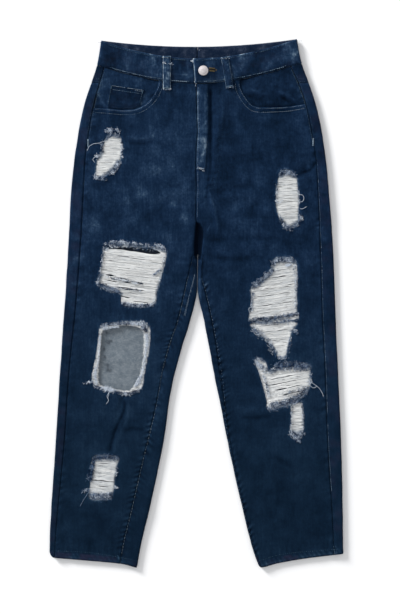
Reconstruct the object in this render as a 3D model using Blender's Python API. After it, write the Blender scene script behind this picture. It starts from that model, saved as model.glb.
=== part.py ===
"""Ripped denim jeans, laid flat on their back.

Every size below is in millimetres and is turned into metres when a mesh is
made. Seen from above, the waist is at +Y, the hems at -Y, and "left" and
"right" mean -X and +X. The floor is Z = 0. The jeans are a flattened tube:
each back panel lies on the floor, rolls round the side of the leg and comes
up on top as far as the outseam and the inseam, and the front panel closes
the tube between those seams. Walls are cloth, with a gap of SEAM between
pieces that are sewn edge to edge.
"""
import bpy
from math import pi, sin, cos, sqrt, hypot, exp
from mathutils import Vector
from mathutils.geometry import delaunay_2d_cdt

# ------------------------------------------------------------------ sizes
WALL = 1.2            # one layer of denim
BAND_WALL = 2.4       # waistband: two layers and their turned edges
HEM_WALL = 1.9        # where the hem is turned up
SEAM = 0.3            # between pieces sewn edge to edge
REST = 0.35           # between pieces that lie on each other
LOOP_REST = 0.9       # under the front belt loops
CENTRE_SEAM = 0.5     # between the two front panels
LIFT = 1.35           # the seat lies this high, on the back pockets
LIFT_FROM, LIFT_TO = 105.0, 165.0
CROTCH = 83.8         # Y of the lower end of the crotch seam
VALLEY_FLOOR = 3.1    # top of the cloth between the thighs
CENTRE_BACK = 2.5     # X of the centre back seam
HEM_DEPTH = 11.0
EDGE_FADE = 30.0      # width over which a side roll sinks to the middle
INNER_FADE = 20.0
BAND_STEP = 0.8       # waistband's face above the panels'
LAP_STEP = 2.9        # right waistband end, raised over the left one
LAP_FROM, LAP_TO = 24.0, 38.0
BUTTON_AT = (12.1, 399.2)
BUTTON_R = 8.5

# A row for each cross-section, from the waist to the hem.
# y: station; out: side edge; seam: outseam; ins: inseam; edge: inner edge
SECTION_COLUMNS = ("y", "out_l", "seam_l", "ins_l", "in_l", "in_r", "ins_r", "seam_r", "out_r")
SECTIONS = (
    (455.0, -163.5, -152.5, -5.8, -3.0, 7.8, 10.8, 158.0, 173.4),
    (432.0, -166.9, -154.0, -5.8, -3.0, 7.8, 10.8, 160.5, 177.1),
    (409.8, -171.0, -157.3, -5.8, -3.0, 7.8, 10.8, 163.1, 182.4),
    (378.8, -181.0, -166.0, -5.8, -3.0, 7.8, 10.8, 175.8, 193.8),
    (342.7, -192.8, -176.1, -5.8, -3.0, 7.8, 10.8, 188.5, 205.6),
    (301.4, -201.8, -183.5, -5.8, -3.0, 7.8, 10.8, 197.5, 215.0),
    (246.4, -210.4, -190.6, -5.8, -3.0, 7.8, 10.8, 206.3, 223.3),
    (177.6, -216.6, -194.3, -5.8, -3.0, 7.8, 10.8, 210.3, 229.7),
    (112.2, -219.9, -197.8, -5.8, -3.0, 7.8, 10.8, 213.3, 234.6),
    (83.8, -221.6, -199.9, -6.4, -3.0, 7.8, 11.4, 214.3, 236.0),
    (46.9, -223.8, -202.5, -13.8, -1.2, 4.8, 9.6, 215.2, 237.5),
    (15.9, -225.6, -205.2, -20.9, -0.9, 4.3, 17.0, 216.1, 238.6),
    (-28.8, -229.0, -209.2, -31.4, -10.2, 12.8, 27.0, 217.6, 240.2),
    (-78.7, -232.2, -214.7, -48.0, -25.5, 22.6, 35.5, 220.4, 242.3),
    (-128.6, -235.6, -219.4, -60.0, -38.7, 31.6, 42.0, 222.6, 244.7),
    (-166.4, -237.9, -222.0, -67.6, -46.2, 39.8, 48.6, 223.8, 246.4),
    (-228.3, -241.7, -225.8, -81.1, -54.6, 51.6, 57.4, 226.0, 249.2),
    (-292.0, -246.1, -231.6, -96.6, -66.8, 65.1, 69.4, 229.4, 251.2),
    (-353.9, -250.1, -237.8, -110.7, -80.3, 79.5, 83.4, 233.8, 252.3),
    (-415.8, -252.9, -242.6, -125.5, -95.1, 94.7, 98.4, 236.6, 253.1),
    (-455.4, -253.3, -244.0, -132.2, -102.3, 108.0, 112.0, 237.8, 253.3),
)

# Thickness of the laid garment, above its underside. roll: the side rolls;
# inner: the rolls between the legs; mid: the middle
LOFT_COLUMNS = ("y", "roll", "inner", "mid")
LOFT = (
    (455.0, 6.25, 6.2, 5.2),
    (378.8, 6.25, 6.2, 5.4),
    (301.4, 6.25, 6.2, 5.3),
    (177.6, 6.25, 6.2, 5.1),
    (83.8, 6.25, 6.2, 5.2),
    (-28.8, 6.25, 6.2, 4.7),
    (-166.4, 6.25, 6.1, 4.5),
    (-353.9, 6.2, 6.0, 4.5),
    (-455.4, 6.2, 6.0, 5.0),
)

# Largest folds of the front. Positive height is a ridge, negative a trough
FOLD_COLUMNS = ("x0", "y0", "x1", "y1", "width", "height")
FOLDS = (
    (25.2, 372.0, 25.2, 238.0, 3.6, -2.2),       # beside the fly
    (52.0, 356.0, 31.5, 262.0, 9.0, 1.5),        # ridge right of the fly
    (21.5, 205.0, 37.5, 121.0, 7.0, 1.4),        # crease to the crotch
    (-125.5, -162.0, -139.5, -220.0, 4.5, -1.4),  # upper half of the shin crease
    (-139.5, -220.0, -150.0, -256.0, 4.5, -1.4),  # lower half of the shin crease
    (176.0, 222.0, 203.0, 244.0, 7.0, -1.6),     # below the right pocket
    (141.0, 359.0, 166.0, 342.0, 6.0, 1.1),      # in the right pocket facing
    (-60.0, 176.0, -22.0, 170.0, 8.0, -1.0),     # across the left thigh
    (60.0, 172.0, 118.0, 170.0, 9.0, -0.9),      # across the right thigh
    (74.0, -176.0, 128.0, -168.0, 8.0, -1.0),    # below the right knee
    (-120.0, 12.0, -70.0, -6.0, 12.0, -0.8),     # between the left rips
)

# Void between the thighs, above the crotch: its left and right edge
VALLEY_COLUMNS = ("y", "left", "right")
VALLEY = (
    (150.0, 0.4, 1.2),
    (131.0, -0.8, 8.6),
    (121.0, -1.5, 11.2),
    (98.5, -3.0, 9.4),
    (83.8, -3.0, 7.8),
)

CENTRE_FRONT = ((410.0, -2.0), (378.0, 0.4), (325.0, 1.4), (295.0, 2.3), (265.0, 0.4),
                (230.0, -0.4), (205.0, 0.4), (150.0, -0.6), (120.0, 2.4), (83.8, 2.4))   # y, x
HEM_LEFT = ((-253.4, -426.0), (-252.2, -430.5), (-250.0, -434.5), (-246.0, -437.6), (-205.0, -441.6),
            (-164.7, -445.0), (-127.2, -449.0), (-102.3, -455.4))                        # x, y
HEM_RIGHT = ((104.0, -446.0), (107.0, -452.0), (111.0, -454.6), (138.2, -448.2), (185.7, -439.8),
             (225.0, -434.8), (253.3, -431.3))                                           # x, y

# Pocket openings, from the waist seam to the outseam: x, y
POCKET_LEFT = ((-64.6, 381.0), (-67.5, 370.2), (-76.1, 354.4), (-88.8, 341.6), (-106.0, 333.8),
               (-128.7, 332.4), (-157.3, 335.2), (-178.8, 335.8))
POCKET_RIGHT = ((74.7, 381.0), (77.5, 367.3), (88.8, 348.8), (103.1, 338.0), (131.7, 337.4),
                (160.2, 338.6), (189.5, 343.4))
COIN_POCKET = ((-147.3, 376.6), (-89.6, 368.0), (-97.0, 341.2), (-109.0, 336.2), (-128.7, 334.8),
               (-154.5, 337.4))

# Rips: outlines of the missing or threadbare cloth, x, y
RIP_L1 = ((-152.4, 288.6), (-133.8, 289.8), (-127.4, 273.5), (-128.6, 259.0), (-133.0, 242.0),
          (-146.0, 226.5), (-160.0, 215.6), (-172.0, 214.4), (-172.6, 232.0), (-170.6, 248.0),
          (-163.0, 264.0))
RIP_L2 = ((-158.6, 97.0), (-128.0, 104.2), (-98.0, 99.6), (-63.0, 97.0), (-52.0, 87.0),
          (-54.4, 66.0), (-60.6, 46.0), (-68.0, 20.0), (-73.2, -3.6), (-98.0, -6.0), (-126.6, -2.6),
          (-131.0, 16.0), (-149.0, 20.0), (-172.0, 33.0), (-165.0, 52.0), (-163.2, 66.0), (-160.0, 84.0))
RIP_L3 = ((-163.2, -38.6), (-138.0, -33.6), (-96.6, -31.4), (-82.0, -39.0), (-80.0, -56.0),
          (-84.0, -90.0), (-90.0, -120.0), (-96.0, -147.0), (-119.6, -157.6), (-142.0, -151.0),
          (-171.0, -144.4), (-178.6, -130.0), (-176.0, -110.6), (-170.0, -80.0), (-167.0, -56.0))
RIP_L3_GAP = ((-160.4, -46.6), (-139.0, -39.8), (-106.6, -39.4), (-92.0, -50.6), (-92.2, -88.0),
              (-97.4, -117.6), (-108.4, -137.0), (-134.6, -149.4), (-166.0, -140.0), (-167.4, -111.0),
              (-164.0, -68.0))
RIP_L4 = ((-176.7, -263.8), (-135.8, -263.8), (-136.1, -279.9), (-140.3, -300.6), (-142.7, -322.9),
          (-146.8, -336.7), (-164.0, -339.3), (-183.8, -336.0), (-183.6, -316.1), (-180.2, -292.0))
RIP_R1 = ((146.3, 226.4), (160.0, 229.5), (170.7, 219.9), (175.5, 197.5), (177.1, 179.0),
          (175.5, 153.5), (174.2, 136.3), (160.7, 126.7), (150.1, 131.5), (142.8, 144.9),
          (138.0, 163.8), (137.0, 184.5), (139.1, 205.1))
RIP_R2 = ((133.6, 75.4), (153.2, 79.6), (166.9, 76.1), (173.5, 62.0), (173.8, 24.0), (173.0, -8.0),
          (170.6, -29.8), (95.8, -32.2), (95.2, -4.0), (94.6, 28.0), (110.0, 40.0), (127.0, 58.0))
RIP_R3 = ((97.4, -33.4), (169.6, -31.2), (163.0, -52.0), (158.0, -70.0), (152.8, -93.6), (142.0, -94.0),
          (136.0, -82.0), (120.0, -66.0), (101.0, -48.0))
RIP_R4 = ((101.0, -96.4), (116.0, -97.6), (126.0, -116.0), (143.6, -109.0), (152.0, -101.0),
          (192.0, -105.4), (195.6, -120.0), (194.8, -146.0), (178.0, -165.4), (150.0, -178.0),
          (124.4, -184.0), (120.4, -164.0), (112.0, -134.0))
RIP_R5 = ((163.5, -174.1), (176.4, -169.0), (182.4, -172.6), (183.8, -195.7), (184.1, -218.0),
          (181.0, -231.8), (173.1, -238.0), (164.5, -230.1), (161.8, -216.3), (163.8, -195.7))

# name, side, outline, wall
RIP_COLUMNS = ("name", "side", "outline")
RIPS = (
    ("rip_threads_l1", -1, RIP_L1), ("rip_threads_l2", -1, RIP_L2), ("rip_threads_l4", -1, RIP_L4),
    ("rip_threads_r1", 1, RIP_R1), ("rip_threads_r2", 1, RIP_R2), ("rip_threads_r3", 1, RIP_R3),
    ("rip_threads_r4", 1, RIP_R4), ("rip_threads_r5", 1, RIP_R5),
)
THREAD_WALL = 1.0

# Belt loops. x0, y0: upper end; x1, y1: lower end; on the front or the back
LOOP_COLUMNS = ("name", "x0", "y0", "x1", "y1", "width", "face")
LOOPS = (
    ("belt_loop_front_l", -50.6, 425.0, -50.6, 367.6, 13.4, "front"),
    ("belt_loop_front_r", 48.6, 423.6, 57.6, 370.4, 13.0, "front"),
    ("belt_loop_back_l", -98.0, 441.0, -96.0, 388.0, 12.0, "back"),
    ("belt_loop_back_c", CENTRE_BACK, 437.0, CENTRE_BACK, 385.0, 12.0, "back"),
    ("belt_loop_back_r", 103.0, 441.0, 101.0, 388.0, 12.0, "back"),
)
LOOP_WALL = 1.8
BACK_LOOP_WALL = 1.0
BACK_POCKET_WALL = 1.0
# Back pocket: half widths at the top and at the shoulders, height, point
POCKET_TOP, POCKET_LOW, POCKET_TALL, POCKET_POINT = 67.0, 57.0, 118.0, 24.0
POCKET_CENTRE = ((-91.0, 332.0), (98.0, 332.0))      # middle of the top edge
POCKET_TILT = 0.05

FLY_WIDTH = 19.0
FLY_FOOT = 231.0
FLY_ROWS = (352.0, 330.0, 307.0, 285.0, 265.0, 250.0)

ROWS = (318.0, 285.0, 250.0, 214.0, 177.0, 148.0, 120.0, CROTCH, 62.0, 40.0, 15.9, -8.0,
        -34.0, -62.0, -92.0, -128.0, -166.0, -200.0, -236.0, -292.0, -353.9, -400.0, -421.0)
STATIONS = (460.0, 432.0, 409.8, 379.0, 348.5) + ROWS + (-426.0, -432.0, -438.0, -444.0, -450.0, -456.0)
GRID = 23.0


# ---------------------------------------------------------------- helpers
def smooth(t):
    t = min(1.0, max(0.0, t))
    return t * t * (3.0 - 2.0 * t)


def curve(table, column):
    """A smooth curve through one column of a table, without overshoot."""
    rows = sorted((row[0], row[column]) for row in table)
    xs, ys = [r[0] for r in rows], [r[1] for r in rows]
    step = [(ys[i + 1] - ys[i]) / (xs[i + 1] - xs[i]) for i in range(len(xs) - 1)]
    slope = [step[0]]
    for a, b in zip(step, step[1:]):
        slope.append(0.0 if a * b <= 0 else 2.0 * a * b / (a + b))
    slope.append(step[-1])

    def at(x):
        if x <= xs[0]:
            return ys[0]
        if x >= xs[-1]:
            return ys[-1]
        i = max(k for k in range(len(xs) - 1) if xs[k] <= x)
        h = xs[i + 1] - xs[i]
        t = (x - xs[i]) / h
        return ((2 * t ** 3 - 3 * t ** 2 + 1) * ys[i] + (t ** 3 - 2 * t ** 2 + t) * h * slope[i]
                + (-2 * t ** 3 + 3 * t ** 2) * ys[i + 1] + (t ** 3 - t ** 2) * h * slope[i + 1])
    return at


AT = {name: curve(SECTIONS, i) for i, name in enumerate(SECTION_COLUMNS) if i}
THICK = {name: curve(LOFT, i) for i, name in enumerate(LOFT_COLUMNS) if i}
AT.update({name: (lambda y, name=name: THICK[name](y) + lift(y)) for name in THICK})
VOID_L, VOID_R = curve(VALLEY, 1), curve(VALLEY, 2)
centre_x = curve(CENTRE_FRONT, 1)
hem_l, hem_r = curve(HEM_LEFT, 1), curve(HEM_RIGHT, 1)


def side_of(name, side, y):
    return AT[name + ("_l" if side < 0 else "_r")](y)


def seam_x(name, side, y):
    """X of a seam: straight between the shared stations, so that both sides meet."""
    y = min(STATIONS[0], max(STATIONS[-1], y))
    i = max(k for k in range(len(STATIONS) - 1) if STATIONS[k] >= y)
    high, low = STATIONS[i], STATIONS[i + 1]
    t = (high - y) / (high - low)
    return side_of(name, side, high) * (1.0 - t) + side_of(name, side, low) * t


def lift(y):
    return LIFT * smooth((y - LIFT_FROM) / (LIFT_TO - LIFT_FROM))


def hem(side, x):
    return hem_l(x) if side < 0 else hem_r(x)


def across(x):
    """Place between the side edges of the waist: -1 left, 1 right."""
    return min(1.0, abs((x - 3.0) / 172.0))


def waist_seam(x, front=1.0):
    dip = 32.6 * (1.0 - across(x) ** 1.8) * front + 9.5 * (1.0 - across(x) ** 2) * (1.0 - front)
    return 410.6 + 0.008 * x - dip


def waist_top(x, front=1.0):
    dip = 33.6 * (1.0 - across(x) ** 1.8) * front + 12.5 * (1.0 - across(x) ** 2) * (1.0 - front)
    return 454.2 + 0.006 * x - dip


def yoke_seam(x, front=0.0):
    return 379.0 - 38.0 * (1.0 - across(x)) * (1.0 - front)


def folds(x, y):
    total = 0.0
    for x0, y0, x1, y1, width, height in FOLDS:
        lx, ly = x1 - x0, y1 - y0
        t = ((x - x0) * lx + (y - y0) * ly) / (lx * lx + ly * ly)
        if not -0.3 < t < 1.3:
            continue
        off = hypot(x - x0 - t * lx, y - y0 - t * ly) / width
        ends = smooth((t + 0.18) / 0.3) * smooth((1.18 - t) / 0.3)
        total += height * exp(-off * off) * ends
    return total


def crown(x, y):
    """Height of the front's outer face above the floor at a point."""
    roll, inner, mid, low = AT["roll"](y), AT["inner"](y), AT["mid"](y), lift(y)
    radius, small = (roll - low) / 2.0, inner / 2.0
    z = mid
    for d in (x - AT["out_l"](y), AT["out_r"](y) - x):
        z += (roll - mid) * (1.0 - smooth((d - radius) / EDGE_FADE))
    if y < CROTCH:
        d = AT["in_l"](y) - x if x < AT["in_l"](y) + 2.0 else x - AT["in_r"](y)
        z += (inner - mid) * (1.0 - smooth((d - small) / INNER_FADE))
        z += folds(x, y) * smooth((d - small) / 6.0)
        if d < small:
            z -= small - sqrt(max(0.0, small * small - (small - max(0.0, d)) ** 2))
        return z
    z += folds(x, y)
    near = 1.0 - smooth((y - CROTCH) / 90.0)
    d = max(VOID_L(y) - x, x - VOID_R(y))
    z += (inner - mid) * (1.0 - smooth((d - small) / INNER_FADE)) * near
    depth = smooth((152.0 - y) / 22.0)
    if d < small:
        q = 1.0 - max(0.0, d) / small
        z -= (z - VALLEY_FLOOR) * (1.0 - sqrt(max(0.0, 1.0 - q * q))) * depth
    return z


def normal_of(height, x, y):
    e = 0.6
    nx = -(height(x + e, y) - height(x - e, y)) / (2 * e)
    ny = -(height(x, y + e) - height(x, y - e)) / (2 * e)
    return Vector((nx, ny, 1.0)).normalized()


MATERIALS = {}


def material(name, color, roughness, metallic=0.0):
    if name not in MATERIALS:
        m = bpy.data.materials.new(name)
        m.use_nodes = True
        shader = m.node_tree.nodes["Principled BSDF"]
        shader.inputs["Base Color"].default_value = (*color, 1.0)
        shader.inputs["Roughness"].default_value = roughness
        shader.inputs["Metallic"].default_value = metallic
        MATERIALS[name] = m
    return MATERIALS[name]


ROOT = None


def solid(name, points, normals, faces, walls, mat):
    """A wall of cloth: an outer face, the same face moved in, and its rim."""
    n = len(points)
    verts = [Vector(p) for p in points]
    verts += [Vector(p) - Vector(q) * w for p, q, w in zip(points, normals, walls)]
    inner = [tuple(n + i for i in reversed(f)) for f in faces]
    count = {}
    for f in faces:
        for a, b in zip(f, f[1:] + f[:1]):
            count[(a, b)] = count.get((a, b), 0) + 1
    rim = [(b, a, n + a, n + b) for (a, b) in count if (b, a) not in count]
    used = sorted({i for f in list(faces) + inner + rim for i in f})
    place = {old: new for new, old in enumerate(used)}
    mesh = bpy.data.meshes.new(name)
    mesh.from_pydata([verts[i] * 0.001 for i in used], [],
                     [tuple(place[i] for i in f) for f in list(faces) + inner + rim])
    mesh.validate()
    mesh.update()
    mesh.materials.append(mat)
    obj = bpy.data.objects.new(name, mesh)
    bpy.context.scene.collection.objects.link(obj)
    obj.parent = ROOT
    return obj


def inside(poly, x, y):
    hit = False
    for (x0, y0), (x1, y1) in zip(poly, poly[1:] + poly[:1]):
        if (y0 > y) != (y1 > y) and x < x0 + (x1 - x0) * (y - y0) / (y1 - y0):
            hit = not hit
    return hit


def distance(poly, x, y, closed=True):
    best = 1e9
    pairs = list(zip(poly, poly[1:] + poly[:1])) if closed else list(zip(poly, poly[1:]))
    for (x0, y0), (x1, y1) in pairs:
        lx, ly = x1 - x0, y1 - y0
        t = max(0.0, min(1.0, ((x - x0) * lx + (y - y0) * ly) / max(1e-9, lx * lx + ly * ly)))
        best = min(best, hypot(x - x0 - t * lx, y - y0 - t * ly))
    return best


def grown(poly, by):
    """An outline moved out (or in, if negative) by a distance."""
    area = sum(a[0] * b[1] - b[0] * a[1] for a, b in zip(poly, poly[1:] + poly[:1]))
    turn = 1.0 if area > 0 else -1.0
    out = []
    for i in range(len(poly)):
        a, b, c = Vector(poly[i - 1]), Vector(poly[i]), Vector(poly[(i + 1) % len(poly)])
        u, v = (b - a).normalized(), (c - b).normalized()
        n = Vector((u.y + v.y, -u.x - v.x)) * turn
        scale = by / max(0.35, n.length / 2.0)
        out.append(tuple(b + n.normalized() * scale))
    return out


def divided(poly, step, closed=True):
    out = []
    pairs = list(zip(poly, poly[1:] + poly[:1])) if closed else list(zip(poly, poly[1:]))
    for a, b in pairs:
        k = max(1, round(hypot(b[0] - a[0], b[1] - a[1]) / step))
        out += [(a[0] + (b[0] - a[0]) * i / k, a[1] + (b[1] - a[1]) * i / k) for i in range(k)]
    if not closed:
        out.append(poly[-1])
    return out


def flat_piece(name, outline, height, wall, mat, holes=(), extra=(), grid=GRID):
    """A wall over a plan outline, its upper face at height(x, y)."""
    loops = [list(outline)] + [list(h) for h in holes]
    points, edges = [], []
    for loop in loops:
        first = len(points)
        points += [Vector(p) for p in loop]
        edges += [(first + i, first + (i + 1) % len(loop)) for i in range(len(loop))]
    xs, ys = [p[0] for p in outline], [p[1] for p in outline]
    fixed = [tuple(p) for p in points]

    def free(x, y, clear):
        return (inside(loops[0], x, y) and not any(inside(h, x, y) for h in loops[1:])
                and all(distance(h, x, y) > clear for h in loops)
                and all(hypot(x - a, y - b) > clear for a, b in fixed))
    for x, y in extra:
        if free(x, y, 2.6):
            fixed.append((x, y))
            points.append(Vector((x, y)))
    j = 0
    y = min(ys) + grid * 0.5
    while y < max(ys):
        x = min(xs) + grid * (0.25 if j % 2 else 0.75)
        while x < max(xs):
            if free(x, y, grid * 0.45):
                fixed.append((x, y))
                points.append(Vector((x, y)))
            x += grid
        y += grid * 0.9
        j += 1
    verts, _, tris, *_ = delaunay_2d_cdt(points, edges, [], 0, 1e-5)
    faces = []
    for f in tris:
        cx = sum(verts[i].x for i in f) / 3.0
        cy = sum(verts[i].y for i in f) / 3.0
        if inside(loops[0], cx, cy) and not any(inside(h, cx, cy) for h in loops[1:]):
            a, b, c = (verts[i] for i in f)
            area = (b.x - a.x) * (c.y - a.y) - (b.y - a.y) * (c.x - a.x)
            faces.append(tuple(f) if area > 0 else tuple(reversed(f)))
    places = [(v.x, v.y, height(v.x, v.y)) for v in verts]
    normals = [normal_of(height, v.x, v.y) for v in verts]
    walls = [wall(v.x, v.y) if callable(wall) else wall for v in verts]
    return solid(name, places, normals, faces, walls, mat)


# ------------------------------------------- pieces that roll round the side
# A column is ("top", d), ("arc", angle), ("under", share), ("turn", angle) or
# ("inside", share): on top d in from the edge, on the outer roll, on the
# floor, on the inner roll, and on top between the inner roll and the inseam.
def wrap_point(side, kind, value, y, leg):
    """Place and outward direction of one point of a section."""
    out, low = side_of("out", side, y), lift(y)
    radius = (AT["roll"](y) - low) / 2.0
    small = (AT["inner"](y) - low) / 2.0
    edge = side_of("in", side, y)
    if kind == "top":
        x = out - side * value
        return Vector((x, y, crown(x, y))), normal_of(crown, x, y)
    if kind == "arc":
        x = out - side * (radius - radius * cos(value))
        return (Vector((x, y, low + radius + radius * sin(value))),
                Vector((side * cos(value), 0.0, sin(value))))
    start = out - side * radius
    stop = edge + side * small
    if kind == "under":
        return Vector((start + (stop - start) * value, y, low)), Vector((0.0, 0.0, -1.0))
    if kind == "turn":
        x = edge + side * (small - small * cos(value))
        return (Vector((x, y, low + small + small * sin(value))),
                Vector((-side * cos(value), 0.0, sin(value))))
    top_start = edge + side * min(small, abs(seam_x("ins", side, y) - edge) - 0.5)
    x = top_start + (seam_x("ins", side, y) - side * SEAM / 2 - top_start) * value
    return Vector((x, y, crown(x, y))), normal_of(crown, x, y)


ROLL = [("arc", a * pi / 180.0) for a in (90, 50, 15, -20, -55, -90)]


def wall_at(side, place):
    near = place.y - hem(side, place.x)
    return HEM_WALL if near < HEM_DEPTH else WALL


def back_panel(side, name, mat):
    points, normals, faces, walls = [], [], [], []

    def seam_d(y):
        return abs(side_of("out", side, y) - seam_x("seam", side, y)) - SEAM / 2
    outer = [("seam", 1.0), ("seam", 0.4)] + ROLL
    under = [("under", s) for s in (0.12, 0.3, 0.5, 0.7, 0.88, 1.0)]
    turn = [("turn", a * pi / 180.0) for a in (-60, -30, 0, 30, 62)] + [("inside", 0.0), ("inside", 1.0)]
    hip_web = [("web", s) for s in (0.15, 0.3, 0.45, 0.6, 0.75, 0.88, 1.0)]
    shared = len(outer) + len(under)

    def point(column, y, leg, line=None):
        kind, value = column
        for _ in range(6 if line else 1):
            if kind == "seam":
                radius = (AT["roll"](y) - lift(y)) / 2.0
                place, n = wrap_point(side, "top", radius + (seam_d(y) - radius) * value, y, leg)
            elif kind == "web":
                stop = side_of("in", side, y) + side * (AT["inner"](y) - lift(y)) / 2.0
                end = CENTRE_BACK + side * SEAM / 2
                place, n = Vector((stop + (end - stop) * value, y, lift(y))), Vector((0.0, 0.0, -1.0))
            else:
                place, n = wrap_point(side, kind, value, y, leg)
            if line:
                y = line(place.x, n.z > 0.4)
        return place, n

    def add_row(y, leg, line=None):
        row = []
        for column in outer + under + (turn if leg else hip_web):
            place, n = point(column, y, leg, line)
            row.append(len(points))
            points.append(place)
            normals.append(n)
            walls.append(wall_at(side, place))
        return row

    def join(a, b, upto=None):
        for i in range((upto or len(a)) - 1):
            f = (a[i], b[i], b[i + 1], a[i + 1])
            faces.append(tuple(reversed(f)) if side < 0 else f)

    upper = [r for r in ROWS if r >= CROTCH]
    lower = [r for r in ROWS if r < CROTCH]
    rows = []
    for share in (0.0, 0.5):
        rows.append(add_row(345.0, False, lambda x, top: (yoke_seam(x, 1.0 if top else 0.0) - SEAM / 2)
                            * (1.0 - share) + upper[0] * share))
    rows += [add_row(y, False) for y in upper]
    for a, b in zip(rows, rows[1:]):
        join(a, b)
    leg_rows = [add_row(CROTCH - 0.8, True)] + [add_row(y, True) for y in lower]
    leg_rows.append(add_row(-440.0, True, lambda x, top: hem(side, x) + HEM_DEPTH))
    leg_rows.append(add_row(-440.0, True, lambda x, top: hem(side, x)))
    join(rows[-1], leg_rows[0], shared)
    for a, b in zip(leg_rows, leg_rows[1:]):
        join(a, b)
    return solid(name, points, normals, faces, walls, mat)


def side_piece(side, name, mat, low_line, high_line, steps, tops, wall, step=0.0, end=None, under_to=None,
               lap=None):
    """A band round the side of the hips, between two slanting lines."""
    columns = [("top", t) for t in tops] + ROLL + [("flat", s) for s in (0.12, 0.5, 0.88, None)]
    points, normals, faces, walls = [], [], [], []
    for k in range(steps + 1):
        row = []
        for kind, value in columns:
            y = 400.0
            front = 1.0 if kind == "top" else 0.0 if kind == "flat" else float(sin(value) > 0.4)
            for _ in range(8):
                radius = (AT["roll"](y) - lift(y)) / 2.0
                if kind == "top":
                    seam_d = abs(side_of("out", side, y) - end(y)) - radius
                    x = side_of("out", side, y) - side * (radius + seam_d * value)
                    place, n = Vector((x, y, crown(x, y))), normal_of(crown, x, y)
                elif kind == "arc":
                    place, n = wrap_point(side, "arc", value, y, False)
                else:
                    place, n = wrap_point(side, "under", value or 1.0, y, False)
                    if value is None:
                        place.x = CENTRE_BACK + side * SEAM / 2
                lo, hi = low_line(place.x, front), high_line(place.x, front)
                y = lo + (hi - lo) * k / steps
            if kind == "top" or (kind == "arc" and value > 0):
                place = place + n * step * (1.0 if kind == "top" else sin(value))
                if lap:
                    place.z += lap(place.x)
            row.append(len(points))
            points.append(place)
            normals.append(n)
            walls.append(wall)
        if k:
            for i in range(len(row) - 1):
                f = (last[i], row[i], row[i + 1], last[i + 1])
                faces.append(f if side < 0 else tuple(reversed(f)))
        last = row
    return solid(name, points, normals, faces, walls, mat)


# ------------------------------------------------------------- front panels
def seam_line(side, kind, low, high, shift):
    """Points of a seam at the shared rows, from high to low."""
    ys = [high] + [r for r in ROWS if low + 4.0 < r < high - 4.0] + [low]
    return [(seam_x(kind, side, y) + shift, y) for y in ys]


def front_panel(side, name, mat):
    pocket = POCKET_LEFT if side < 0 else POCKET_RIGHT
    centre = lambda y: centre_x(y) + side * CENTRE_SEAM / 2
    top_y = waist_seam(centre(378.0)) - SEAM
    line = [(centre(top_y), top_y)]
    line += [(centre(y), y) for y in (352.0, 330.0, 307.0) + ROWS if CROTCH < y < top_y - 6.0]
    line.append((centre(CROTCH), CROTCH))
    line += seam_line(side, "ins", -421.0, CROTCH, side * SEAM / 2)

    def at_hem(kind, shift, above):
        y = -440.0
        for _ in range(8):
            x = seam_x(kind, side, y) + shift
            y = hem(side, x) + above
        return x, y
    line.append(at_hem("ins", side * SEAM / 2, HEM_DEPTH))
    corner, outer = at_hem("ins", side * SEAM / 2, 0.0), at_hem("seam", -side * SEAM / 2, 0.0)
    line.append(corner)
    for i in range(1, 5):
        x = corner[0] + (outer[0] - corner[0]) * i / 5.0
        line.append((x, hem(side, x)))
    line += [outer, at_hem("seam", -side * SEAM / 2, HEM_DEPTH)]
    seam = seam_line(side, "seam", -421.0, pocket[-1][1] - 2.0, -side * SEAM / 2)
    line += list(reversed(seam))
    line += list(reversed(pocket[:-1]))
    top_x = pocket[0][0]
    line[-1] = (top_x, waist_seam(top_x) - SEAM)
    for i in range(1, 4):
        x = top_x + (centre(378.0) - top_x) * i / 4.0
        line.append((x, waist_seam(x) - SEAM))
    holes = [divided(list(o), 26.0) for n, s, o in RIPS if s == side]
    if side < 0:
        holes.append(divided(list(RIP_L3), 26.0))
    extra = []
    for x0, y0, x1, y1, width, height in FOLDS:
        length = hypot(x1 - x0, y1 - y0)
        ux, uy = (x1 - x0) / length, (y1 - y0) / length
        for i in range(round(length / 24.0) + 1):
            a = length * i / round(length / 24.0) if round(length / 24.0) else 0.0
            for off in (0.0, -1.3, 1.3):
                extra.append((x0 + ux * a - uy * off * width, y0 + uy * a + ux * off * width))
    if side > 0:
        extra += [(centre_x(y) + 0.6 + FLY_WIDTH * f, y) for y in FLY_ROWS for f in (0.5, 1.0)]
    for y in (146.0, 134.0, 122.0, 110.0, 98.0, 88.0):
        for d in (0.9, 3.0):
            extra.append((VOID_L(y) - d if side < 0 else VOID_R(y) + d, y))
    wall = lambda x, y: HEM_WALL if y - hem(side, x) < HEM_DEPTH + 0.5 else WALL
    return flat_piece(name, line, crown, wall, mat, holes, extra)


def facing_height(side):
    pocket = list(POCKET_LEFT if side < 0 else POCKET_RIGHT)

    def height(x, y):
        deep = 1.0 - smooth((distance(pocket, x, y, False) - 9.0) / 22.0)
        return crown(x, y) - 0.2 - (WALL + REST - 0.2) * max(deep, 0.0)
    return height


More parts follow.
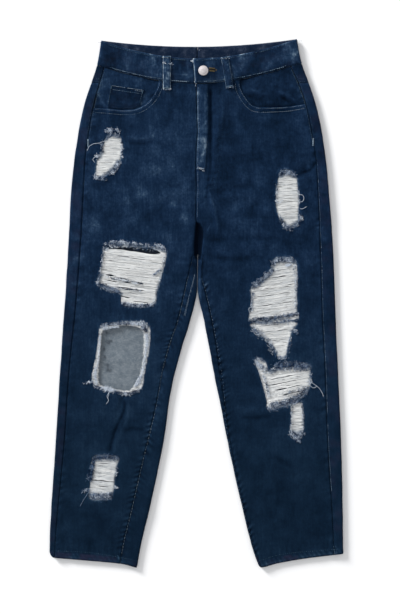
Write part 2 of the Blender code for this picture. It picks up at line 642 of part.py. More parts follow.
def pocket_facing(side, name, mat):
    pocket = list(POCKET_LEFT if side < 0 else POCKET_RIGHT)
    line = []
    under = grown(pocket + [(pocket[-1][0], 500.0), (pocket[0][0], 500.0)], 9.0)[:len(pocket)]
    under = [p for p in under[1:-1]]
    seam = seam_x("seam", side, under[-1][1]) - side * 0.6
    last = (seam, under[-1][1] - 1.0)
    head = (under[0][0], waist_seam(under[0][0]) - 0.5)
    line = [head] + [p for p in under if abs(p[0]) < abs(seam) - 3.0] + [last]
    for y in (348.5, 363.0, 379.0, 394.0):
        line.append((seam_x("seam", side, y) - side * 0.6, y))
    top = seam_x("seam", side, 406.0) - side * 0.6
    line.append((top, waist_seam(top) - 0.5))
    for i in range(1, 5):
        x = top + (head[0] - top) * i / 5.0
        line.append((x, waist_seam(x) - 0.5))
    extra = [(x * 0.5 + 0.5 * (-150 if side < 0 else 150), y * 0.5 + 190.0) for x, y in pocket]
    return flat_piece(name, line, facing_height(side), WALL, mat, (), extra, 16.0)


def strip(x0, y0, x1, y1, width, parts):
    """Outline of a straight strip with square ends."""
    length = hypot(x1 - x0, y1 - y0)
    nx, ny = -(y1 - y0) / length * width / 2, (x1 - x0) / length * width / 2
    left = [(x0 + (x1 - x0) * i / parts + nx, y0 + (y1 - y0) * i / parts + ny) for i in range(parts + 1)]
    right = [(a - 2 * nx, b - 2 * ny) for a, b in left]
    return left + list(reversed(right))


def lap_height(x):
    return LAP_STEP * (1.0 - smooth((x - LAP_FROM) / (LAP_TO - LAP_FROM)))


def band_face(x, y):
    """Upper face of the waistband on the front."""
    return crown(x, y) + BAND_STEP + (lap_height(x) if x > 0 else 0.0)


def belt_loop(name, x0, y0, x1, y1, width, face, mat):
    outline = strip(x0, y0, x1, y1, width, 5)
    if face == "front":
        height = lambda x, y: band_face(x, y) + LOOP_REST + LOOP_WALL
        return flat_piece(name, outline, height, LOOP_WALL, mat, grid=60.0)
    return flat_piece(name, outline, lambda x, y: BACK_LOOP_WALL, BACK_LOOP_WALL, mat, grid=60.0)


def back_pocket(side, name, mat):
    cx, cy = POCKET_CENTRE[0 if side < 0 else 1]
    shape = ((-POCKET_TOP, 0.0), (-POCKET_LOW, -POCKET_TALL), (0.0, -POCKET_TALL - POCKET_POINT),
             (POCKET_LOW, -POCKET_TALL), (POCKET_TOP, 0.0))
    tilt = -side * POCKET_TILT
    line = [(cx + a * cos(tilt) - b * sin(tilt), cy + a * sin(tilt) + b * cos(tilt)) for a, b in shape]
    return flat_piece(name, divided(line, 60.0), lambda x, y: BACK_POCKET_WALL, BACK_POCKET_WALL, mat,
                      grid=500.0)


def fly(name, mat):
    foot, head = FLY_FOOT, waist_seam(8.0) - 0.8
    left = [(centre_x(y) + 0.6, y) for y in (head,) + FLY_ROWS + (foot,)]
    right = [(x + FLY_WIDTH - (4.0 if y < 250.0 else 0.0), y) for x, y in left]
    height = lambda x, y: crown(x, y) + 2.0 * REST + WALL
    return flat_piece(name, left + list(reversed(right)), height, WALL, mat, grid=60.0,
                      extra=[((a[0] + b[0]) / 2, a[1]) for a, b in zip(left, right)][1:-1])


def button(name, mat):
    x, y = BUTTON_AT
    base = band_face(x, y) + REST
    # r, z from the middle of the cap, down its outside, to the foot
    profile = ((0.0, 4.6), (3.2, 4.45), (6.0, 4.0), (7.7, 3.3), (8.35, 2.7), (8.5, 2.2), (8.3, 1.75),
               (7.6, 1.5), (3.4, 1.5), (3.0, 0.1), (0.0, 0.1))
    turns = 20
    verts, faces = [Vector((x, y, base + profile[0][1]))], []
    for r, z in profile[1:-1]:
        verts += [Vector((x + r * cos(2 * pi * i / turns), y + r * sin(2 * pi * i / turns), base + z))
                  for i in range(turns)]
    verts.append(Vector((x, y, base + profile[-1][1])))
    rings = len(profile) - 2
    for i in range(turns):
        j = (i + 1) % turns
        faces.append((0, 1 + i, 1 + j))
        for k in range(rings - 1):
            a, b = 1 + k * turns, 1 + (k + 1) * turns
            faces.append((a + j, a + i, b + i, b + j))
        last = 1 + (rings - 1) * turns
        faces.append((last + i, len(verts) - 1, last + j))
    mesh = bpy.data.meshes.new(name)
    mesh.from_pydata([v * 0.001 for v in verts], [], faces)
    mesh.update()
    mesh.shade_smooth()
    mesh.set_sharp_from_angle(angle=0.7)
    mesh.materials.append(mat)
    obj = bpy.data.objects.new(name, mesh)
    bpy.context.scene.collection.objects.link(obj)
    obj.parent = ROOT
    return obj


# ------------------------------------------------------------------- build
def main():
    global ROOT
    for old in list(bpy.data.objects):
        bpy.data.objects.remove(old)
    ROOT = bpy.data.objects.new("jeans", None)
    bpy.context.scene.collection.objects.link(ROOT)
    denim = material("denim", (0.016, 0.042, 0.098), 0.9)
    dark = material("denim_dark", (0.012, 0.030, 0.070), 0.9)
    thread = material("bare_weft", (0.68, 0.68, 0.66), 0.95)
    metal = material("button_metal", (0.78, 0.77, 0.76), 0.3, 1.0)

    for side, end in ((-1, "l"), (1, "r")):
        front_panel(side, "front_panel_" + end, denim)
        back_panel(side, "back_panel_" + end, denim)
        side_piece(side, "yoke_" + end, dark, lambda x, f: yoke_seam(x, f) + SEAM / 2,
                   lambda x, f: waist_seam(x, f) - SEAM / 2, 2, (1.0, 0.5), WALL,
                   end=lambda y, s=side: seam_x("seam", s, y) + s * SEAM / 2)
        pocket_facing(side, "pocket_facing_" + end, dark)
        back_pocket(side, "back_pocket_" + end, denim)
    tops = (1.0, 0.93, 0.86, 0.78, 0.7, 0.6, 0.5, 0.4, 0.3, 0.2, 0.1, 0.045)
    side_piece(-1, "waistband_l", denim, lambda x, f: waist_seam(x, f) + SEAM / 2, waist_top, 2, tops,
               BAND_WALL, step=BAND_STEP, end=lambda y: 22.0)
    side_piece(1, "waistband_r", denim, lambda x, f: waist_seam(x, f) + SEAM / 2, waist_top, 2, tops,
               BAND_WALL, step=BAND_STEP, end=lambda y: -5.6 + (y - 421.0) * -0.085, lap=lap_height)
    coin = list(COIN_POCKET)
    flat_piece("coin_pocket", divided(coin, 20.0), lambda x, y: facing_height(-1)(x, y) + 0.5 + 1.0, 1.0,
               dark, grid=15.0)
    fly("fly_placket", denim)
    for row in LOOPS:
        belt_loop(*row, denim)
    for name, side, outline in RIPS:
        line = grown(divided(list(outline), 26.0), -SEAM)
        flat_piece(name, line, lambda x, y: crown(x, y) - 0.1, THREAD_WALL, thread)
    ring = grown(divided(list(RIP_L3), 26.0), -SEAM)
    flat_piece("knee_fray_l", ring, lambda x, y: crown(x, y) - 0.1, THREAD_WALL, thread,
               [divided(list(RIP_L3_GAP), 26.0)], grid=500.0)
    button("button", metal)


main()
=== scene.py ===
"""Ripped denim jeans, laid flat on their back: how they look.

Lengths here are in millimetres and are turned into metres when a mesh is made.
The waist is at +Y, the hems at -Y, and left and right mean -X and +X, as seen
from above. The tables repeat the CAD part's sizes, so that each visible piece
lies on its solid's form.
"""
from math import hypot, pi, sin, cos, radians
import bpy
import numpy as np
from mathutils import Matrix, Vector
from mathutils.geometry import delaunay_2d_cdt


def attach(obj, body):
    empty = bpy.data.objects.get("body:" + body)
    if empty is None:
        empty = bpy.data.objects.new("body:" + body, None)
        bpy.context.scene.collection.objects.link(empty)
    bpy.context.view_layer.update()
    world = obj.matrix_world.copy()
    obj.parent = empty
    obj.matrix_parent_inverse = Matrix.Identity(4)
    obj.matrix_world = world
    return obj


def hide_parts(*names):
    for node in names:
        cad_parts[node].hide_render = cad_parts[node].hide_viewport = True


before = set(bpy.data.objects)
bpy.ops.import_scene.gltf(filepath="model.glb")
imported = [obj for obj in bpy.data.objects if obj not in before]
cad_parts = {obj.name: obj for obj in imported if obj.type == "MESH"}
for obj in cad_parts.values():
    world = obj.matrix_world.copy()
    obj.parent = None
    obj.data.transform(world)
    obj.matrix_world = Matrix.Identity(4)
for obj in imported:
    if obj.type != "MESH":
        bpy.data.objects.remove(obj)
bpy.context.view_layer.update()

# ------------------------------------------------------------------ sizes
WALL = 1.2            # one layer of denim
BAND_WALL = 2.4       # waistband: two layers and their turned edges
HEM_WALL = 1.9        # where the hem is turned up
SEAM = 0.3            # between pieces sewn edge to edge
REST = 0.35           # between pieces that lie on each other
LOOP_REST = 0.9       # under the front belt loops
CENTRE_SEAM = 0.5     # between the two front panels
LIFT = 1.35           # the seat lies this high, on the back pockets
LIFT_FROM, LIFT_TO = 105.0, 165.0
CROTCH = 83.8         # Y of the lower end of the crotch seam
VALLEY_FLOOR = 3.1    # top of the cloth between the thighs
CENTRE_BACK = 2.5     # X of the centre back seam
HEM_DEPTH = 11.0
EDGE_FADE = 30.0      # width over which a side roll sinks to the middle
INNER_FADE = 20.0
BAND_STEP = 0.8       # waistband's face above the panels'
LAP_STEP = 2.9        # right waistband end, raised over the left one
LAP_FROM, LAP_TO = 24.0, 38.0
BUTTON_AT = (12.1, 399.2)
BUTTON_R = 8.5

# A row for each cross-section, from the waist to the hem.
# y: station; out: side edge; seam: outseam; ins: inseam; edge: inner edge
SECTION_COLUMNS = ("y", "out_l", "seam_l", "ins_l", "in_l", "in_r", "ins_r", "seam_r", "out_r")
SECTIONS = (
    (455.0, -163.5, -152.5, -5.8, -3.0, 7.8, 10.8, 158.0, 173.4),
    (432.0, -166.9, -154.0, -5.8, -3.0, 7.8, 10.8, 160.5, 177.1),
    (409.8, -171.0, -157.3, -5.8, -3.0, 7.8, 10.8, 163.1, 182.4),
    (378.8, -181.0, -166.0, -5.8, -3.0, 7.8, 10.8, 175.8, 193.8),
    (342.7, -192.8, -176.1, -5.8, -3.0, 7.8, 10.8, 188.5, 205.6),
    (301.4, -201.8, -183.5, -5.8, -3.0, 7.8, 10.8, 197.5, 215.0),
    (246.4, -210.4, -190.6, -5.8, -3.0, 7.8, 10.8, 206.3, 223.3),
    (177.6, -216.6, -194.3, -5.8, -3.0, 7.8, 10.8, 210.3, 229.7),
    (112.2, -219.9, -197.8, -5.8, -3.0, 7.8, 10.8, 213.3, 234.6),
    (83.8, -221.6, -199.9, -6.4, -3.0, 7.8, 11.4, 214.3, 236.0),
    (46.9, -223.8, -202.5, -13.8, -1.2, 4.8, 9.6, 215.2, 237.5),
    (15.9, -225.6, -205.2, -20.9, -0.9, 4.3, 17.0, 216.1, 238.6),
    (-28.8, -229.0, -209.2, -31.4, -10.2, 12.8, 27.0, 217.6, 240.2),
    (-78.7, -232.2, -214.7, -48.0, -25.5, 22.6, 35.5, 220.4, 242.3),
    (-128.6, -235.6, -219.4, -60.0, -38.7, 31.6, 42.0, 222.6, 244.7),
    (-166.4, -237.9, -222.0, -67.6, -46.2, 39.8, 48.6, 223.8, 246.4),
    (-228.3, -241.7, -225.8, -81.1, -54.6, 51.6, 57.4, 226.0, 249.2),
    (-292.0, -246.1, -231.6, -96.6, -66.8, 65.1, 69.4, 229.4, 251.2),
    (-353.9, -250.1, -237.8, -110.7, -80.3, 79.5, 83.4, 233.8, 252.3),
    (-415.8, -252.9, -242.6, -125.5, -95.1, 94.7, 98.4, 236.6, 253.1),
    (-455.4, -253.3, -244.0, -132.2, -102.3, 108.0, 112.0, 237.8, 253.3),
)

# Thickness of the laid garment, above its underside. roll: the side rolls;
# inner: the rolls between the legs; mid: the middle
LOFT_COLUMNS = ("y", "roll", "inner", "mid")
LOFT = (
    (455.0, 6.25, 6.2, 5.2),
    (378.8, 6.25, 6.2, 5.4),
    (301.4, 6.25, 6.2, 5.3),
    (177.6, 6.25, 6.2, 5.1),
    (83.8, 6.25, 6.2, 5.2),
    (-28.8, 6.25, 6.2, 4.7),
    (-166.4, 6.25, 6.1, 4.5),
    (-353.9, 6.2, 6.0, 4.5),
    (-455.4, 6.2, 6.0, 5.0),
)

# Largest folds of the front. Positive height is a ridge, negative a trough
FOLD_COLUMNS = ("x0", "y0", "x1", "y1", "width", "height")
FOLDS = (
    (25.2, 372.0, 25.2, 238.0, 3.6, -2.2),       # beside the fly
    (52.0, 356.0, 31.5, 262.0, 9.0, 1.5),        # ridge right of the fly
    (21.5, 205.0, 37.5, 121.0, 7.0, 1.4),        # crease to the crotch
    (-125.5, -162.0, -139.5, -220.0, 4.5, -1.4),  # upper half of the shin crease
    (-139.5, -220.0, -150.0, -256.0, 4.5, -1.4),  # lower half of the shin crease
    (176.0, 222.0, 203.0, 244.0, 7.0, -1.6),     # below the right pocket
    (141.0, 359.0, 166.0, 342.0, 6.0, 1.1),      # in the right pocket facing
    (-60.0, 176.0, -22.0, 170.0, 8.0, -1.0),     # across the left thigh
    (60.0, 172.0, 118.0, 170.0, 9.0, -0.9),      # across the right thigh
    (74.0, -176.0, 128.0, -168.0, 8.0, -1.0),    # below the right knee
    (-120.0, 12.0, -70.0, -6.0, 12.0, -0.8),     # between the left rips
)

# Void between the thighs, above the crotch: its left and right edge
VALLEY_COLUMNS = ("y", "left", "right")
VALLEY = (
    (150.0, 0.4, 1.2),
    (131.0, -0.8, 8.6),
    (121.0, -1.5, 11.2),
    (98.5, -3.0, 9.4),
    (83.8, -3.0, 7.8),
)

CENTRE_FRONT = ((410.0, -2.0), (378.0, 0.4), (325.0, 1.4), (295.0, 2.3), (265.0, 0.4),
                (230.0, -0.4), (205.0, 0.4), (150.0, -0.6), (120.0, 2.4), (83.8, 2.4))   # y, x
HEM_LEFT = ((-253.4, -426.0), (-252.2, -430.5), (-250.0, -434.5), (-246.0, -437.6), (-205.0, -441.6),
            (-164.7, -445.0), (-127.2, -449.0), (-102.3, -455.4))                        # x, y
HEM_RIGHT = ((104.0, -446.0), (107.0, -452.0), (111.0, -454.6), (138.2, -448.2), (185.7, -439.8),
             (225.0, -434.8), (253.3, -431.3))                                           # x, y

# Pocket openings, from the waist seam to the outseam: x, y
POCKET_LEFT = ((-64.6, 381.0), (-67.5, 370.2), (-76.1, 354.4), (-88.8, 341.6), (-106.0, 333.8),
               (-128.7, 332.4), (-157.3, 335.2), (-178.8, 335.8))
POCKET_RIGHT = ((74.7, 381.0), (77.5, 367.3), (88.8, 348.8), (103.1, 338.0), (131.7, 337.4),
                (160.2, 338.6), (189.5, 343.4))
COIN_POCKET = ((-147.3, 376.6), (-89.6, 368.0), (-97.0, 341.2), (-109.0, 336.2), (-128.7, 334.8),
               (-154.5, 337.4))

# Rips: outlines of the missing or threadbare cloth, x, y
RIP_L1 = ((-152.4, 288.6), (-133.8, 289.8), (-127.4, 273.5), (-128.6, 259.0), (-133.0, 242.0),
          (-146.0, 226.5), (-160.0, 215.6), (-172.0, 214.4), (-172.6, 232.0), (-170.6, 248.0),
          (-163.0, 264.0))
RIP_L2 = ((-158.6, 97.0), (-128.0, 104.2), (-98.0, 99.6), (-63.0, 97.0), (-52.0, 87.0),
          (-54.4, 66.0), (-60.6, 46.0), (-68.0, 20.0), (-73.2, -3.6), (-98.0, -6.0), (-126.6, -2.6),
          (-131.0, 16.0), (-149.0, 20.0), (-172.0, 33.0), (-165.0, 52.0), (-163.2, 66.0), (-160.0, 84.0))
RIP_L3 = ((-163.2, -38.6), (-138.0, -33.6), (-96.6, -31.4), (-82.0, -39.0), (-80.0, -56.0),
          (-84.0, -90.0), (-90.0, -120.0), (-96.0, -147.0), (-119.6, -157.6), (-142.0, -151.0),
          (-171.0, -144.4), (-178.6, -130.0), (-176.0, -110.6), (-170.0, -80.0), (-167.0, -56.0))
RIP_L3_GAP = ((-160.4, -46.6), (-139.0, -39.8), (-106.6, -39.4), (-92.0, -50.6), (-92.2, -88.0),
              (-97.4, -117.6), (-108.4, -137.0), (-134.6, -149.4), (-166.0, -140.0), (-167.4, -111.0),
              (-164.0, -68.0))
RIP_L4 = ((-176.7, -263.8), (-135.8, -263.8), (-136.1, -279.9), (-140.3, -300.6), (-142.7, -322.9),
          (-146.8, -336.7), (-164.0, -339.3), (-183.8, -336.0), (-183.6, -316.1), (-180.2, -292.0))
RIP_R1 = ((146.3, 226.4), (160.0, 229.5), (170.7, 219.9), (175.5, 197.5), (177.1, 179.0),
          (175.5, 153.5), (174.2, 136.3), (160.7, 126.7), (150.1, 131.5), (142.8, 144.9),
          (138.0, 163.8), (137.0, 184.5), (139.1, 205.1))
RIP_R2 = ((133.6, 75.4), (153.2, 79.6), (166.9, 76.1), (173.5, 62.0), (173.8, 24.0), (173.0, -8.0),
          (170.6, -29.8), (95.8, -32.2), (95.2, -4.0), (94.6, 28.0), (110.0, 40.0), (127.0, 58.0))
RIP_R3 = ((97.4, -33.4), (169.6, -31.2), (163.0, -52.0), (158.0, -70.0), (152.8, -93.6), (142.0, -94.0),
          (136.0, -82.0), (120.0, -66.0), (101.0, -48.0))
RIP_R4 = ((101.0, -96.4), (116.0, -97.6), (126.0, -116.0), (143.6, -109.0), (152.0, -101.0),
          (192.0, -105.4), (195.6, -120.0), (194.8, -146.0), (178.0, -165.4), (150.0, -178.0),
          (124.4, -184.0), (120.4, -164.0), (112.0, -134.0))
RIP_R5 = ((163.5, -174.1), (176.4, -169.0), (182.4, -172.6), (183.8, -195.7), (184.1, -218.0),
          (181.0, -231.8), (173.1, -238.0), (164.5, -230.1), (161.8, -216.3), (163.8, -195.7))

RIP_COLUMNS = ("name", "side", "outline")
RIPS = (
    ("rip_threads_l1", -1, RIP_L1), ("rip_threads_l2", -1, RIP_L2), ("rip_threads_l4", -1, RIP_L4),
    ("rip_threads_r1", 1, RIP_R1), ("rip_threads_r2", 1, RIP_R2), ("rip_threads_r3", 1, RIP_R3),
    ("rip_threads_r4", 1, RIP_R4), ("rip_threads_r5", 1, RIP_R5),
)
THREAD_WALL = 1.0

# Belt loops. x0, y0: upper end; x1, y1: lower end; on the front or the back
LOOP_COLUMNS = ("name", "x0", "y0", "x1", "y1", "width", "face")
LOOPS = (
    ("belt_loop_front_l", -50.6, 425.0, -50.6, 367.6, 13.4, "front"),
    ("belt_loop_front_r", 48.6, 423.6, 57.6, 370.4, 13.0, "front"),
    ("belt_loop_back_l", -98.0, 441.0, -96.0, 388.0, 12.0, "back"),
    ("belt_loop_back_c", CENTRE_BACK, 437.0, CENTRE_BACK, 385.0, 12.0, "back"),
    ("belt_loop_back_r", 103.0, 441.0, 101.0, 388.0, 12.0, "back"),
)
LOOP_WALL = 1.8
BACK_LOOP_WALL = 1.0
BACK_POCKET_WALL = 1.0
# Back pocket: half widths at the top and at the shoulders, height, point
POCKET_TOP, POCKET_LOW, POCKET_TALL, POCKET_POINT = 67.0, 57.0, 118.0, 24.0
POCKET_CENTRE = ((-91.0, 332.0), (98.0, 332.0))      # middle of the top edge
POCKET_TILT = 0.05

FLY_WIDTH = 19.0
FLY_FOOT = 231.0
FLY_ROWS = (352.0, 330.0, 307.0, 285.0, 265.0, 250.0)



# ------------------------------------------------------------------ maths
def smooth(t):
    t = np.clip(t, 0.0, 1.0)
    return t * t * (3.0 - 2.0 * t)


class Curve:
    """A smooth curve through one column of a table, without overshoot."""

    def __init__(self, table, column):
        rows = sorted((row[0], row[column]) for row in table)
        self.x = np.array([r[0] for r in rows])
        self.y = np.array([r[1] for r in rows])
        step = np.diff(self.y) / np.diff(self.x)
        a, b = step[:-1], step[1:]
        total = np.where(a * b > 0, a + b, 1.0)
        inner = np.where(a * b > 0, 2.0 * a * b / total, 0.0)
        self.m = np.concatenate([step[:1], inner, step[-1:]])

    def __call__(self, x):
        x = np.clip(np.asarray(x, float), self.x[0], self.x[-1])
        i = np.clip(np.searchsorted(self.x, x, "right") - 1, 0, len(self.x) - 2)
        h = self.x[i + 1] - self.x[i]
        t = (x - self.x[i]) / h
        return ((2 * t ** 3 - 3 * t ** 2 + 1) * self.y[i] + (t ** 3 - 2 * t ** 2 + t) * h * self.m[i]
                + (-2 * t ** 3 + 3 * t ** 2) * self.y[i + 1] + (t ** 3 - t ** 2) * h * self.m[i + 1])


LATTICE = {}


def noise(x, y, seed, octaves=1, gain=0.5):
    """A smooth random field from -1 to 1, with one cell to a unit."""
    x, y = np.broadcast_arrays(np.asarray(x, float), np.asarray(y, float))
    total, amp, norm = np.zeros(x.shape), 1.0, 0.0
    for k in range(octaves):
        key = seed * 8 + k
        if key not in LATTICE:
            LATTICE[key] = np.random.RandomState(key).uniform(-1.0, 1.0, (64, 64))
        grid = LATTICE[key]
        xs, ys = x * 2 ** k + 17.3 * k, y * 2 ** k + 5.1 * k
        i, j = np.floor(xs).astype(int), np.floor(ys).astype(int)
        u, v = xs - i, ys - j
        u, v = u ** 3 * (u * (u * 6 - 15) + 10), v ** 3 * (v * (v * 6 - 15) + 10)
        i0, i1, j0, j1 = i % 64, (i + 1) % 64, j % 64, (j + 1) % 64
        total += amp * ((grid[i0, j0] * (1 - u) + grid[i1, j0] * u) * (1 - v)
                        + (grid[i0, j1] * (1 - u) + grid[i1, j1] * u) * v)
        norm += amp
        amp *= gain
    return total / norm


def along(line, x, y):
    """Distance from a broken line, positive on the left of its direction, and the length along it."""
    best, sign, s = np.full(x.shape, 1e9), np.ones(x.shape), np.zeros(x.shape)
    run = 0.0
    for (x0, y0), (x1, y1) in zip(line, line[1:]):
        lx, ly = x1 - x0, y1 - y0
        size = max(1e-6, (lx * lx + ly * ly) ** 0.5)
        raw = ((x - x0) * lx + (y - y0) * ly) / size ** 2
        t = np.clip(raw, 0.0, 1.0)
        d = np.hypot(x - x0 - t * lx, y - y0 - t * ly)
        near = d < best
        best = np.where(near, d, best)
        sign = np.where(near, np.where(lx * (y - y0) - ly * (x - x0) >= 0, 1.0, -1.0), sign)
        s = np.where(near, run + t * size, s)
        run += size
    return best * sign, s, run


def near_line(line, x, y, reach):
    """along() for the points that are within reach of the line's box: their index and its results."""
    xs, ys = [p[0] for p in line], [p[1] for p in line]
    at = np.nonzero((x > min(xs) - reach) & (x < max(xs) + reach)
                    & (y > min(ys) - reach) & (y < max(ys) + reach))[0]
    return (at,) + along(line, x[at], y[at])


def inside(poly, x, y):
    hit = np.zeros(x.shape, bool)
    for (x0, y0), (x1, y1) in zip(poly, list(poly[1:]) + [poly[0]]):
        if y0 == y1:
            continue
        cross = ((y0 > y) != (y1 > y)) & (x < x0 + (x1 - x0) * (y - y0) / (y1 - y0))
        hit ^= cross
    return hit


def edge_distance(poly, x, y, closed=True):
    line = list(poly) + ([poly[0]] if closed else [])
    return np.abs(along(line, x, y)[0])


def divided(poly, step, closed=True):
    out = []
    pairs = list(zip(poly, list(poly[1:]) + [poly[0]])) if closed else list(zip(poly, poly[1:]))
    for a, b in pairs:
        k = max(1, round(hypot(b[0] - a[0], b[1] - a[1]) / step))
        out += [(a[0] + (b[0] - a[0]) * i / k, a[1] + (b[1] - a[1]) * i / k) for i in range(k)]
    if not closed:
        out.append(poly[-1])
    return out


def rounded(poly, step, closed=True):
    """A curve through the points (Catmull-Rom), divided into short steps."""
    p = [np.array(q, float) for q in poly]
    n, out = len(p), []
    for i in range(n if closed else n - 1):
        a, b = p[i], p[(i + 1) % n]
        before = p[i - 1] if closed or i else 2 * a - b
        after = p[(i + 2) % n] if closed or i + 2 < n else 2 * b - a
        k = max(1, round(float(np.hypot(*(b - a))) / step))
        for j in range(k):
            t = j / k
            q = 0.5 * (2 * a + (b - before) * t + (2 * before - 5 * a + 4 * b - after) * t * t
                       + (3 * a - before - 3 * b + after) * t ** 3)
            out.append((float(q[0]), float(q[1])))
    if not closed:
        out.append(tuple(float(v) for v in p[-1]))
    return out


def moved(line, by):
    """A broken line moved to the left of its direction."""
    p = np.array(line, float)
    d = np.gradient(p, axis=0)
    d /= np.maximum(1e-9, np.hypot(d[:, 0], d[:, 1]))[:, None]
    return [tuple(q) for q in p + np.stack([-d[:, 1], d[:, 0]], 1) * by]


def grown(poly, by):
    """An outline moved out (or in, if negative) by a distance."""
    area = sum(a[0] * b[1] - b[0] * a[1] for a, b in zip(poly, list(poly[1:]) + [poly[0]]))
    p = np.array(poly, float)
    d = np.roll(p, -1, 0) - np.roll(p, 1, 0)
    d /= np.maximum(1e-9, np.hypot(d[:, 0], d[:, 1]))[:, None]
    out = p + np.stack([d[:, 1], -d[:, 0]], 1) * by * (1.0 if area > 0 else -1.0)
    return [tuple(q) for q in out]


# ------------------------------------------------------- form of the jeans
AT = {name: Curve(SECTIONS, i) for i, name in enumerate(SECTION_COLUMNS) if i}
THICK = {name: Curve(LOFT, i) for i, name in enumerate(LOFT_COLUMNS) if i}
VOID_L, VOID_R = Curve(VALLEY, 1), Curve(VALLEY, 2)
centre_x = Curve(CENTRE_FRONT, 1)
hem_l, hem_r = Curve(HEM_LEFT, 1), Curve(HEM_RIGHT, 1)


def lift(y):
    return LIFT * smooth((y - LIFT_FROM) / (LIFT_TO - LIFT_FROM))


def level(name, y):
    return THICK[name](y) + lift(y)


def side_of(name, side, y):
    return AT[name + ("_l" if side < 0 else "_r")](y)


def hem(side, x):
    return hem_l(x) if side < 0 else hem_r(x)


def across(x):
    return np.minimum(1.0, np.abs((x - 3.0) / 172.0))


def waist_seam(x, front=1.0):
    dip = 32.6 * (1.0 - across(x) ** 1.8) * front + 9.5 * (1.0 - across(x) ** 2) * (1.0 - front)
    return 410.6 + 0.008 * x - dip


def waist_top(x, front=1.0):
    dip = 33.6 * (1.0 - across(x) ** 1.8) * front + 12.5 * (1.0 - across(x) ** 2) * (1.0 - front)
    return 454.2 + 0.006 * x - dip


def yoke_seam(x, front=0.0):
    return 379.0 - 38.0 * (1.0 - across(x)) * (1.0 - front)


def folds(x, y):
    total = np.zeros(x.shape)
    for x0, y0, x1, y1, width, height in FOLDS:
        lx, ly = x1 - x0, y1 - y0
        t = ((x - x0) * lx + (y - y0) * ly) / (lx * lx + ly * ly)
        off = np.hypot(x - x0 - t * lx, y - y0 - t * ly) / width
        ends = smooth((t + 0.18) / 0.3) * smooth((1.18 - t) / 0.3)
        total += np.where((t > -0.3) & (t < 1.3), height * np.exp(-off * off) * ends, 0.0)
    return total


def crown(x, y):
    """Height of the front's outer face above the floor, as the CAD solids have it."""
    x, y = np.broadcast_arrays(np.asarray(x, float), np.asarray(y, float))
    roll, inner, mid, low = level("roll", y), level("inner", y), level("mid", y), lift(y)
    radius, small = (roll - low) / 2.0, inner / 2.0
    z = mid.copy()
    for d in (x - AT["out_l"](y), AT["out_r"](y) - x):
        z += (roll - mid) * (1.0 - smooth((d - radius) / EDGE_FADE))
    fold = folds(x, y)
    in_l, in_r = AT["in_l"](y), AT["in_r"](y)
    d = np.where(x < in_l + 2.0, in_l - x, x - in_r)
    leg = z + (inner - mid) * (1.0 - smooth((d - small) / INNER_FADE)) + fold * smooth((d - small) / 6.0)
    drop = small - np.sqrt(np.maximum(0.0, small ** 2 - (small - np.maximum(0.0, d)) ** 2))
    leg -= np.where(d < small, drop, 0.0)
    hip = z + fold
    near = 1.0 - smooth((y - CROTCH) / 90.0)
    d = np.maximum(VOID_L(y) - x, x - VOID_R(y))
    hip += (inner - mid) * (1.0 - smooth((d - small) / INNER_FADE)) * near
    q = 1.0 - np.maximum(0.0, d) / small
    bowl = (hip - VALLEY_FLOOR) * (1.0 - np.sqrt(np.maximum(0.0, 1.0 - q * q))) * smooth((152.0 - y) / 22.0)
    hip -= np.where(d < small, bowl, 0.0)
    return np.where(y < CROTCH, leg, hip)


# ------------------------------------------- creases, puckers, worn places, painted highlight and shade
# Sewn lines, used for stitches, puckers and wear
OUTSEAM_L = [(float(AT["seam_l"](y)), float(y)) for y in np.linspace(402.0, -438.0, 57)]
OUTSEAM_R = [(float(AT["seam_r"](y)), float(y)) for y in np.linspace(402.0, -432.0, 57)]
INSEAM_L = [(float(AT["ins_l"](y)), float(y)) for y in np.linspace(84.0, -448.0, 37)]
INSEAM_R = [(float(AT["ins_r"](y)), float(y)) for y in np.linspace(84.0, -448.0, 37)]
WAIST_LINE = [(float(x), float(waist_seam(x))) for x in np.linspace(-156.0, 166.0, 47)]
POCKET_L2 = [(-56.7, 379.7), (-59.8, 367.6), (-69.1, 349.9), (-83.8, 335.1), (-102.8, 326.2), (-128.2, 324.5),
             (-158.0, 327.2), (-178.8, 327.9)]
POCKET_R2 = [(66.8, 379.7), (69.2, 364.2), (81.3, 343.7), (98.8, 330.0), (131.7, 328.9), (161.1, 330.7),
             (187.6, 335.5)]
LINE_INSEAM_L = [(-13.0, 50.3), (-30.5, -26.4), (-43.6, -63.2), (-59.1, -118.2), (-66.3, -166.4), (-79.2, -220.6),
                 (-91.8, -270.6), (-110.7, -353.9), (-123.1, -403.8), (-129.3, -434.7)]
LINE_INSEAM_R = [(8.5, 46.0), (17.3, 15.9), (30.4, -41.9), (43.6, -118.2), (47.9, -157.8), (51.0, -207.7),
                 (60.5, -264.4), (79.2, -347.0), (95.7, -412.4), (103.6, -441.6)]
LINE_FLY = [(0.9, 373.7), (1.8, 325.5), (2.7, 294.6), (0.8, 265.3), (-0.1, 230.0), (0.6, 206.8),
            (-0.9, 150.9)]
LINE_J = [(39.0, 373.7), (40.0, 332.4), (39.3, 289.4), (36.5, 249.8), (31.0, 218.9), (22.8, 194.8), (12.1, 177.6),
          (1.5, 167.3)]
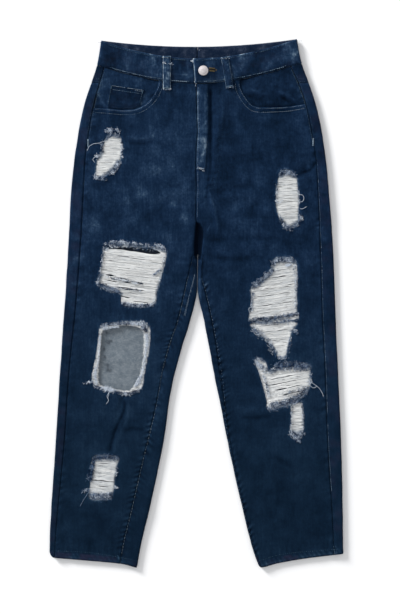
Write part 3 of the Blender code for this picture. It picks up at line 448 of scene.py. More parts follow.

# Creases: points, width, height (a ridge is positive, a trough negative)
CREASES = (
    ([(-43.6, 366.8), (-35.0, 351.3), (-26.4, 335.8)], 9.0, -0.8),
    ([(-124.4, 282.5), (-105.5, 275.6), (-83.2, 275.6), (-60.8, 285.9)], 4.5, -0.75),
    ([(-121.0, 289.4), (-96.9, 283.5), (-66.0, 292.8)], 4.0, 0.45),
    ([(-62.5, 203.4), (-40.2, 199.9), (-17.8, 203.4)], 4.5, -0.7),
    ([(21.8, 189.6), (57.9, 196.5), (106.0, 203.4)], 5.0, -0.8),
    ([(26.9, 177.6), (61.3, 184.5), (92.3, 187.9)], 4.0, 0.45),
    ([(20.0, 108.8), (66.5, 114.0), (112.9, 112.2), (161.1, 107.1)], 5.0, -0.75),
    ([(168.0, 115.7), (209.2, 108.8)], 4.0, -0.6),
    ([(-83.2, 110.5), (-45.3, 107.1), (-0.6, 112.2)], 5.0, -0.65),
    ([(16.6, 83.0), (61.3, 76.1), (116.4, 81.3)], 4.5, -0.7),
    ([(16.6, 71.0), (57.9, 64.1), (92.3, 65.8)], 4.0, 0.4),
    ([(-48.8, 81.3), (-28.1, 76.1), (-7.5, 83.0)], 4.0, -0.55),
    ([(71.6, -195.7), (102.6, -197.4), (135.3, -192.2)], 4.5, -0.8),
    ([(61.3, -173.3), (85.4, -181.9), (112.9, -180.2)], 4.5, 0.5),
    ([(130.1, -262.7), (149.0, -271.3), (169.7, -283.4)], 4.5, -0.8),
    ([(85.4, -255.8), (106.0, -266.2), (123.2, -269.6)], 4.5, -0.5),
    ([(-129.6, -219.7), (-107.2, -216.3), (-81.4, -219.7)], 4.0, -0.8),
    ([(173.6, 219.4), (186.9, 226.6), (198.4, 230.2), (204.3, 246.0)], 2.8, -1.2),
    ([(176.6, 210.3), (192.0, 217.2), (205.8, 220.6)], 4.0, 0.5),
    ([(-125.5, -161.2), (-139.6, -219.7), (-149.9, -255.8)], 4.6, 0.75),
    ([(-124.4, -163.0), (-125.1, -187.0), (-139.9, -220.6), (-150.2, -259.3)], 1.9, -1.1),
    ([(51.0, 354.8), (42.4, 311.8), (31.0, 261.9)], 4.5, 0.8),
    ([(21.2, 199.9), (25.2, 177.6), (30.4, 160.4), (37.2, 120.8)], 2.6, 0.8),
    ([(15.9, 194.8), (19.2, 174.2), (24.3, 153.5), (30.4, 119.1)], 2.6, -0.8),
    ([(-14.4, 153.5), (-45.3, 167.3), (-83.2, 172.4)], 5.0, -0.55),
    ([(-10.9, 132.9), (-45.3, 141.5), (-79.7, 143.2)], 4.0, 0.45),
    ([(44.1, 153.5), (75.1, 162.1), (112.9, 163.8)], 5.0, -0.55),
    ([(44.1, 132.9), (85.4, 141.5), (123.2, 139.8)], 4.0, 0.45),
    ([(-165.7, 194.8), (-139.9, 187.9), (-107.2, 191.3)], 5.0, -0.5),
    ([(-172.6, 156.9), (-134.8, 148.3), (-96.9, 153.5)], 6.0, -0.55),
    ([(-96.9, 229.2), (-69.4, 218.9), (-35.0, 225.8)], 6.0, -0.5),
    ([(37.2, 249.8), (68.2, 241.2), (112.9, 249.8)], 6.0, -0.5),
    ([(112.9, 277.4), (137.0, 267.0), (171.4, 275.6)], 5.0, -0.5),
    ([(-45.3, -15.0), (-66.0, -21.9), (-83.2, -16.8)], 4.5, -0.6),
    ([(-48.8, -56.3), (-62.5, -66.7), (-76.3, -68.4)], 4.0, -0.6),
    ([(30.4, -25.4), (54.4, -32.2), (85.4, -25.4)], 5.0, -0.6),
    ([(33.8, -70.1), (61.3, -80.4), (102.6, -73.5)], 5.0, -0.6),
    ([(171.4, -46.0), (192.0, -56.3), (212.7, -49.4)], 4.5, -0.5),
    ([(198.9, -163.0), (209.2, -187.0), (212.7, -218.0)], 4.5, -0.5),
    ([(-217.3, -166.4), (-196.7, -180.2), (-172.6, -173.3)], 4.5, -0.5),
    ([(-131.3, -286.8), (-117.6, -300.6), (-100.4, -298.9)], 4.0, -0.55),
    ([(-134.8, -359.1), (-148.5, -372.8), (-172.6, -376.2)], 5.0, -0.5),
    ([(-217.3, -372.8), (-193.2, -386.6), (-158.8, -383.1)], 5.0, -0.5),
    ([(92.3, -317.8), (123.2, -328.1), (161.1, -321.2)], 5.0, -0.5),
    ([(171.4, -352.2), (195.5, -364.2), (226.4, -359.1)], 5.0, -0.55),
    ([(112.9, -372.8), (137.0, -384.8), (164.5, -381.4)], 5.0, -0.5),
    ([(140.4, 357.3), (152.5, 351.3), (164.5, 342.7)], 2.6, -0.9),
    ([(137.0, 366.8), (157.6, 358.2), (174.8, 346.1)], 3.4, 0.7),
    ([(85.4, 370.2), (106.0, 361.6), (130.1, 356.5)], 3.4, 0.6),
    ([(92.3, 354.8), (112.9, 347.9), (137.0, 346.1)], 3.4, -0.7),
    ([(-134.8, -11.6), (-129.6, -21.9), (-131.3, -32.2)], 2.4, -0.9),
    ([(-119.3, -9.9), (-115.8, -20.2), (-119.3, -30.5)], 2.4, -0.8),
    ([(-103.8, -11.6), (-102.1, -18.5), (-103.8, -28.8)], 2.2, -0.7),
    ([(-152.0, 5.6), (-145.1, -9.9), (-148.5, -25.4)], 2.8, -0.7),
    ([(75.1, 315.2), (112.9, 304.9), (161.1, 313.5)], 6.0, -0.5),
    ([(-158.8, 311.8), (-127.9, 303.1), (-86.6, 311.8)], 6.0, -0.5),
)
# Lines with puckers: points, pitch, height, reach, slant of the puckers
PUCKERS = (
    (OUTSEAM_L, 15.0, 0.50, 7.0, 0.3), (OUTSEAM_R, 16.0, 0.55, 8.0, -0.3),
    (LINE_INSEAM_L, 10.5, 0.62, 7.5, -0.5), (LINE_INSEAM_R, 10.5, 0.62, 7.5, 0.5),
    (INSEAM_L, 11.0, 0.40, 5.0, -0.3), (INSEAM_R, 11.0, 0.40, 5.0, 0.3),
    (WAIST_LINE, 9.0, 0.30, 4.5, 0.2), (LINE_FLY, 11.0, 0.30, 4.0, 0.0), (LINE_J, 12.0, 0.30, 4.0, 0.2),
    (POCKET_L2, 9.0, 0.25, 4.0, 0.0), (POCKET_R2, 9.0, 0.25, 4.0, 0.0),
)
# Places where the dye is worn (positive) or darker (negative): x, y, radius x, radius y, amount
WORN = (
    (-79.7, 169.0) + (62.0, 95.0, 0.16), (106.0, 169.0) + (66.0, 90.0, 0.06), (-110.7, 122.5) + (55.0, 30.0, 0.07),
    (-148.5, -407.2) + (90.0, 60.0, -0.10), (-182.9, -218.0) + (50.0, 110.0, -0.04), (161.1, -372.8) + (90.0, 70.0, -0.05),
    (-134.8, -71.8) + (60.0, 75.0, 0.05), (126.7, -54.6) + (60.0, 80.0, 0.06), (-79.7, 263.6) + (60.0, 60.0, 0.05),
    (-41.9, 298.0) + (30.0, 90.0, 0.06), (-191.5, 194.8) + (24.0, 150.0, 0.05), (216.1, 126.0) + (20.0, 170.0, 0.07),
    (-210.4, 108.8) + (26.0, 120.0, 0.09), (-124.4, 181.0) + (40.0, 24.0, 0.05), (-83.2, 132.9) + (28.0, 50.0, -0.13),
    (33.8, 119.1) + (20.0, 60.0, -0.12), (-19.5, 156.9) + (13.0, 60.0, 0.09), (-200.1, 311.8) + (16.0, 34.0, 0.09),
    (112.9, 194.8) + (14.0, 110.0, 0.07), (186.9, 328.9) + (14.0, 40.0, 0.12), (-76.3, -228.3) + (18.0, 60.0, 0.08),
    (-66.0, -101.0) + (12.0, 60.0, 0.06), (88.8, -228.3) + (24.0, 36.0, -0.07), (32.1, -169.8) + (12.0, 34.0, 0.07),
    (186.9, -364.2) + (60.0, 56.0, -0.04), (-122.7, -390.0) + (14.0, 60.0, 0.07), (-170.9, 150.1) + (26.0, 30.0, 0.10),
    (-115.8, 170.7) + (26.0, 13.0, 0.04), (-210.4, 71.0) + (22.0, 110.0, 0.08), (212.7, 5.6) + (12.0, 60.0, 0.07),
    (-69.4, 194.8) + (13.0, 14.0, -0.12), (-19.5, 117.4) + (10.0, 60.0, 0.05), (33.8, 122.5) + (13.0, 28.0, -0.06),
    (-182.9, -372.8) + (60.0, 70.0, -0.07), (178.3, -338.4) + (70.0, 90.0, -0.06), (6.3, 100.2) + (26.0, 70.0, -0.06),
    (-88.3, -218.0) + (30.0, 60.0, -0.05), (75.1, -235.2) + (36.0, 90.0, -0.04), (-131.3, 349.6) + (70.0, 26.0, -0.02),
    (135.3, 353.0) + (70.0, 26.0, -0.07), (205.8, 315.2) + (20.0, 60.0, -0.04), (-217.3, -97.6) + (16.0, 130.0, -0.03),
)
# Lines of tone: worn edges and lines, and crease ridges lighter, worn and with painted highlight, where the amount is
# positive; troughs of creases and folds darkened with painted shade where it is negative: points, width, amount
WORN_AND_PAINTED_LIGHT_LINES = (
    ([(15.2, 366.8), (16.3, 315.2), (15.6, 287.7)], 4.0, 0.24),
    ([(12.1, 291.1), (15.9, 270.5), (12.1, 256.7), (7.3, 237.8)], 4.6, 0.34),
    ([(7.0, 370.2), (7.0, 315.2), (6.6, 246.4)], 4.6, 0.14),
    ([(2.5, 370.2), (1.8, 298.0), (1.5, 236.1)], 1.7, 0.24),
    ([(1.5, 225.8), (0.9, 186.2), (0.4, 143.2)], 1.5, 0.20),
    ([(9.0, 222.3), (8.3, 186.2), (8.0, 153.5)], 6.0, 0.10),
    ([(7.0, 231.6), (14.2, 231.6)], 1.6, 0.3),
    ([(23.8, 373.7), (24.9, 298.0), (23.5, 236.1), (17.3, 191.3)], 2.6, -0.22),
    ([(20.4, 199.9), (25.2, 181.0), (30.9, 167.3), (34.8, 146.6), (37.6, 126.0)], 1.8, 0.17),
    ([(26.6, 140.6), (20.7, 127.7), (14.5, 119.1)], 1.3, 0.24),
    ([(12.5, 117.4), (11.1, 100.2), (8.7, 86.4)], 1.2, 0.14),
    ([(140.4, 357.3), (152.5, 351.3), (164.5, 342.7)], 2.4, -0.20), ([(135.3, 366.8), (157.6, 357.3), (174.8, 344.4)], 2.6, 0.20),
    ([(85.4, 371.9), (106.0, 363.4), (130.1, 358.2)], 3.0, 0.15), ([(92.3, 356.5), (112.9, 347.9), (137.0, 344.4)], 3.0, 0.12),
    ([(82.0, 361.6), (102.6, 351.3), (126.7, 339.3)], 2.4, -0.16), ([(154.2, 377.1), (171.4, 368.5), (185.2, 356.5)], 3.0, 0.12),
    ([(-170.9, 363.4), (-158.8, 342.7), (-148.5, 327.2)], 3.0, 0.12), ([(-134.8, 349.6), (-110.7, 342.7), (-90.0, 351.3)], 3.0, 0.12),
    ([(-114.1, 215.4), (-79.7, 184.5), (-35.0, 163.8)], 6.0, 0.06), ([(-117.6, 194.8), (-83.2, 156.9), (-41.9, 129.4)], 6.0, -0.05),
    ([(-131.3, 163.8), (-96.9, 136.3), (-48.8, 112.2)], 6.0, 0.06), ([(44.1, 153.5), (75.1, 167.3), (112.9, 184.5)], 6.0, 0.05),
    ([(-124.4, 280.8), (-105.5, 274.8), (-83.2, 274.8), (-60.8, 284.2)], 4.0, -0.10),
    ([(-121.0, 287.7), (-96.9, 282.5), (-66.0, 291.1)], 3.0, 0.10),
    ([(173.6, 219.4), (186.9, 226.6), (198.4, 230.2), (204.3, 246.0)], 3.4, -0.28),
    ([(-124.4, -163.0), (-125.1, -187.0), (-139.9, -220.6), (-150.2, -259.3)], 3.0, -0.30),
    ([(-117.6, -169.8), (-118.2, -193.9), (-132.2, -228.3), (-143.4, -262.7)], 3.6, 0.13),
    ([(21.8, 189.6), (57.9, 196.5), (106.0, 203.4)], 4.0, -0.10), ([(20.0, 108.8), (112.9, 112.2), (161.1, 107.1)], 4.0, -0.09),
    ([(16.6, 83.0), (61.3, 76.1), (116.4, 81.3)], 4.0, -0.09), ([(71.6, -195.7), (102.6, -197.4), (135.3, -192.2)], 4.0, -0.10),
    ([(130.1, -262.7), (149.0, -271.3), (169.7, -283.4)], 4.0, -0.10), ([(-129.6, -219.7), (-107.2, -216.3), (-81.4, -219.7)], 4.0, -0.10),
    ([(-234.5, -435.6), (-164.0, -442.5), (-127.9, -445.9), (-103.8, -451.9)], 2.6, 0.20),
    ([(112.2, -450.9), (138.7, -444.7), (186.0, -436.1), (250.5, -428.2)], 2.6, 0.20),
)


def puckered(line, pitch, height, reach, slant, x, y):
    at, d, s, total = near_line(line, x, y, reach * 3.0)
    wave = s + slant * np.abs(d)
    seed = int(pitch * 7 + len(line) + abs(line[0][0]))
    wander = noise(wave / 37.0, 0.0, seed + 5) * 0.9
    size = 0.65 + 0.45 * noise(wave / 21.0, np.sign(d) * 3.0, seed + 9)
    wave = np.sin(2.0 * pi * (wave / pitch + wander + np.sign(d) * 0.08))
    ends = smooth(s / 12.0) * smooth((total - s) / 12.0)
    return at, wave * size * height * np.exp(-(d / reach) ** 2) * ends, d, s


def make_fields(step=1.0):
    """The front's relief and its tone over the plan, worn places with painted highlight and painted shade, so that each
    piece can look them up.
    """
    xs, ys = np.arange(-272.0, 272.1, step), np.arange(-474.0, 474.1, step)
    x, y = (a.ravel() for a in np.meshgrid(xs, ys, indexing="ij"))
    high = 0.55 * noise(x / 46.0, y / 58.0, 3, 2) + 0.34 * noise(x / 15.0, y / 20.0, 5, 2)
    high += 0.45 * (np.abs(noise(x / 40.0, y / 26.0, 7)) - 0.4) + 0.16 * noise(x / 6.5, y / 8.0, 9)
    used = smooth((y + 40.0) / 120.0)
    tone = 0.07 * noise(x / 60.0, y / 80.0, 11, 2) + (0.045 + 0.065 * used) * noise(x / 11.0, y / 19.0, 13, 3, 0.7)
    tone += (0.025 + 0.02 * used) * noise(x / 26.0, y / 7.0, 17, 2) + 0.05 * used * noise(x / 22.0, y / 30.0, 19, 2)
    # a crease's tone follows its height: a ridge is lighter, worn and with painted highlight, and a trough is darker
    # with painted shade
    for line, width, size in CREASES:
        line = rounded(line, 6.0, False)
        at, d, s, total = near_line(line, x, y, width * 3.0)
        ends = smooth(s / (0.35 * total)) * smooth((total - s) / (0.35 * total))
        uneven = 0.75 + 0.35 * noise(s / 14.0, width, 23)
        high[at] += 1.25 * size * uneven * ends * np.exp(-(d / width) ** 2)
        tone[at] += 0.10 * size * uneven * ends * np.exp(-(d / width) ** 2)
    for line, pitch, height, reach, slant in PUCKERS:
        at, wave, d, s = puckered(line, pitch, height, reach, slant, x, y)
        high[at] += wave
        tone[at] += wave / height * (0.34 if height > 0.6 else 0.12 if height > 0.35 else 0.07)
        tone[at] -= 0.10 * np.exp(-(d / 1.5) ** 2)
    for side in (-1, 1):
        mine = np.nonzero((x * side > 60.0) & (y < -405.0))[0]
        up = y[mine] - hem(side, x[mine])
        slip = x[mine] + 0.7 * up + 3.0 * noise(x[mine] / 30.0, 0.0, 31 + side)
        rope = np.sin(2.0 * pi * slip / 8.6) * smooth(up / 2.0) * smooth((HEM_DEPTH + 1.0 - up) / 3.0)
        high[mine] += 0.34 * rope + 0.55 * smooth((HEM_DEPTH - up) / 2.0)
        band = smooth((HEM_DEPTH - up) / 2.0)
        tone[mine] += 0.10 * rope + 0.08 * band * (0.5 + noise(x[mine] / 5.0, y[mine] / 6.0, 37 + side, 3))
        ribs = np.sin(2.0 * pi * (x[mine] + 2.5 * noise(x[mine] / 24.0, y[mine] / 30.0, 41)) / 9.5)
        fade = smooth((up - HEM_DEPTH) / 3.0) * smooth((46.0 - up) / 34.0)
        high[mine] += 0.16 * ribs * fade
        tone[mine] += 0.04 * ribs * fade
    for line in (POCKET_L2, POCKET_R2, LINE_INSEAM_L, LINE_INSEAM_R, LINE_J):
        at, d, s, total = near_line(rounded(line, 6.0, False), x, y, 8.0)
        high[at] -= 0.22 * np.exp(-(d / 1.4) ** 2)
    for cx, cy, rx, ry, amount in WORN:
        q = ((x - cx) / rx) ** 2 + ((y - cy) / ry) ** 2
        tone += amount * np.exp(-q) * (0.8 + 0.5 * noise(x / 20.0, y / 28.0, 47, 2))
    # worn lines and painted highlight lighten the tone; painted shade darkens the crease troughs
    for line, width, amount in WORN_AND_PAINTED_LIGHT_LINES:
        line = rounded(line, 6.0, False)
        at, d, s, total = near_line(line, x, y, width * 3.0)
        ends = smooth(s / 9.0) * smooth((total - s) / 9.0)
        tone[at] += amount * ends * np.exp(-(d / width) ** 2) * (0.8 + 0.45 * noise(s / 7.0, d / 5.0, 53, 2))
    for name, side, outline in list(RIPS) + [("knee_fray_l", -1, RIP_L3)]:
        at, d, s, total = near_line(list(outline) + [outline[0]], x, y, 26.0)
        tone[at] += 0.10 * np.exp(-(np.abs(d) / 7.0) ** 2) * (0.7 + 0.6 * noise(x[at] / 6.0, y[at] / 6.0, 59, 2))
        high[at] += 0.30 * np.exp(-(np.abs(d) / 5.0) ** 2) * noise(x[at] / 9.0, y[at] / 9.0, 61, 2)
    # the fold between the thighs: its deep shadow is painted into the tone, and its cloth sinks
    y_in = np.clip(y, 80.0, 142.0)
    cleft = smooth((x - VOID_L(y_in) + 0.8) / 1.6) * smooth((VOID_R(y_in) + 0.8 - x) / 1.6)
    cleft *= smooth((141.0 - y) / 7.0) * smooth((y - 76.0) / 4.0)
    tone -= 1.1 * cleft
    high -= 1.1 * cleft
    shape = (len(xs), len(ys))
    high = np.maximum(high, -1.9)
    return (xs[0], ys[0], step), high.reshape(shape), tone.reshape(shape)


FIELD, HIGH, TONE = make_fields()


def looked_up(grid, x, y):
    x0, y0, step = FIELD
    u = np.clip((np.asarray(x, float) - x0) / step, 0.0, grid.shape[0] - 1.001)
    v = np.clip((np.asarray(y, float) - y0) / step, 0.0, grid.shape[1] - 1.001)
    i, j = u.astype(int), v.astype(int)
    a, b = u - i, v - j
    return ((grid[i, j] * (1 - a) + grid[i + 1, j] * a) * (1 - b)
            + (grid[i, j + 1] * (1 - a) + grid[i + 1, j + 1] * a) * b)


def top(x, y):
    """Height of the front's outer face, with its creases. They fade where the cloth turns down."""
    x, y = np.asarray(x, float), np.asarray(y, float)
    d = np.minimum(x - AT["out_l"](y), AT["out_r"](y) - x)
    inner = np.where(x < (AT["in_l"](y) + AT["in_r"](y)) / 2, AT["in_l"](y) - x, x - AT["in_r"](y))
    fade = smooth(d / 5.0) * np.where(y < CROTCH, smooth(inner / 4.0), 1.0)
    return crown(x, y) + looked_up(HIGH, x, y) * fade


def underside(x, y):
    """How far the back is dented, off the floor."""
    d = np.minimum(x - AT["out_l"](y), AT["out_r"](y) - x)
    dents = np.maximum(0.0, noise(x / 38.0, y / 26.0, 71, 2) - 0.05) * 1.1
    dents += np.maximum(0.0, noise(x / 60.0, y / 11.0, 73, 2) - 0.15) * 1.0
    return np.minimum(1.1, dents) * smooth((d - 6.0) / 12.0)


# ------------------------------------------------------------------ meshes
def mesh_piece(name, verts, polys, materials, index=None, uv=None, data=None, smooth_faces=True):
    mesh = bpy.data.meshes.new(name)
    mesh.vertices.add(len(verts))
    mesh.vertices.foreach_set("co", (np.asarray(verts) * 0.001).astype(np.float32).ravel())
    corners = np.concatenate([p.ravel() for p in polys]).astype(np.int32)
    sizes = np.concatenate([np.full(len(p), p.shape[1], np.int32) for p in polys])
    mesh.loops.add(len(corners))
    mesh.loops.foreach_set("vertex_index", corners)
    mesh.polygons.add(len(sizes))
    mesh.polygons.foreach_set("loop_start", np.concatenate([[0], np.cumsum(sizes)[:-1]]).astype(np.int32))
    mesh.update(calc_edges=True)
    if uv is not None:
        mesh.uv_layers.new(name="OFBake").data.foreach_set("uv", np.asarray(uv, np.float32).ravel())
    for key, values in (data or {}).items():
        mesh.attributes.new(key, "FLOAT", "POINT").data.foreach_set("value", np.asarray(values, np.float32))
    for m in materials:
        mesh.materials.append(m)
    if index is not None:
        mesh.polygons.foreach_set("material_index", np.asarray(index, np.int32))
    mesh.validate()
    if smooth_faces:
        mesh.shade_smooth()
    obj = bpy.data.objects.new(name, mesh)
    bpy.context.scene.collection.objects.link(obj)
    return obj


def vertex_normals(points, faces):
    normals = np.zeros(points.shape)
    for f in faces:
        n = np.cross(points[f[:, 1]] - points[f[:, 0]], points[f[:, -1]] - points[f[:, 0]])
        for k in range(f.shape[1]):
            np.add.at(normals, f[:, k], n)
    return normals / np.maximum(1e-12, np.linalg.norm(normals, axis=1))[:, None]


def border(faces, count):
    """Directed edges that have no partner."""
    a = np.concatenate([f.ravel() for f in faces])
    b = np.concatenate([np.roll(f, -1, 1).ravel() for f in faces])
    code, back = a.astype(np.int64) * count + b, b.astype(np.int64) * count + a
    alone = ~np.isin(code, back)
    return a[alone], b[alone]


def laid_out(chart, faces, count, rims, walls):
    """Texture coordinates: the outer face in two halves, the inner face smaller, under it."""
    low, high = chart.min(0), chart.max(0)
    w, h = high - low
    tall = h > 1.6 * w
    gap = 8.0 + 0.01 * max(w, h)
    middle = (low[1] + high[1]) / 2
    if tall:
        scale = 0.98 / max(2 * w + 3 * gap, 0.75 * h + 3 * gap)
    else:
        scale = 0.98 / max(w + 2 * gap, 1.5 * h + 3 * gap)
    out = []
    for size in (1.0, 0.5):
        base = np.array([gap, gap]) if size == 1.0 else np.array([gap, (h / 2 if tall else h) + 2 * gap])
        for f in faces:
            p = chart[f] - low
            if tall:
                upper = (chart[f][:, :, 1].mean(1) > middle)[:, None]
                p[:, :, 0] += np.where(upper, w + gap, 0.0)
                p[:, :, 1] -= np.where(upper, h / 2, 0.0)
            if size < 1.0:
                p = p[:, ::-1]
            out.append((base + p * size).reshape(-1, 2))
    a, b = rims
    run = chart[b] - chart[a]
    side = np.stack([run[:, 1], -run[:, 0]], 1) / np.maximum(1e-9, np.hypot(run[:, 0], run[:, 1]))[:, None]
    wall = walls[a][:, None]
    p = np.stack([chart[b] + 0.2 * side, chart[a] + 0.2 * side, chart[a] + side * wall, chart[b] + side * wall], 1)
    p = p - low
    if tall:
        upper = ((chart[a][:, 1] + chart[b][:, 1]) / 2 > middle)[:, None]
        p[:, :, 0] += np.where(upper, w + gap, 0.0)
        p[:, :, 1] -= np.where(upper, h / 2, 0.0)
    out.append((np.array([gap, gap]) + p).reshape(-1, 2))
    return np.concatenate(out) * scale


def violet_at(x, y):
    """Where the dye has a purple cast: on the hems' folds and outside the outseams."""
    out = np.zeros(np.shape(x))
    for side in (-1, 1):
        low = smooth((HEM_DEPTH + 1.0 - (y - hem(side, x))) / 3.0) * (x * side > 60.0) * (y < -405.0)
        strip = smooth((x - side_of("seam", side, y)) * side / 4.0) * (x * side > 0.0) * (y < 395.0)
        out = np.maximum(out, np.maximum(low, 0.45 * strip))
    return out * np.clip(0.22 + 0.95 * noise(x / 13.0, y / 11.0, 401, 2), 0.0, 0.75)


def shell(name, points, faces, walls, materials, tone, chart, tone_inside=None, soft=0.3):
    """A thin wall of cloth: an outer face, the same face moved in, and its rim with softened edges."""
    points, walls = np.asarray(points, float), np.broadcast_to(np.asarray(walls, float), (len(points),)).copy()
    normals = vertex_normals(points, faces)
    n = len(points)
    a, b = border(faces, n)
    edge = np.zeros(n)
    edge[a] = 1.0
    edge[b] = 1.0
    outer = points - normals * (walls * soft * edge)[:, None]
    inner = points - normals * (walls * (1.0 - soft * edge))[:, None]
    polys = list(faces) + [f[:, ::-1] + n for f in faces] + [np.stack([b, a, a + n, b + n], 1)]
    sizes = [len(p) for p in polys]
    k = len(faces)
    index = np.concatenate([np.zeros(sum(sizes[:k])), np.ones(sum(sizes[k:2 * k])), np.zeros(sizes[-1])])
    uv = laid_out(chart, faces, n, (a, b), walls)
    tone = np.broadcast_to(np.asarray(tone, float), (n,))
    tone_inside = np.broadcast_to(np.asarray(1.0 if tone_inside is None else tone_inside, float), (n,))
    violet = violet_at(points[:, 0], points[:, 1])
    return mesh_piece(name, np.concatenate([outer, inner]), polys, materials, index, uv,
                      {"tone": np.concatenate([tone, tone_inside]), "violet": np.concatenate([violet, 0.0 * violet])})


def plan_faces(outline, holes, grid, more=()):
    """Triangles over a plan outline with holes."""
    loops = [list(outline)] + [list(h) for h in holes]
    fixed, edges = [], []
    for loop in loops:
        first = len(fixed)
        fixed += [tuple(p) for p in loop]
        edges += [(first + i, first + (i + 1) % len(loop)) for i in range(len(loop))]
    p = np.array(loops[0])
    xs = np.arange(p[:, 0].min() + grid * 0.5, p[:, 0].max(), grid)
    ys = np.arange(p[:, 1].min() + grid * 0.5, p[:, 1].max(), grid * 0.87)
    x, y = np.meshgrid(xs, ys)
    x = x + (np.arange(len(ys)) % 2)[:, None] * grid * 0.5
    x, y = x.ravel(), y.ravel()
    keep = inside(loops[0], x, y)
    for loop in loops[1:]:
        keep &= ~inside(loop, x, y)
    for loop in loops:
        for (x0, y0), (x1, y1) in zip(loop, loop[1:] + loop[:1]):
            reach = grid
            near = np.nonzero((x > min(x0, x1) - reach) & (x < max(x0, x1) + reach)
                              & (y > min(y0, y1) - reach) & (y < max(y0, y1) + reach))[0]
            lx, ly = x1 - x0, y1 - y0
            t = np.clip(((x[near] - x0) * lx + (y[near] - y0) * ly) / max(1e-9, lx * lx + ly * ly), 0, 1)
            keep[near] &= np.hypot(x[near] - x0 - t * lx, y[near] - y0 - t * ly) > grid * 0.45
    spots = fixed + list(zip(x[keep].tolist(), y[keep].tolist()))
    verts, _, tris, *_ = delaunay_2d_cdt([Vector(q) for q in spots], edges, [], 0, 1e-6)
    v = np.array([(q.x, q.y) for q in verts])
    f = np.array([t for t in tris if len(t) == 3], int)
    c = v[f].mean(1)
    keep = inside(loops[0], c[:, 0], c[:, 1])
    for loop in loops[1:]:
        keep &= ~inside(loop, c[:, 0], c[:, 1])
    f = f[keep]
    area = np.cross(v[f[:, 1]] - v[f[:, 0]], v[f[:, 2]] - v[f[:, 0]])
    f = np.where((area < 0)[:, None], f[:, ::-1], f)[np.abs(area) > 1e-6]
    used, back = np.unique(f, return_inverse=True)
    return v[used], back.reshape(f.shape)


# the front's tone: worn places, with painted highlight and painted shade
def wear_and_painted_light(x, y):
    return looked_up(TONE, x, y)


def plan_piece(name, outline, height, wall, materials, holes=(), grid=2.0, tone=None, tone_inside=None, soft=0.3):
    v, f = plan_faces(outline, holes, grid)
    x, y = v[:, 0], v[:, 1]
    points = np.stack([x, y, height(x, y)], 1)
    walls = wall(x, y) if callable(wall) else wall
    shade = tone(x, y) if callable(tone) else 0.4 if tone is None else tone
    return shell(name, points, [f], walls, materials, shade, v, tone_inside, soft)


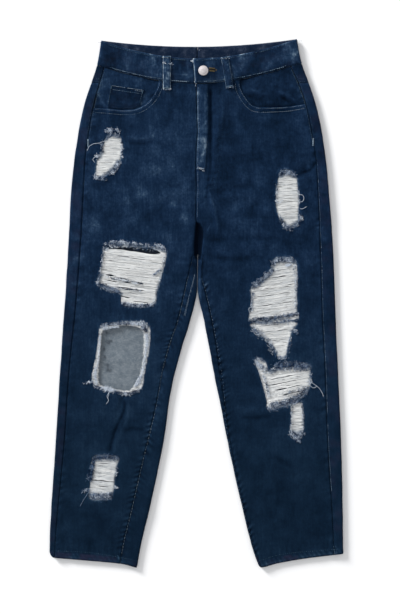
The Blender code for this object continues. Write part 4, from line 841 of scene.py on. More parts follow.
# --------------------------------------------------------------- materials
class Nodes:
    """Short ways to make shader nodes."""

    def __init__(self, name):
        self.material = bpy.data.materials.new(name)
        self.material.use_nodes = True
        self.tree = self.material.node_tree
        self.shader = self.tree.nodes["Principled BSDF"]
        place = self.tree.nodes.new("ShaderNodeTexCoord")
        self.place = place.outputs["Object"]

    def new(self, kind, **settings):
        node = self.tree.nodes.new(kind)
        for key, value in settings.items():
            setattr(node, key, value)
        return node

    def put(self, socket, value):
        if hasattr(value, "is_output"):
            self.tree.links.new(value, socket)
        else:
            socket.default_value = value

    def noise(self, scale, detail=2.0, rough=0.5, stretch=None, distortion=0.0):
        node = self.new("ShaderNodeTexNoise")
        node.inputs["Scale"].default_value = scale
        node.inputs["Detail"].default_value = detail
        node.inputs["Roughness"].default_value = rough
        node.inputs["Distortion"].default_value = distortion
        self.put(node.inputs["Vector"], self.stretched(stretch) if stretch else self.place)
        return node.outputs["Fac"]

    def stretched(self, scale, turn=0.0):
        node = self.new("ShaderNodeMapping")
        node.inputs["Scale"].default_value = scale
        node.inputs["Rotation"].default_value = (0.0, 0.0, turn)
        self.put(node.inputs["Vector"], self.place)
        return node.outputs["Vector"]

    def wave(self, scale, turn, distortion=0.6):
        node = self.new("ShaderNodeTexWave")
        node.inputs["Scale"].default_value = scale
        node.inputs["Distortion"].default_value = distortion
        node.inputs["Detail"].default_value = 1.0
        node.inputs["Detail Scale"].default_value = 2.0
        self.put(node.inputs["Vector"], self.stretched((1.0, 1.0, 1.0), turn))
        return node.outputs["Fac"]

    def math(self, kind, a, b=0.0, c=0.0):
        node = self.new("ShaderNodeMath", operation=kind)
        for socket, value in zip(node.inputs, (a, b, c)):
            self.put(socket, value)
        return node.outputs[0]

    def scaled(self, value, gain, middle=0.5):
        """gain times how far a value is from its middle."""
        return self.math("MULTIPLY_ADD", value, gain, -gain * middle)

    def total(self, *values):
        out = values[0]
        for v in values[1:]:
            out = self.math("ADD", out, v)
        return out

    def attribute(self, name):
        return self.new("ShaderNodeAttribute", attribute_name=name).outputs["Fac"]

    def ramp(self, value, stops):
        node = self.new("ShaderNodeValToRGB")
        ramp = node.color_ramp
        while len(ramp.elements) < len(stops):
            ramp.elements.new(0.5)
        for element, (at, color) in zip(ramp.elements, stops):
            element.position = at
            element.color = (*color, 1.0)
        self.put(node.inputs["Fac"], value)
        return node.outputs["Color"]

    def mix(self, share, a, b):
        node = self.new("ShaderNodeMix", data_type="RGBA")
        self.put(node.inputs[0], share)
        for socket, value in ((node.inputs[6], a), (node.inputs[7], b)):
            self.put(socket, value if hasattr(value, "is_output") else (*value, 1.0))
        return node.outputs[2]

    def low_down(self, start=0.10, stop=-0.30):
        """0 at the hips, 1 from the shins down."""
        parts = self.new("ShaderNodeSeparateXYZ")
        self.put(parts.inputs[0], self.place)
        node = self.new("ShaderNodeMapRange")
        self.put(node.inputs["Value"], parts.outputs["Y"])
        node.inputs["From Min"].default_value = stop
        node.inputs["From Max"].default_value = start
        node.inputs["To Min"].default_value = 1.0
        node.inputs["To Max"].default_value = 0.0
        return node.outputs["Result"]

    def bumped(self, height, strength, distance):
        node = self.new("ShaderNodeBump")
        node.inputs["Strength"].default_value = strength
        node.inputs["Distance"].default_value = distance
        self.put(node.inputs["Height"], height)
        self.put(self.shader.inputs["Normal"], node.outputs["Normal"])

    def rough(self, value, low, high):
        node = self.new("ShaderNodeMapRange")
        self.put(node.inputs["Value"], value)
        node.inputs["To Min"].default_value = low
        node.inputs["To Max"].default_value = high
        self.put(self.shader.inputs["Roughness"], node.outputs["Result"])

    def cloth(self, sheen=0.0, specular=0.12, tint=(0.6, 0.7, 0.9)):
        self.shader.inputs["Specular IOR Level"].default_value = specular
        self.shader.inputs["Sheen Weight"].default_value = sheen
        self.shader.inputs["Sheen Roughness"].default_value = 0.5
        self.shader.inputs["Sheen Tint"].default_value = (*tint, 1.0)


DENIM_STOPS = (
    (0.00, (0.0010, 0.0036, 0.0100)), (0.25, (0.0025, 0.0090, 0.0235)), (0.42, (0.0047, 0.0150, 0.0385)),
    (0.58, (0.0092, 0.0250, 0.0590)), (0.72, (0.0240, 0.0510, 0.0960)), (0.86, (0.0980, 0.1480, 0.2080)),
    (1.00, (0.3200, 0.3800, 0.4300)))
# Lower down the legs the dye is greener and duller
LOW_STOPS = (
    (0.00, (0.0011, 0.0038, 0.0098)), (0.25, (0.0027, 0.0096, 0.0225)), (0.42, (0.0050, 0.0158, 0.0350)),
    (0.58, (0.0096, 0.0255, 0.0510)), (0.72, (0.0240, 0.0480, 0.0830)), (0.86, (0.0940, 0.1420, 0.1920)),
    (1.00, (0.3100, 0.3700, 0.4100)))


def denim(name, shift=0.0, warm=0.0, turn=0.75):
    """The outer face: indigo twill, mottled at several scales; the tone attribute brings its worn places, painted
    highlight and painted shade.
    """
    n = Nodes(name)
    grain = n.noise(900.0, 3.0, 0.65)
    slub = n.noise(1.0, 3.0, 0.6, stretch=(900.0, 150.0, 500.0))
    mottle = n.noise(260.0, 3.0, 0.6)
    cloud = n.noise(34.0, 4.0, 0.55)
    twill = n.wave(560.0, turn)
    streak = n.noise(1.0, 2.0, 0.55, stretch=(430.0, 34.0, 120.0))
    low = n.low_down()
    vary = n.total(n.scaled(grain, 0.34), n.scaled(slub, 0.24), n.scaled(mottle, 0.40),
                   n.scaled(cloud, 0.54), n.scaled(streak, 0.24), n.scaled(twill, 0.08))
    # the shins are smoother and more even than the thighs
    tone = n.math("MULTIPLY_ADD", vary, n.math("MULTIPLY_ADD", low, -0.34, 1.0), n.attribute("tone"))
    if shift:
        tone = n.math("ADD", tone, shift)
    color = n.mix(low, n.ramp(tone, DENIM_STOPS), n.ramp(tone, LOW_STOPS))
    color = n.mix(n.attribute("violet"), color, (0.0160, 0.0175, 0.0390))
    if warm:
        patch = n.ramp(n.noise(70.0, 3.0, 0.6), ((0.42, (0.0, 0.0, 0.0)), (0.66, (warm, warm, warm))))
        color = n.mix(patch, color, (0.0260, 0.0200, 0.0260))
    n.put(n.shader.inputs["Base Color"], color)
    n.rough(mottle, 0.78, 0.98)
    n.bumped(n.total(n.math("MULTIPLY", twill, 0.45), n.math("MULTIPLY", grain, 0.6),
                     n.math("MULTIPLY", slub, 0.8)), 0.6, 0.0006)
    n.cloth(0.0, 0.02)
    return n.material


def wrong_side(name, stops, gain=0.5, deep=(0.004, 0.008, 0.018), clouds=0.5):
    """The inner face, where the undyed weft shows more than the warp. Where tone is 0 it turns to deep, a painted
    shade.
    """
    n = Nodes(name)
    grain = n.noise(820.0, 3.0, 0.65)
    fleck = n.noise(1.0, 3.0, 0.6, stretch=(260.0, 900.0, 500.0))
    cloud = n.noise(60.0, 3.0, 0.55)
    blot = n.noise(150.0, 3.0, 0.6)
    tone = n.total(n.scaled(grain, gain), n.scaled(fleck, gain * 0.7), n.scaled(cloud, gain * clouds),
                   n.scaled(blot, gain * 0.7))
    color = n.ramp(n.math("ADD", tone, 0.5), stops)
    # where tone is low the colour turns to deep: painted shade
    n.put(n.shader.inputs["Base Color"], n.mix(n.attribute("tone"), deep, color))
    n.rough(grain, 0.80, 0.98)
    n.bumped(n.total(n.math("MULTIPLY", n.wave(560.0, -0.75), 0.4), grain, fleck), 0.5, 0.0005)
    n.cloth(0.0, 0.03)
    return n.material


def yarn(name, low, middle, high, sheen=0.0):
    """Cotton threads: the dye attribute runs from bare white (0) to indigo (1)."""
    n = Nodes(name)
    fuzz = n.noise(2600.0, 3.0, 0.6)
    patch = n.noise(330.0, 2.0, 0.5)
    tone = n.total(n.attribute("dye"), n.scaled(fuzz, 0.20), n.scaled(patch, 0.16))
    n.put(n.shader.inputs["Base Color"], n.ramp(tone, ((0.0, low), (0.5, middle), (1.0, high))))
    n.rough(fuzz, 0.80, 0.97)
    n.bumped(fuzz, 0.4, 0.0002)
    n.cloth(sheen, 0.05)
    return n.material


DENIM = denim("indigo_denim")
DENIM_DARK = denim("indigo_denim_dark", shift=-0.02, warm=0.06)
DENIM_BAND = denim("indigo_denim_band", shift=0.06, warm=0.08)
WRONG = wrong_side("denim_wrong_side", (
    (0.1, (0.060, 0.082, 0.106)), (0.42, (0.130, 0.158, 0.186)), (0.62, (0.190, 0.220, 0.246)),
    (0.95, (0.33, 0.36, 0.38))), 0.75)
BAND_INSIDE = wrong_side("band_inside", (
    (0.1, (0.0022, 0.0070, 0.0190)), (0.40, (0.0058, 0.0140, 0.0340)), (0.60, (0.0130, 0.0215, 0.0440)),
    (0.95, (0.055, 0.075, 0.115))), 0.9, clouds=1.3)
BARE = yarn("bare_weft", (0.79, 0.797, 0.787), (0.40, 0.44, 0.48), (0.09, 0.13, 0.20))
FRAY = yarn("frayed_yarn", (0.70, 0.765, 0.85), (0.068, 0.130, 0.238), (0.004, 0.014, 0.044))
SEWING = yarn("sewing_thread", (0.110, 0.172, 0.226), (0.031, 0.070, 0.116), (0.008, 0.022, 0.046))
SEWING_PALE = yarn("sewing_thread_pale", (0.31, 0.40, 0.49), (0.050, 0.108, 0.184), (0.016, 0.042, 0.080))
OLIVE = yarn("buttonhole_thread", (0.170, 0.135, 0.065), (0.080, 0.062, 0.030), (0.022, 0.020, 0.018))


def silver():
    n = Nodes("button_metal_worn")
    scuff = n.noise(1500.0, 3.0, 0.6)
    patch = n.noise(420.0, 2.0, 0.5)
    shade = n.total(n.scaled(scuff, 0.6), n.scaled(patch, 0.7))
    n.put(n.shader.inputs["Base Color"], n.ramp(n.math("ADD", shade, 0.5), (
        (0.25, (0.44, 0.41, 0.415)), (0.75, (0.60, 0.56, 0.565)))))
    n.shader.inputs["Metallic"].default_value = 0.25
    n.rough(scuff, 0.56, 0.74)
    n.bumped(scuff, 0.15, 0.0002)
    return n.material


METAL = silver()


# ------------------------------------------------------- pieces of cloth
PIECES = {}


def kept(obj, nodes):
    """Rides the garment's one body, in place of the CAD nodes named."""
    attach(obj, "root")
    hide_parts(*nodes)
    PIECES[obj.name] = obj
    return obj


def ragged(outline, seed, size=0.8):
    """A rip's edge: curved, with small uneven bites."""
    line = rounded(list(outline), 1.6)
    p = np.array(line)
    s = np.concatenate([[0.0], np.cumsum(np.hypot(*np.diff(p, axis=0).T))])
    wob = size * (noise(s / 2.6, seed, seed, 2) + 0.6 * noise(s / 9.0, seed, seed + 1))
    wob *= smooth(s / 6.0) * smooth((s[-1] - s) / 6.0)
    d = np.roll(p, -1, 0) - np.roll(p, 1, 0)
    d /= np.maximum(1e-9, np.hypot(d[:, 0], d[:, 1]))[:, None]
    return [tuple(q) for q in p + np.stack([d[:, 1], -d[:, 0]], 1) * wob[:, None]]


def front_panel(side):
    end = "l" if side < 0 else "r"
    pocket = rounded(list(POCKET_LEFT if side < 0 else POCKET_RIGHT), 3.0, False)
    centre = lambda y: float(centre_x(y)) + side * CENTRE_SEAM / 2
    top_y = float(waist_seam(centre(378.0))) - SEAM
    line = [(centre(top_y), top_y)]
    line += [(centre(y), float(y)) for y in np.arange(374.0, CROTCH + 2.0, -3.0)] + [(centre(CROTCH), CROTCH)]
    line += [(float(side_of("ins", side, y)) + side * SEAM / 2, float(y)) for y in np.arange(80.0, -438.0, -3.0)]

    def at_hem(kind, shift):
        y = -440.0
        for _ in range(8):
            x = float(side_of(kind, side, y)) + shift
            y = float(hem(side, x))
        return x, y
    corner, outer = at_hem("ins", side * SEAM / 2), at_hem("seam", -side * SEAM / 2)
    line = [p for p in line if p[1] > corner[1] + 2.0]
    for i in range(46):
        x = corner[0] + (outer[0] - corner[0]) * i / 45.0
        line.append((x, float(hem(side, x))))
    ys = np.arange(outer[1] + 3.0, pocket[-1][1] - 2.0, 3.0)
    line += [(float(side_of("seam", side, y)) - side * SEAM / 2, float(y)) for y in ys]
    edge = float(side_of("seam", side, pocket[-1][1])) - side * SEAM / 2
    line += [p for p in reversed(pocket) if abs(p[0]) < abs(edge) - 0.4 and p[1] < waist_seam(p[0]) - SEAM - 1.0]
    for i in range(24):
        x = pocket[0][0] + (centre(378.0) - pocket[0][0]) * i / 24.0
        line.append((x, float(waist_seam(x)) - SEAM))
    holes = [ragged(o, 200 + i) for i, (n, s, o) in enumerate(RIPS) if s == side]
    if side < 0:
        holes.append(ragged(RIP_L3, 230))
    wall = lambda x, y: np.where(y - hem(side, x) < HEM_DEPTH + 0.5, HEM_WALL, WALL)

    def height(x, y):
        d = np.abs(along(pocket, x, y)[0])
        return top(x, y) + 0.25 * np.exp(-((d - 1.5) / 2.2) ** 2) - 0.3 * np.exp(-(d / 0.8) ** 2)

    def tone(x, y):
        t = 0.42 + wear_and_painted_light(x, y)
        d = np.abs(along(pocket, x, y)[0])
        t += 0.16 * np.exp(-(d / 1.6) ** 2) * (0.8 + 0.5 * noise(x / 4.0, y / 4.0, 83))
        for i, hole in enumerate(holes):
            at, d, s, total = near_line(hole + [hole[0]], x, y, 6.0)
            t[at] += 0.30 * np.exp(-(np.abs(d) / 1.7) ** 2)
        return t
    obj = plan_piece("denim_front_" + end, line, height, wall, (DENIM, WRONG), holes, 2.2, tone)
    return kept(obj, ["front_panel_" + end])


def back_panel(side):
    """The back of one leg: its outer strip on top, the side roll, the underside, and in the
    leg the inner roll as far as the inseam, above the crotch as far as the centre back seam."""
    end = "l" if side < 0 else "r"
    parts = []
    # a column is a kind and its share; the leg's columns end with the turn and the strip beside the inseam
    outer = [("seam", t) for t in np.linspace(1.0, 0.0, 6)[:-1]] + [("arc", a) for a in np.linspace(90, -90, 13)]
    under = [("under", t) for t in np.linspace(0.0, 1.0, 58)[1:]]
    turn = [("turn", a) for a in np.linspace(-75, 62, 9)] + [("inside", t) for t in np.linspace(0.0, 1.0, 5)]
    web = [("web", t) for t in np.linspace(0.0, 1.0, 22)[1:]]

    def row(columns, y0, line=None):
        kinds = [c[0] for c in columns]
        value = np.array([c[1] for c in columns], float)
        y = np.full(len(columns), float(y0))
        k = {name: np.array([c == name for c in kinds]) for name in set(kinds)}
        for _ in range(7 if line else 1):
            out, low = side_of("out", side, y), lift(y)
            radius = (level("roll", y) - low) / 2.0
            small = (level("inner", y) - low) / 2.0
            edge, ins = side_of("in", side, y), side_of("ins", side, y)
            seam_d = np.abs(out - side_of("seam", side, y)) - SEAM / 2
            angle = np.radians(np.where([c in ("arc", "turn") for c in kinds], value, 0.0))
            start, stop = out - side * radius, edge + side * small
            x, z = np.zeros(len(y)), np.zeros(len(y))
            for name, mask in k.items():
                if name == "seam":
                    px = out - side * (radius + (seam_d - radius) * value)
                    pz = top(px, y)
                elif name == "arc":
                    px, pz = out - side * radius * (1 - np.cos(angle)), low + radius * (1 + np.sin(angle))
                    swell = 0.45 * noise(y / 23.0, value / 70.0, 301 + side, 2) * np.cos(angle) ** 2
                    px = px - side * np.maximum(0.0, swell + 0.15)
                elif name == "under":
                    px = start + (stop - start) * value
                    pz = low + underside(px, y)
                elif name == "turn":
                    px, pz = edge + side * small * (1 - np.cos(angle)), low + small * (1 + np.sin(angle))
                    swell = 0.45 * noise(y / 15.0, value / 70.0, 311 + side, 2) * np.cos(angle) ** 2
                    # the two thighs touch low down, below the crotch
                    half = (side_of("in", 1, y) - side_of("in", -1, y)) / 2.0
                    meet = smooth((y + 2.0) / 30.0) * np.maximum(0.0, half - 0.3)
                    meet = meet * np.exp(-((np.degrees(angle) + 12.0) / 38.0) ** 2)
                    px = px + side * (np.maximum(0.0, swell + 0.15) * (1.0 - smooth((y + 2.0) / 30.0)) - meet)
                elif name == "inside":
                    first = edge + side * np.minimum(small, np.abs(ins - edge) - 0.5)
                    px = first + (ins - side * SEAM / 2 - first) * value
                    pz = top(px, y)
                else:
                    last = CENTRE_BACK + side * SEAM / 2
                    px = stop + (last - stop) * value
                    pz = low + underside(px, y) * smooth((1.0 - value) / 0.3)
                x, z = np.where(mask, px, x), np.where(mask, pz, z)
            if line is not None:
                on_top = np.array([c in ("seam", "inside") or (c in ("arc", "turn") and v > 24)
                                   for c, v in columns])
                y = line(x, on_top)
        return np.stack([x, y, z], 1)

    hip, leg = outer + under + web, outer + under + turn
    shared = len(outer) + len(under)
    head = lambda share: (lambda x, on: (yoke_seam(x, on * 1.0) - SEAM / 2) * (1 - share) + 318.0 * share)
    rows = [row(hip, 345.0, head(t)) for t in np.linspace(0.0, 1.0, 12)[:-1]]
    rows += [row(hip, y) for y in np.linspace(318.0, CROTCH, 52)]
    hem_top = -421.0
    rows2 = [row(leg, y) for y in np.linspace(CROTCH - 0.8, hem_top, 110)]
    foot = lambda above: (lambda x, on: hem(side, x) + above)
    rows2 += [row(leg, -440.0, lambda x, on, t=t: -421.0 * (1 - t) + (hem(side, x)) * t)
              for t in np.linspace(0.0, 1.0, 9)[1:]]
    points, faces, chart = [], [], []

    def add(block):
        first = sum(len(b) for b in points)
        for r in block:
            step = np.hypot(*np.diff(r[:, (0, 2)], axis=0).T)
            run = np.concatenate([[0.0], np.cumsum(step)])
            points.append(r)
            chart.append(np.stack([run, r[:, 1]], 1))
        return first
    n1, n2 = len(hip), len(leg)
    first = add(rows)
    for i in range(len(rows) - 1):
        a = first + i * n1 + np.arange(n1 - 1)
        faces.append(np.stack([a, a + n1, a + n1 + 1, a + 1], 1))
    last = first + (len(rows) - 1) * n1
    second = add(rows2)
    a, b = last + np.arange(shared - 1), second + np.arange(shared - 1)
    faces.append(np.stack([a, b, b + 1, a + 1], 1))
    for i in range(len(rows2) - 1):
        a = second + i * n2 + np.arange(n2 - 1)
        faces.append(np.stack([a, a + n2, a + n2 + 1, a + 1], 1))
    points, chart, faces = np.concatenate(points), np.concatenate(chart), np.concatenate(faces)
    if side < 0:
        faces = faces[:, ::-1]
    x, y = points[:, 0], points[:, 1]
    walls = np.where(y - hem(side, x) < HEM_DEPTH, HEM_WALL, WALL)
    flat = points[:, 2] > lift(y) + 2.5
    tone = np.where(flat, 0.40 + wear_and_painted_light(x, y),
                    0.40 + 0.09 * noise(x / 50.0, y / 60.0, 321, 2) + 0.07 * noise(x / 13.0, y / 11.0, 323, 2))
    tone += np.where(flat, 0.0, 0.10 * np.exp(-((x - side * 110) / 60.0) ** 2 - ((y - 250.0) / 90.0) ** 2))
    tone += np.where(flat, 0.0, 0.05 * (underside(x, y) - 0.4))
    within = (np.abs(x - 2.0) < 14.0) & (y < CROTCH + 1.0) & (y > -20.0) & (points[:, 2] > lift(y) + 1.0)
    tone += 0.16 * within * smooth((y + 10.0) / 30.0) * (np.abs(x - centre_x(80.0)) < 6.0)
    # inside, the cloth behind the rips is darkened with painted shade, but for the knee hole's, which stays lit
    pale = np.full(len(points), 1.0)
    for name, s, outline in RIPS:
        if s == side:
            cx, cy = np.mean([p[0] for p in outline]), np.mean([p[1] for p in outline])
            rx, ry = np.ptp([p[0] for p in outline]) / 2 + 12.0, np.ptp([p[1] for p in outline]) / 2 + 10.0
            q = ((x - cx) / rx) ** 2 + ((y - cy) / ry) ** 2
            pale = np.minimum(pale, smooth((q - 1.0) / 0.9) + 0.08)
    if side < 0:
        cx, cy = np.mean([p[0] for p in RIP_L3_GAP]), np.mean([p[1] for p in RIP_L3_GAP])
        q = ((x - cx) / 50.0) ** 2 + ((y - cy) / 66.0) ** 2
        pale = np.maximum(pale, smooth((1.35 - q) / 0.35))
        for (sx, sy), size in (((-154.4, -51.2), 2.4), ((-150.9, -67.5), 3.0), ((-146.8, -66.0), 2.0), ((-153.7, -108.6), 2.4),
                               ((-150.9, -115.5), 3.2), ((-159.5, -78.7), 1.6), ((-157.8, -94.2), 1.8)):
            spot = np.hypot(x - sx, y - sy) / (1.5 * size * (1.0 + 0.5 * noise(x / 1.8, y / 1.8, 335, 2)))
            pale = np.minimum(pale, 0.36 + 0.64 * smooth((spot - 0.5) / 0.8))
    pale *= 1.0 - 0.16 * np.maximum(0.0, noise(x / 9.0, y / 9.0, 333, 3))
    # above the crotch, the inside near the centre seam is darkened with painted shade too
    pale = np.where(y > CROTCH - 4.0, pale * smooth((np.abs(x - centre_x(y)) - 4.0) / 8.0), pale)
    obj = shell("denim_back_" + end, points, [faces], walls, (DENIM, WRONG), tone, chart, pale)
    return kept(obj, ["back_panel_" + end])


def side_band(side, name, low_line, high_line, steps, wall, materials, raised=0.0, end=None, lap=None,
              tone=None, node=None, pitch=2.5, seed=0):
    """A band round the side of the hips, between two slanting lines."""
    radius0 = 3.1
    reach = abs(float(side_of("out", side, 400.0)) - float(end(400.0))) - radius0
    tops = np.linspace(1.0, 0.0, max(3, int(reach / pitch)))[:-1]
    columns = [("top", t) for t in tops] + [("arc", a) for a in np.linspace(90, -90, 11)]
    columns += [("flat", t) for t in np.linspace(0.0, 1.0, 66)[1:]]
    kinds = np.array([c[0] for c in columns])
    value = np.array([c[1] for c in columns], float)
    front = np.where(kinds == "top", 1.0, np.where(kinds == "flat", 0.0, (value > 24) * 1.0))
    angle = np.radians(np.where(kinds == "arc", value, 0.0))
    rows = []
    for k in range(steps + 1):
        t = k / steps
        y = np.full(len(columns), 400.0)
        for _ in range(9):
            out, low = side_of("out", side, y), lift(y)
            radius = (level("roll", y) - low) / 2.0
            seam_d = np.abs(out - end(y)) - radius
            start, last = out - side * radius, CENTRE_BACK + side * SEAM / 2
            x = np.where(kinds == "top", out - side * (radius + seam_d * value),
                         np.where(kinds == "arc", out - side * radius * (1 - np.cos(angle)),
                                  start + (last - start) * value))
            lo = np.where(front > 0, low_line(x, 1.0), low_line(x, 0.0))
            hi = np.where(front > 0, high_line(x, 1.0), high_line(x, 0.0))
            y = lo + (hi - lo) * t
        z = np.where(kinds == "top", top(x, y), np.where(kinds == "arc", low + radius * (1 + np.sin(angle)), low))
        up = raised * np.where(kinds == "top", 1.0, np.where(kinds == "arc", np.maximum(0.0, np.sin(angle)), 0.0))
        soft = 0.22 * noise(x / 9.0, t * 2.0, 401 + seed, 2) + 0.20 * noise(x / 31.0, t, 403 + seed, 2)
        roll = 0.45 * sin(pi * t) ** 0.5 if raised else 0.15
        groove = -0.35 * np.exp(-((t - 0.075) / 0.035) ** 2) - 0.35 * np.exp(-((t - 0.925) / 0.035) ** 2)
        z = z + up + (soft + roll - 0.25 + (groove if raised else 0.0)) * (kinds == "top")
        under = np.maximum(0.0, noise(x / 16.0, y / 16.0, 405 + seed, 2)) * 0.6 * np.sin(pi * np.clip(value, 0, 1))
        z = z + under * (kinds == "flat")
        if lap is not None:
            z = z + lap(x) * ((kinds == "top") | ((kinds == "arc") & (value > 0)))
        rows.append(np.stack([x, y, z], 1))
    n = len(columns)
    points = np.concatenate(rows)
    chart = []
    for r in rows:
        run = np.concatenate([[0.0], np.cumsum(np.hypot(*np.diff(r[:, (0, 2)], axis=0).T))])
        chart.append(run)
    lengths = np.concatenate(chart)
    chart = np.stack([lengths, np.repeat(np.linspace(0.0, 42.0 if raised else 32.0, steps + 1), n)], 1)
    faces = []
    for i in range(steps):
        a = i * n + np.arange(n - 1)
        faces.append(np.stack([a, a + n, a + n + 1, a + 1], 1))
    faces = np.concatenate(faces)
    if side > 0:
        faces = faces[:, ::-1]
    t = np.repeat(np.linspace(0.0, 1.0, steps + 1), n)
    obj = shell(name, points, [faces], wall, materials, tone(points, t), chart)
    return kept(obj, [node])


def lap_height(x):
    return LAP_STEP * (1.0 - smooth((x - LAP_FROM) / (LAP_TO - LAP_FROM)))


def band_face(x, y):
    return top(x, y) + BAND_STEP + np.where(x > 0, lap_height(x), 0.0) + 0.2


def band_tone(side):
    def tone(p, t):
        x, y, z = p[:, 0], p[:, 1], p[:, 2]
        v = 0.41 + 0.30 * noise(x / 13.0, t * 2.4 + side, 451, 3) + 0.10 * noise(x / 40.0, t, 453)
        v += 0.14 * np.maximum(0.0, noise(x / 3.2, t * 9.0, 457, 2))
        v += 0.11 * smooth((t - 0.35) / 0.4) * np.exp(-((x + 95.0) / 62.0) ** 2)
        v += 0.02 * smooth((t - 0.4) / 0.4) * np.exp(-((x - 140.0) / 42.0) ** 2)
        v -= 0.10 * np.exp(-((x + 150.0) / 16.0) ** 2) + 0.05 * np.exp(-((x - 90.0) / 36.0) ** 2)
        v += 0.25 * np.exp(-((t - 1.0) / 0.035) ** 2) * (0.7 + 0.6 * noise(x / 6.0, 0.0, 455, 2))
        v += 0.12 * np.exp(-(t / 0.05) ** 2) * (0.6 + 0.6 * noise(x / 6.0, 9.0, 455, 2))
        v -= 0.14 * np.exp(-((t - 0.075) / 0.03) ** 2) + 0.08 * np.exp(-((t - 0.925) / 0.03) ** 2)
        end = np.abs(x + 5.6) if side > 0 else np.abs(x - 22.0)
        if side > 0:
            end = np.abs(x + 5.6 + (y - 421.0) * 0.085)
        v += (0.52 if side > 0 else 0.2) * np.exp(-(end / 2.0) ** 2) * (z > 5.0)
        if side < 0:
            v += 0.18 * np.exp(-((t - 0.34) / 0.035) ** 2) * smooth((x + 42.0) / 4.0) * smooth((-13.0 - x) / 4.0)
        return v
    return tone


def yoke_tone(p, t):
    x, y, z = p[:, 0], p[:, 1], p[:, 2]
    # darker towards the waistband: painted shade under its lower edge
    return (0.36 + 0.08 * noise(x / 14.0, y / 12.0, 461, 2) - 0.12 * np.exp(-((1.0 - t) / 0.25) ** 2)
            + 0.12 * np.exp(-(t / 0.06) ** 2))


def facing_height(side):
    pocket = rounded(list(POCKET_LEFT if side < 0 else POCKET_RIGHT), 4.0, False)

    def height(x, y):
        d = np.abs(along(pocket, x, y)[0])
        deep = 1.0 - smooth((d - 9.0) / 22.0)
        return top(x, y) - 0.2 - (WALL + REST - 0.2) * np.maximum(deep, 0.0)
    return height


def pocket_facing(side):
    end = "l" if side < 0 else "r"
    pocket = rounded(list(POCKET_LEFT if side < 0 else POCKET_RIGHT), 4.0, False)
    turn = moved(pocket, -8.5 * side)
    seam = lambda y: float(side_of("seam", side, y)) - side * 0.6
    head = (turn[0][0], float(waist_seam(turn[0][0])) - 0.5)
    inner = [p for p in turn if abs(p[0]) < abs(seam(p[1])) - 2.0 and p[1] < waist_seam(p[0]) - 2.0]
    foot = inner[-1][1]
    line = [head] + inner
    top_x = seam(405.0)
    for _ in range(4):
        top_x = seam(float(waist_seam(top_x)) - 0.5)
    line += [(seam(y), float(y)) for y in np.arange(foot, float(waist_seam(top_x)) - 2.0, 3.0)]
    for i in range(34):
        x = top_x + (head[0] - top_x) * i / 34.0
        line.append((x, float(waist_seam(x)) - 0.5))

    def tone(x, y):
        d = np.abs(along(pocket, x, y)[0])
        t = (0.54 if side < 0 else 0.41) + wear_and_painted_light(x, y) * 0.9 + (0.15 if side < 0 else 0.09) * noise(
            x / 8.0, y / 7.0, 469 + side, 3)
        up = waist_seam(x) - y
        # darker next to the pocket's edge and just under the waistband: painted shade under their edges
        return t - 0.14 * np.exp(-(d / 5.0) ** 2) - 0.10 * np.exp(-(up / 5.0) ** 2)
    obj = plan_piece("facing_" + end, line, facing_height(side), WALL, (DENIM, WRONG), (), 2.0, tone)
    return kept(obj, ["pocket_facing_" + end])


def coin_pocket():
    base = facing_height(-1)
    line = divided(rounded(list(COIN_POCKET), 2.2), 2.2)
    line = [p for i, p in enumerate(divided(list(COIN_POCKET), 2.0))]

    def height(x, y):
        d = edge_distance(list(COIN_POCKET), x, y)
        return base(x, y) + 1.5 - 0.25 * np.exp(-((d - 2.6) / 0.9) ** 2) + 0.18 * noise(x / 8.0, y / 8.0, 471, 2)

    def tone(x, y):
        d = edge_distance(list(COIN_POCKET), x, y)
        return (0.35 + 0.8 * wear_and_painted_light(x, y) + 0.24 * np.exp(-(d / 1.1) ** 2) - 0.08 * np.exp(-((d - 3.0) / 1.2) ** 2)
                + 0.06 * noise(x / 9.0, y / 9.0, 473, 2))
    obj = plan_piece("coin_pocket_front", line, height, 1.0, (DENIM_DARK, WRONG), (), 1.7, tone)
    return kept(obj, ["coin_pocket"])


def fly_height(x, y):
    return top(x, y) + 2.0 * REST + WALL


def fly_line():
    head = float(waist_seam(8.0)) - 0.8
    ys = np.concatenate([[head], np.arange(374.0, 233.0, -3.0)])
    left = [(float(centre_x(y)) + 0.6, float(y)) for y in ys]
    wide = lambda y: FLY_WIDTH - 2.4 * (1 - float(smooth((y - 260.0) / 70.0)))
    right = [(x + wide(y), y) for x, y in left]
    round_off = [(left[-1][0] + wide(231.0) * t, 231.0 - 0.8 * (1 - (2 * t - 0.7) ** 2)) for t in (0.1, 0.35, 0.6, 0.85)]
    return left + round_off + list(reversed(right))


def fly():
    line = fly_line()

    def height(x, y):
        d = edge_distance(line, x, y)
        cross = (x - centre_x(y)) / FLY_WIDTH
        return (fly_height(x, y) + 0.55 * np.sin(pi * np.clip(cross, 0.0, 1.0)) - 0.35
                - 0.25 * np.exp(-((d - 2.2) / 1.0) ** 2) + 0.2 * noise(x / 7.0, y / 13.0, 481, 2))

    def tone(x, y):
        cross = (x - centre_x(y)) / FLY_WIDTH
        t = 0.45 + wear_and_painted_light(x, y) + 0.10 * noise(x / 5.0, y / 14.0, 483, 3)
        t += 0.22 * np.exp(-(cross / 0.07) ** 2) + 0.10 * np.exp(-((1.0 - cross) / 0.06) ** 2)
        return t - 0.10 * np.exp(-((cross - 0.13) / 0.04) ** 2)
    obj = plan_piece("fly_placket_front", line, height, WALL, (DENIM, WRONG), (), 1.7, tone)
    return kept(obj, ["fly_placket"])


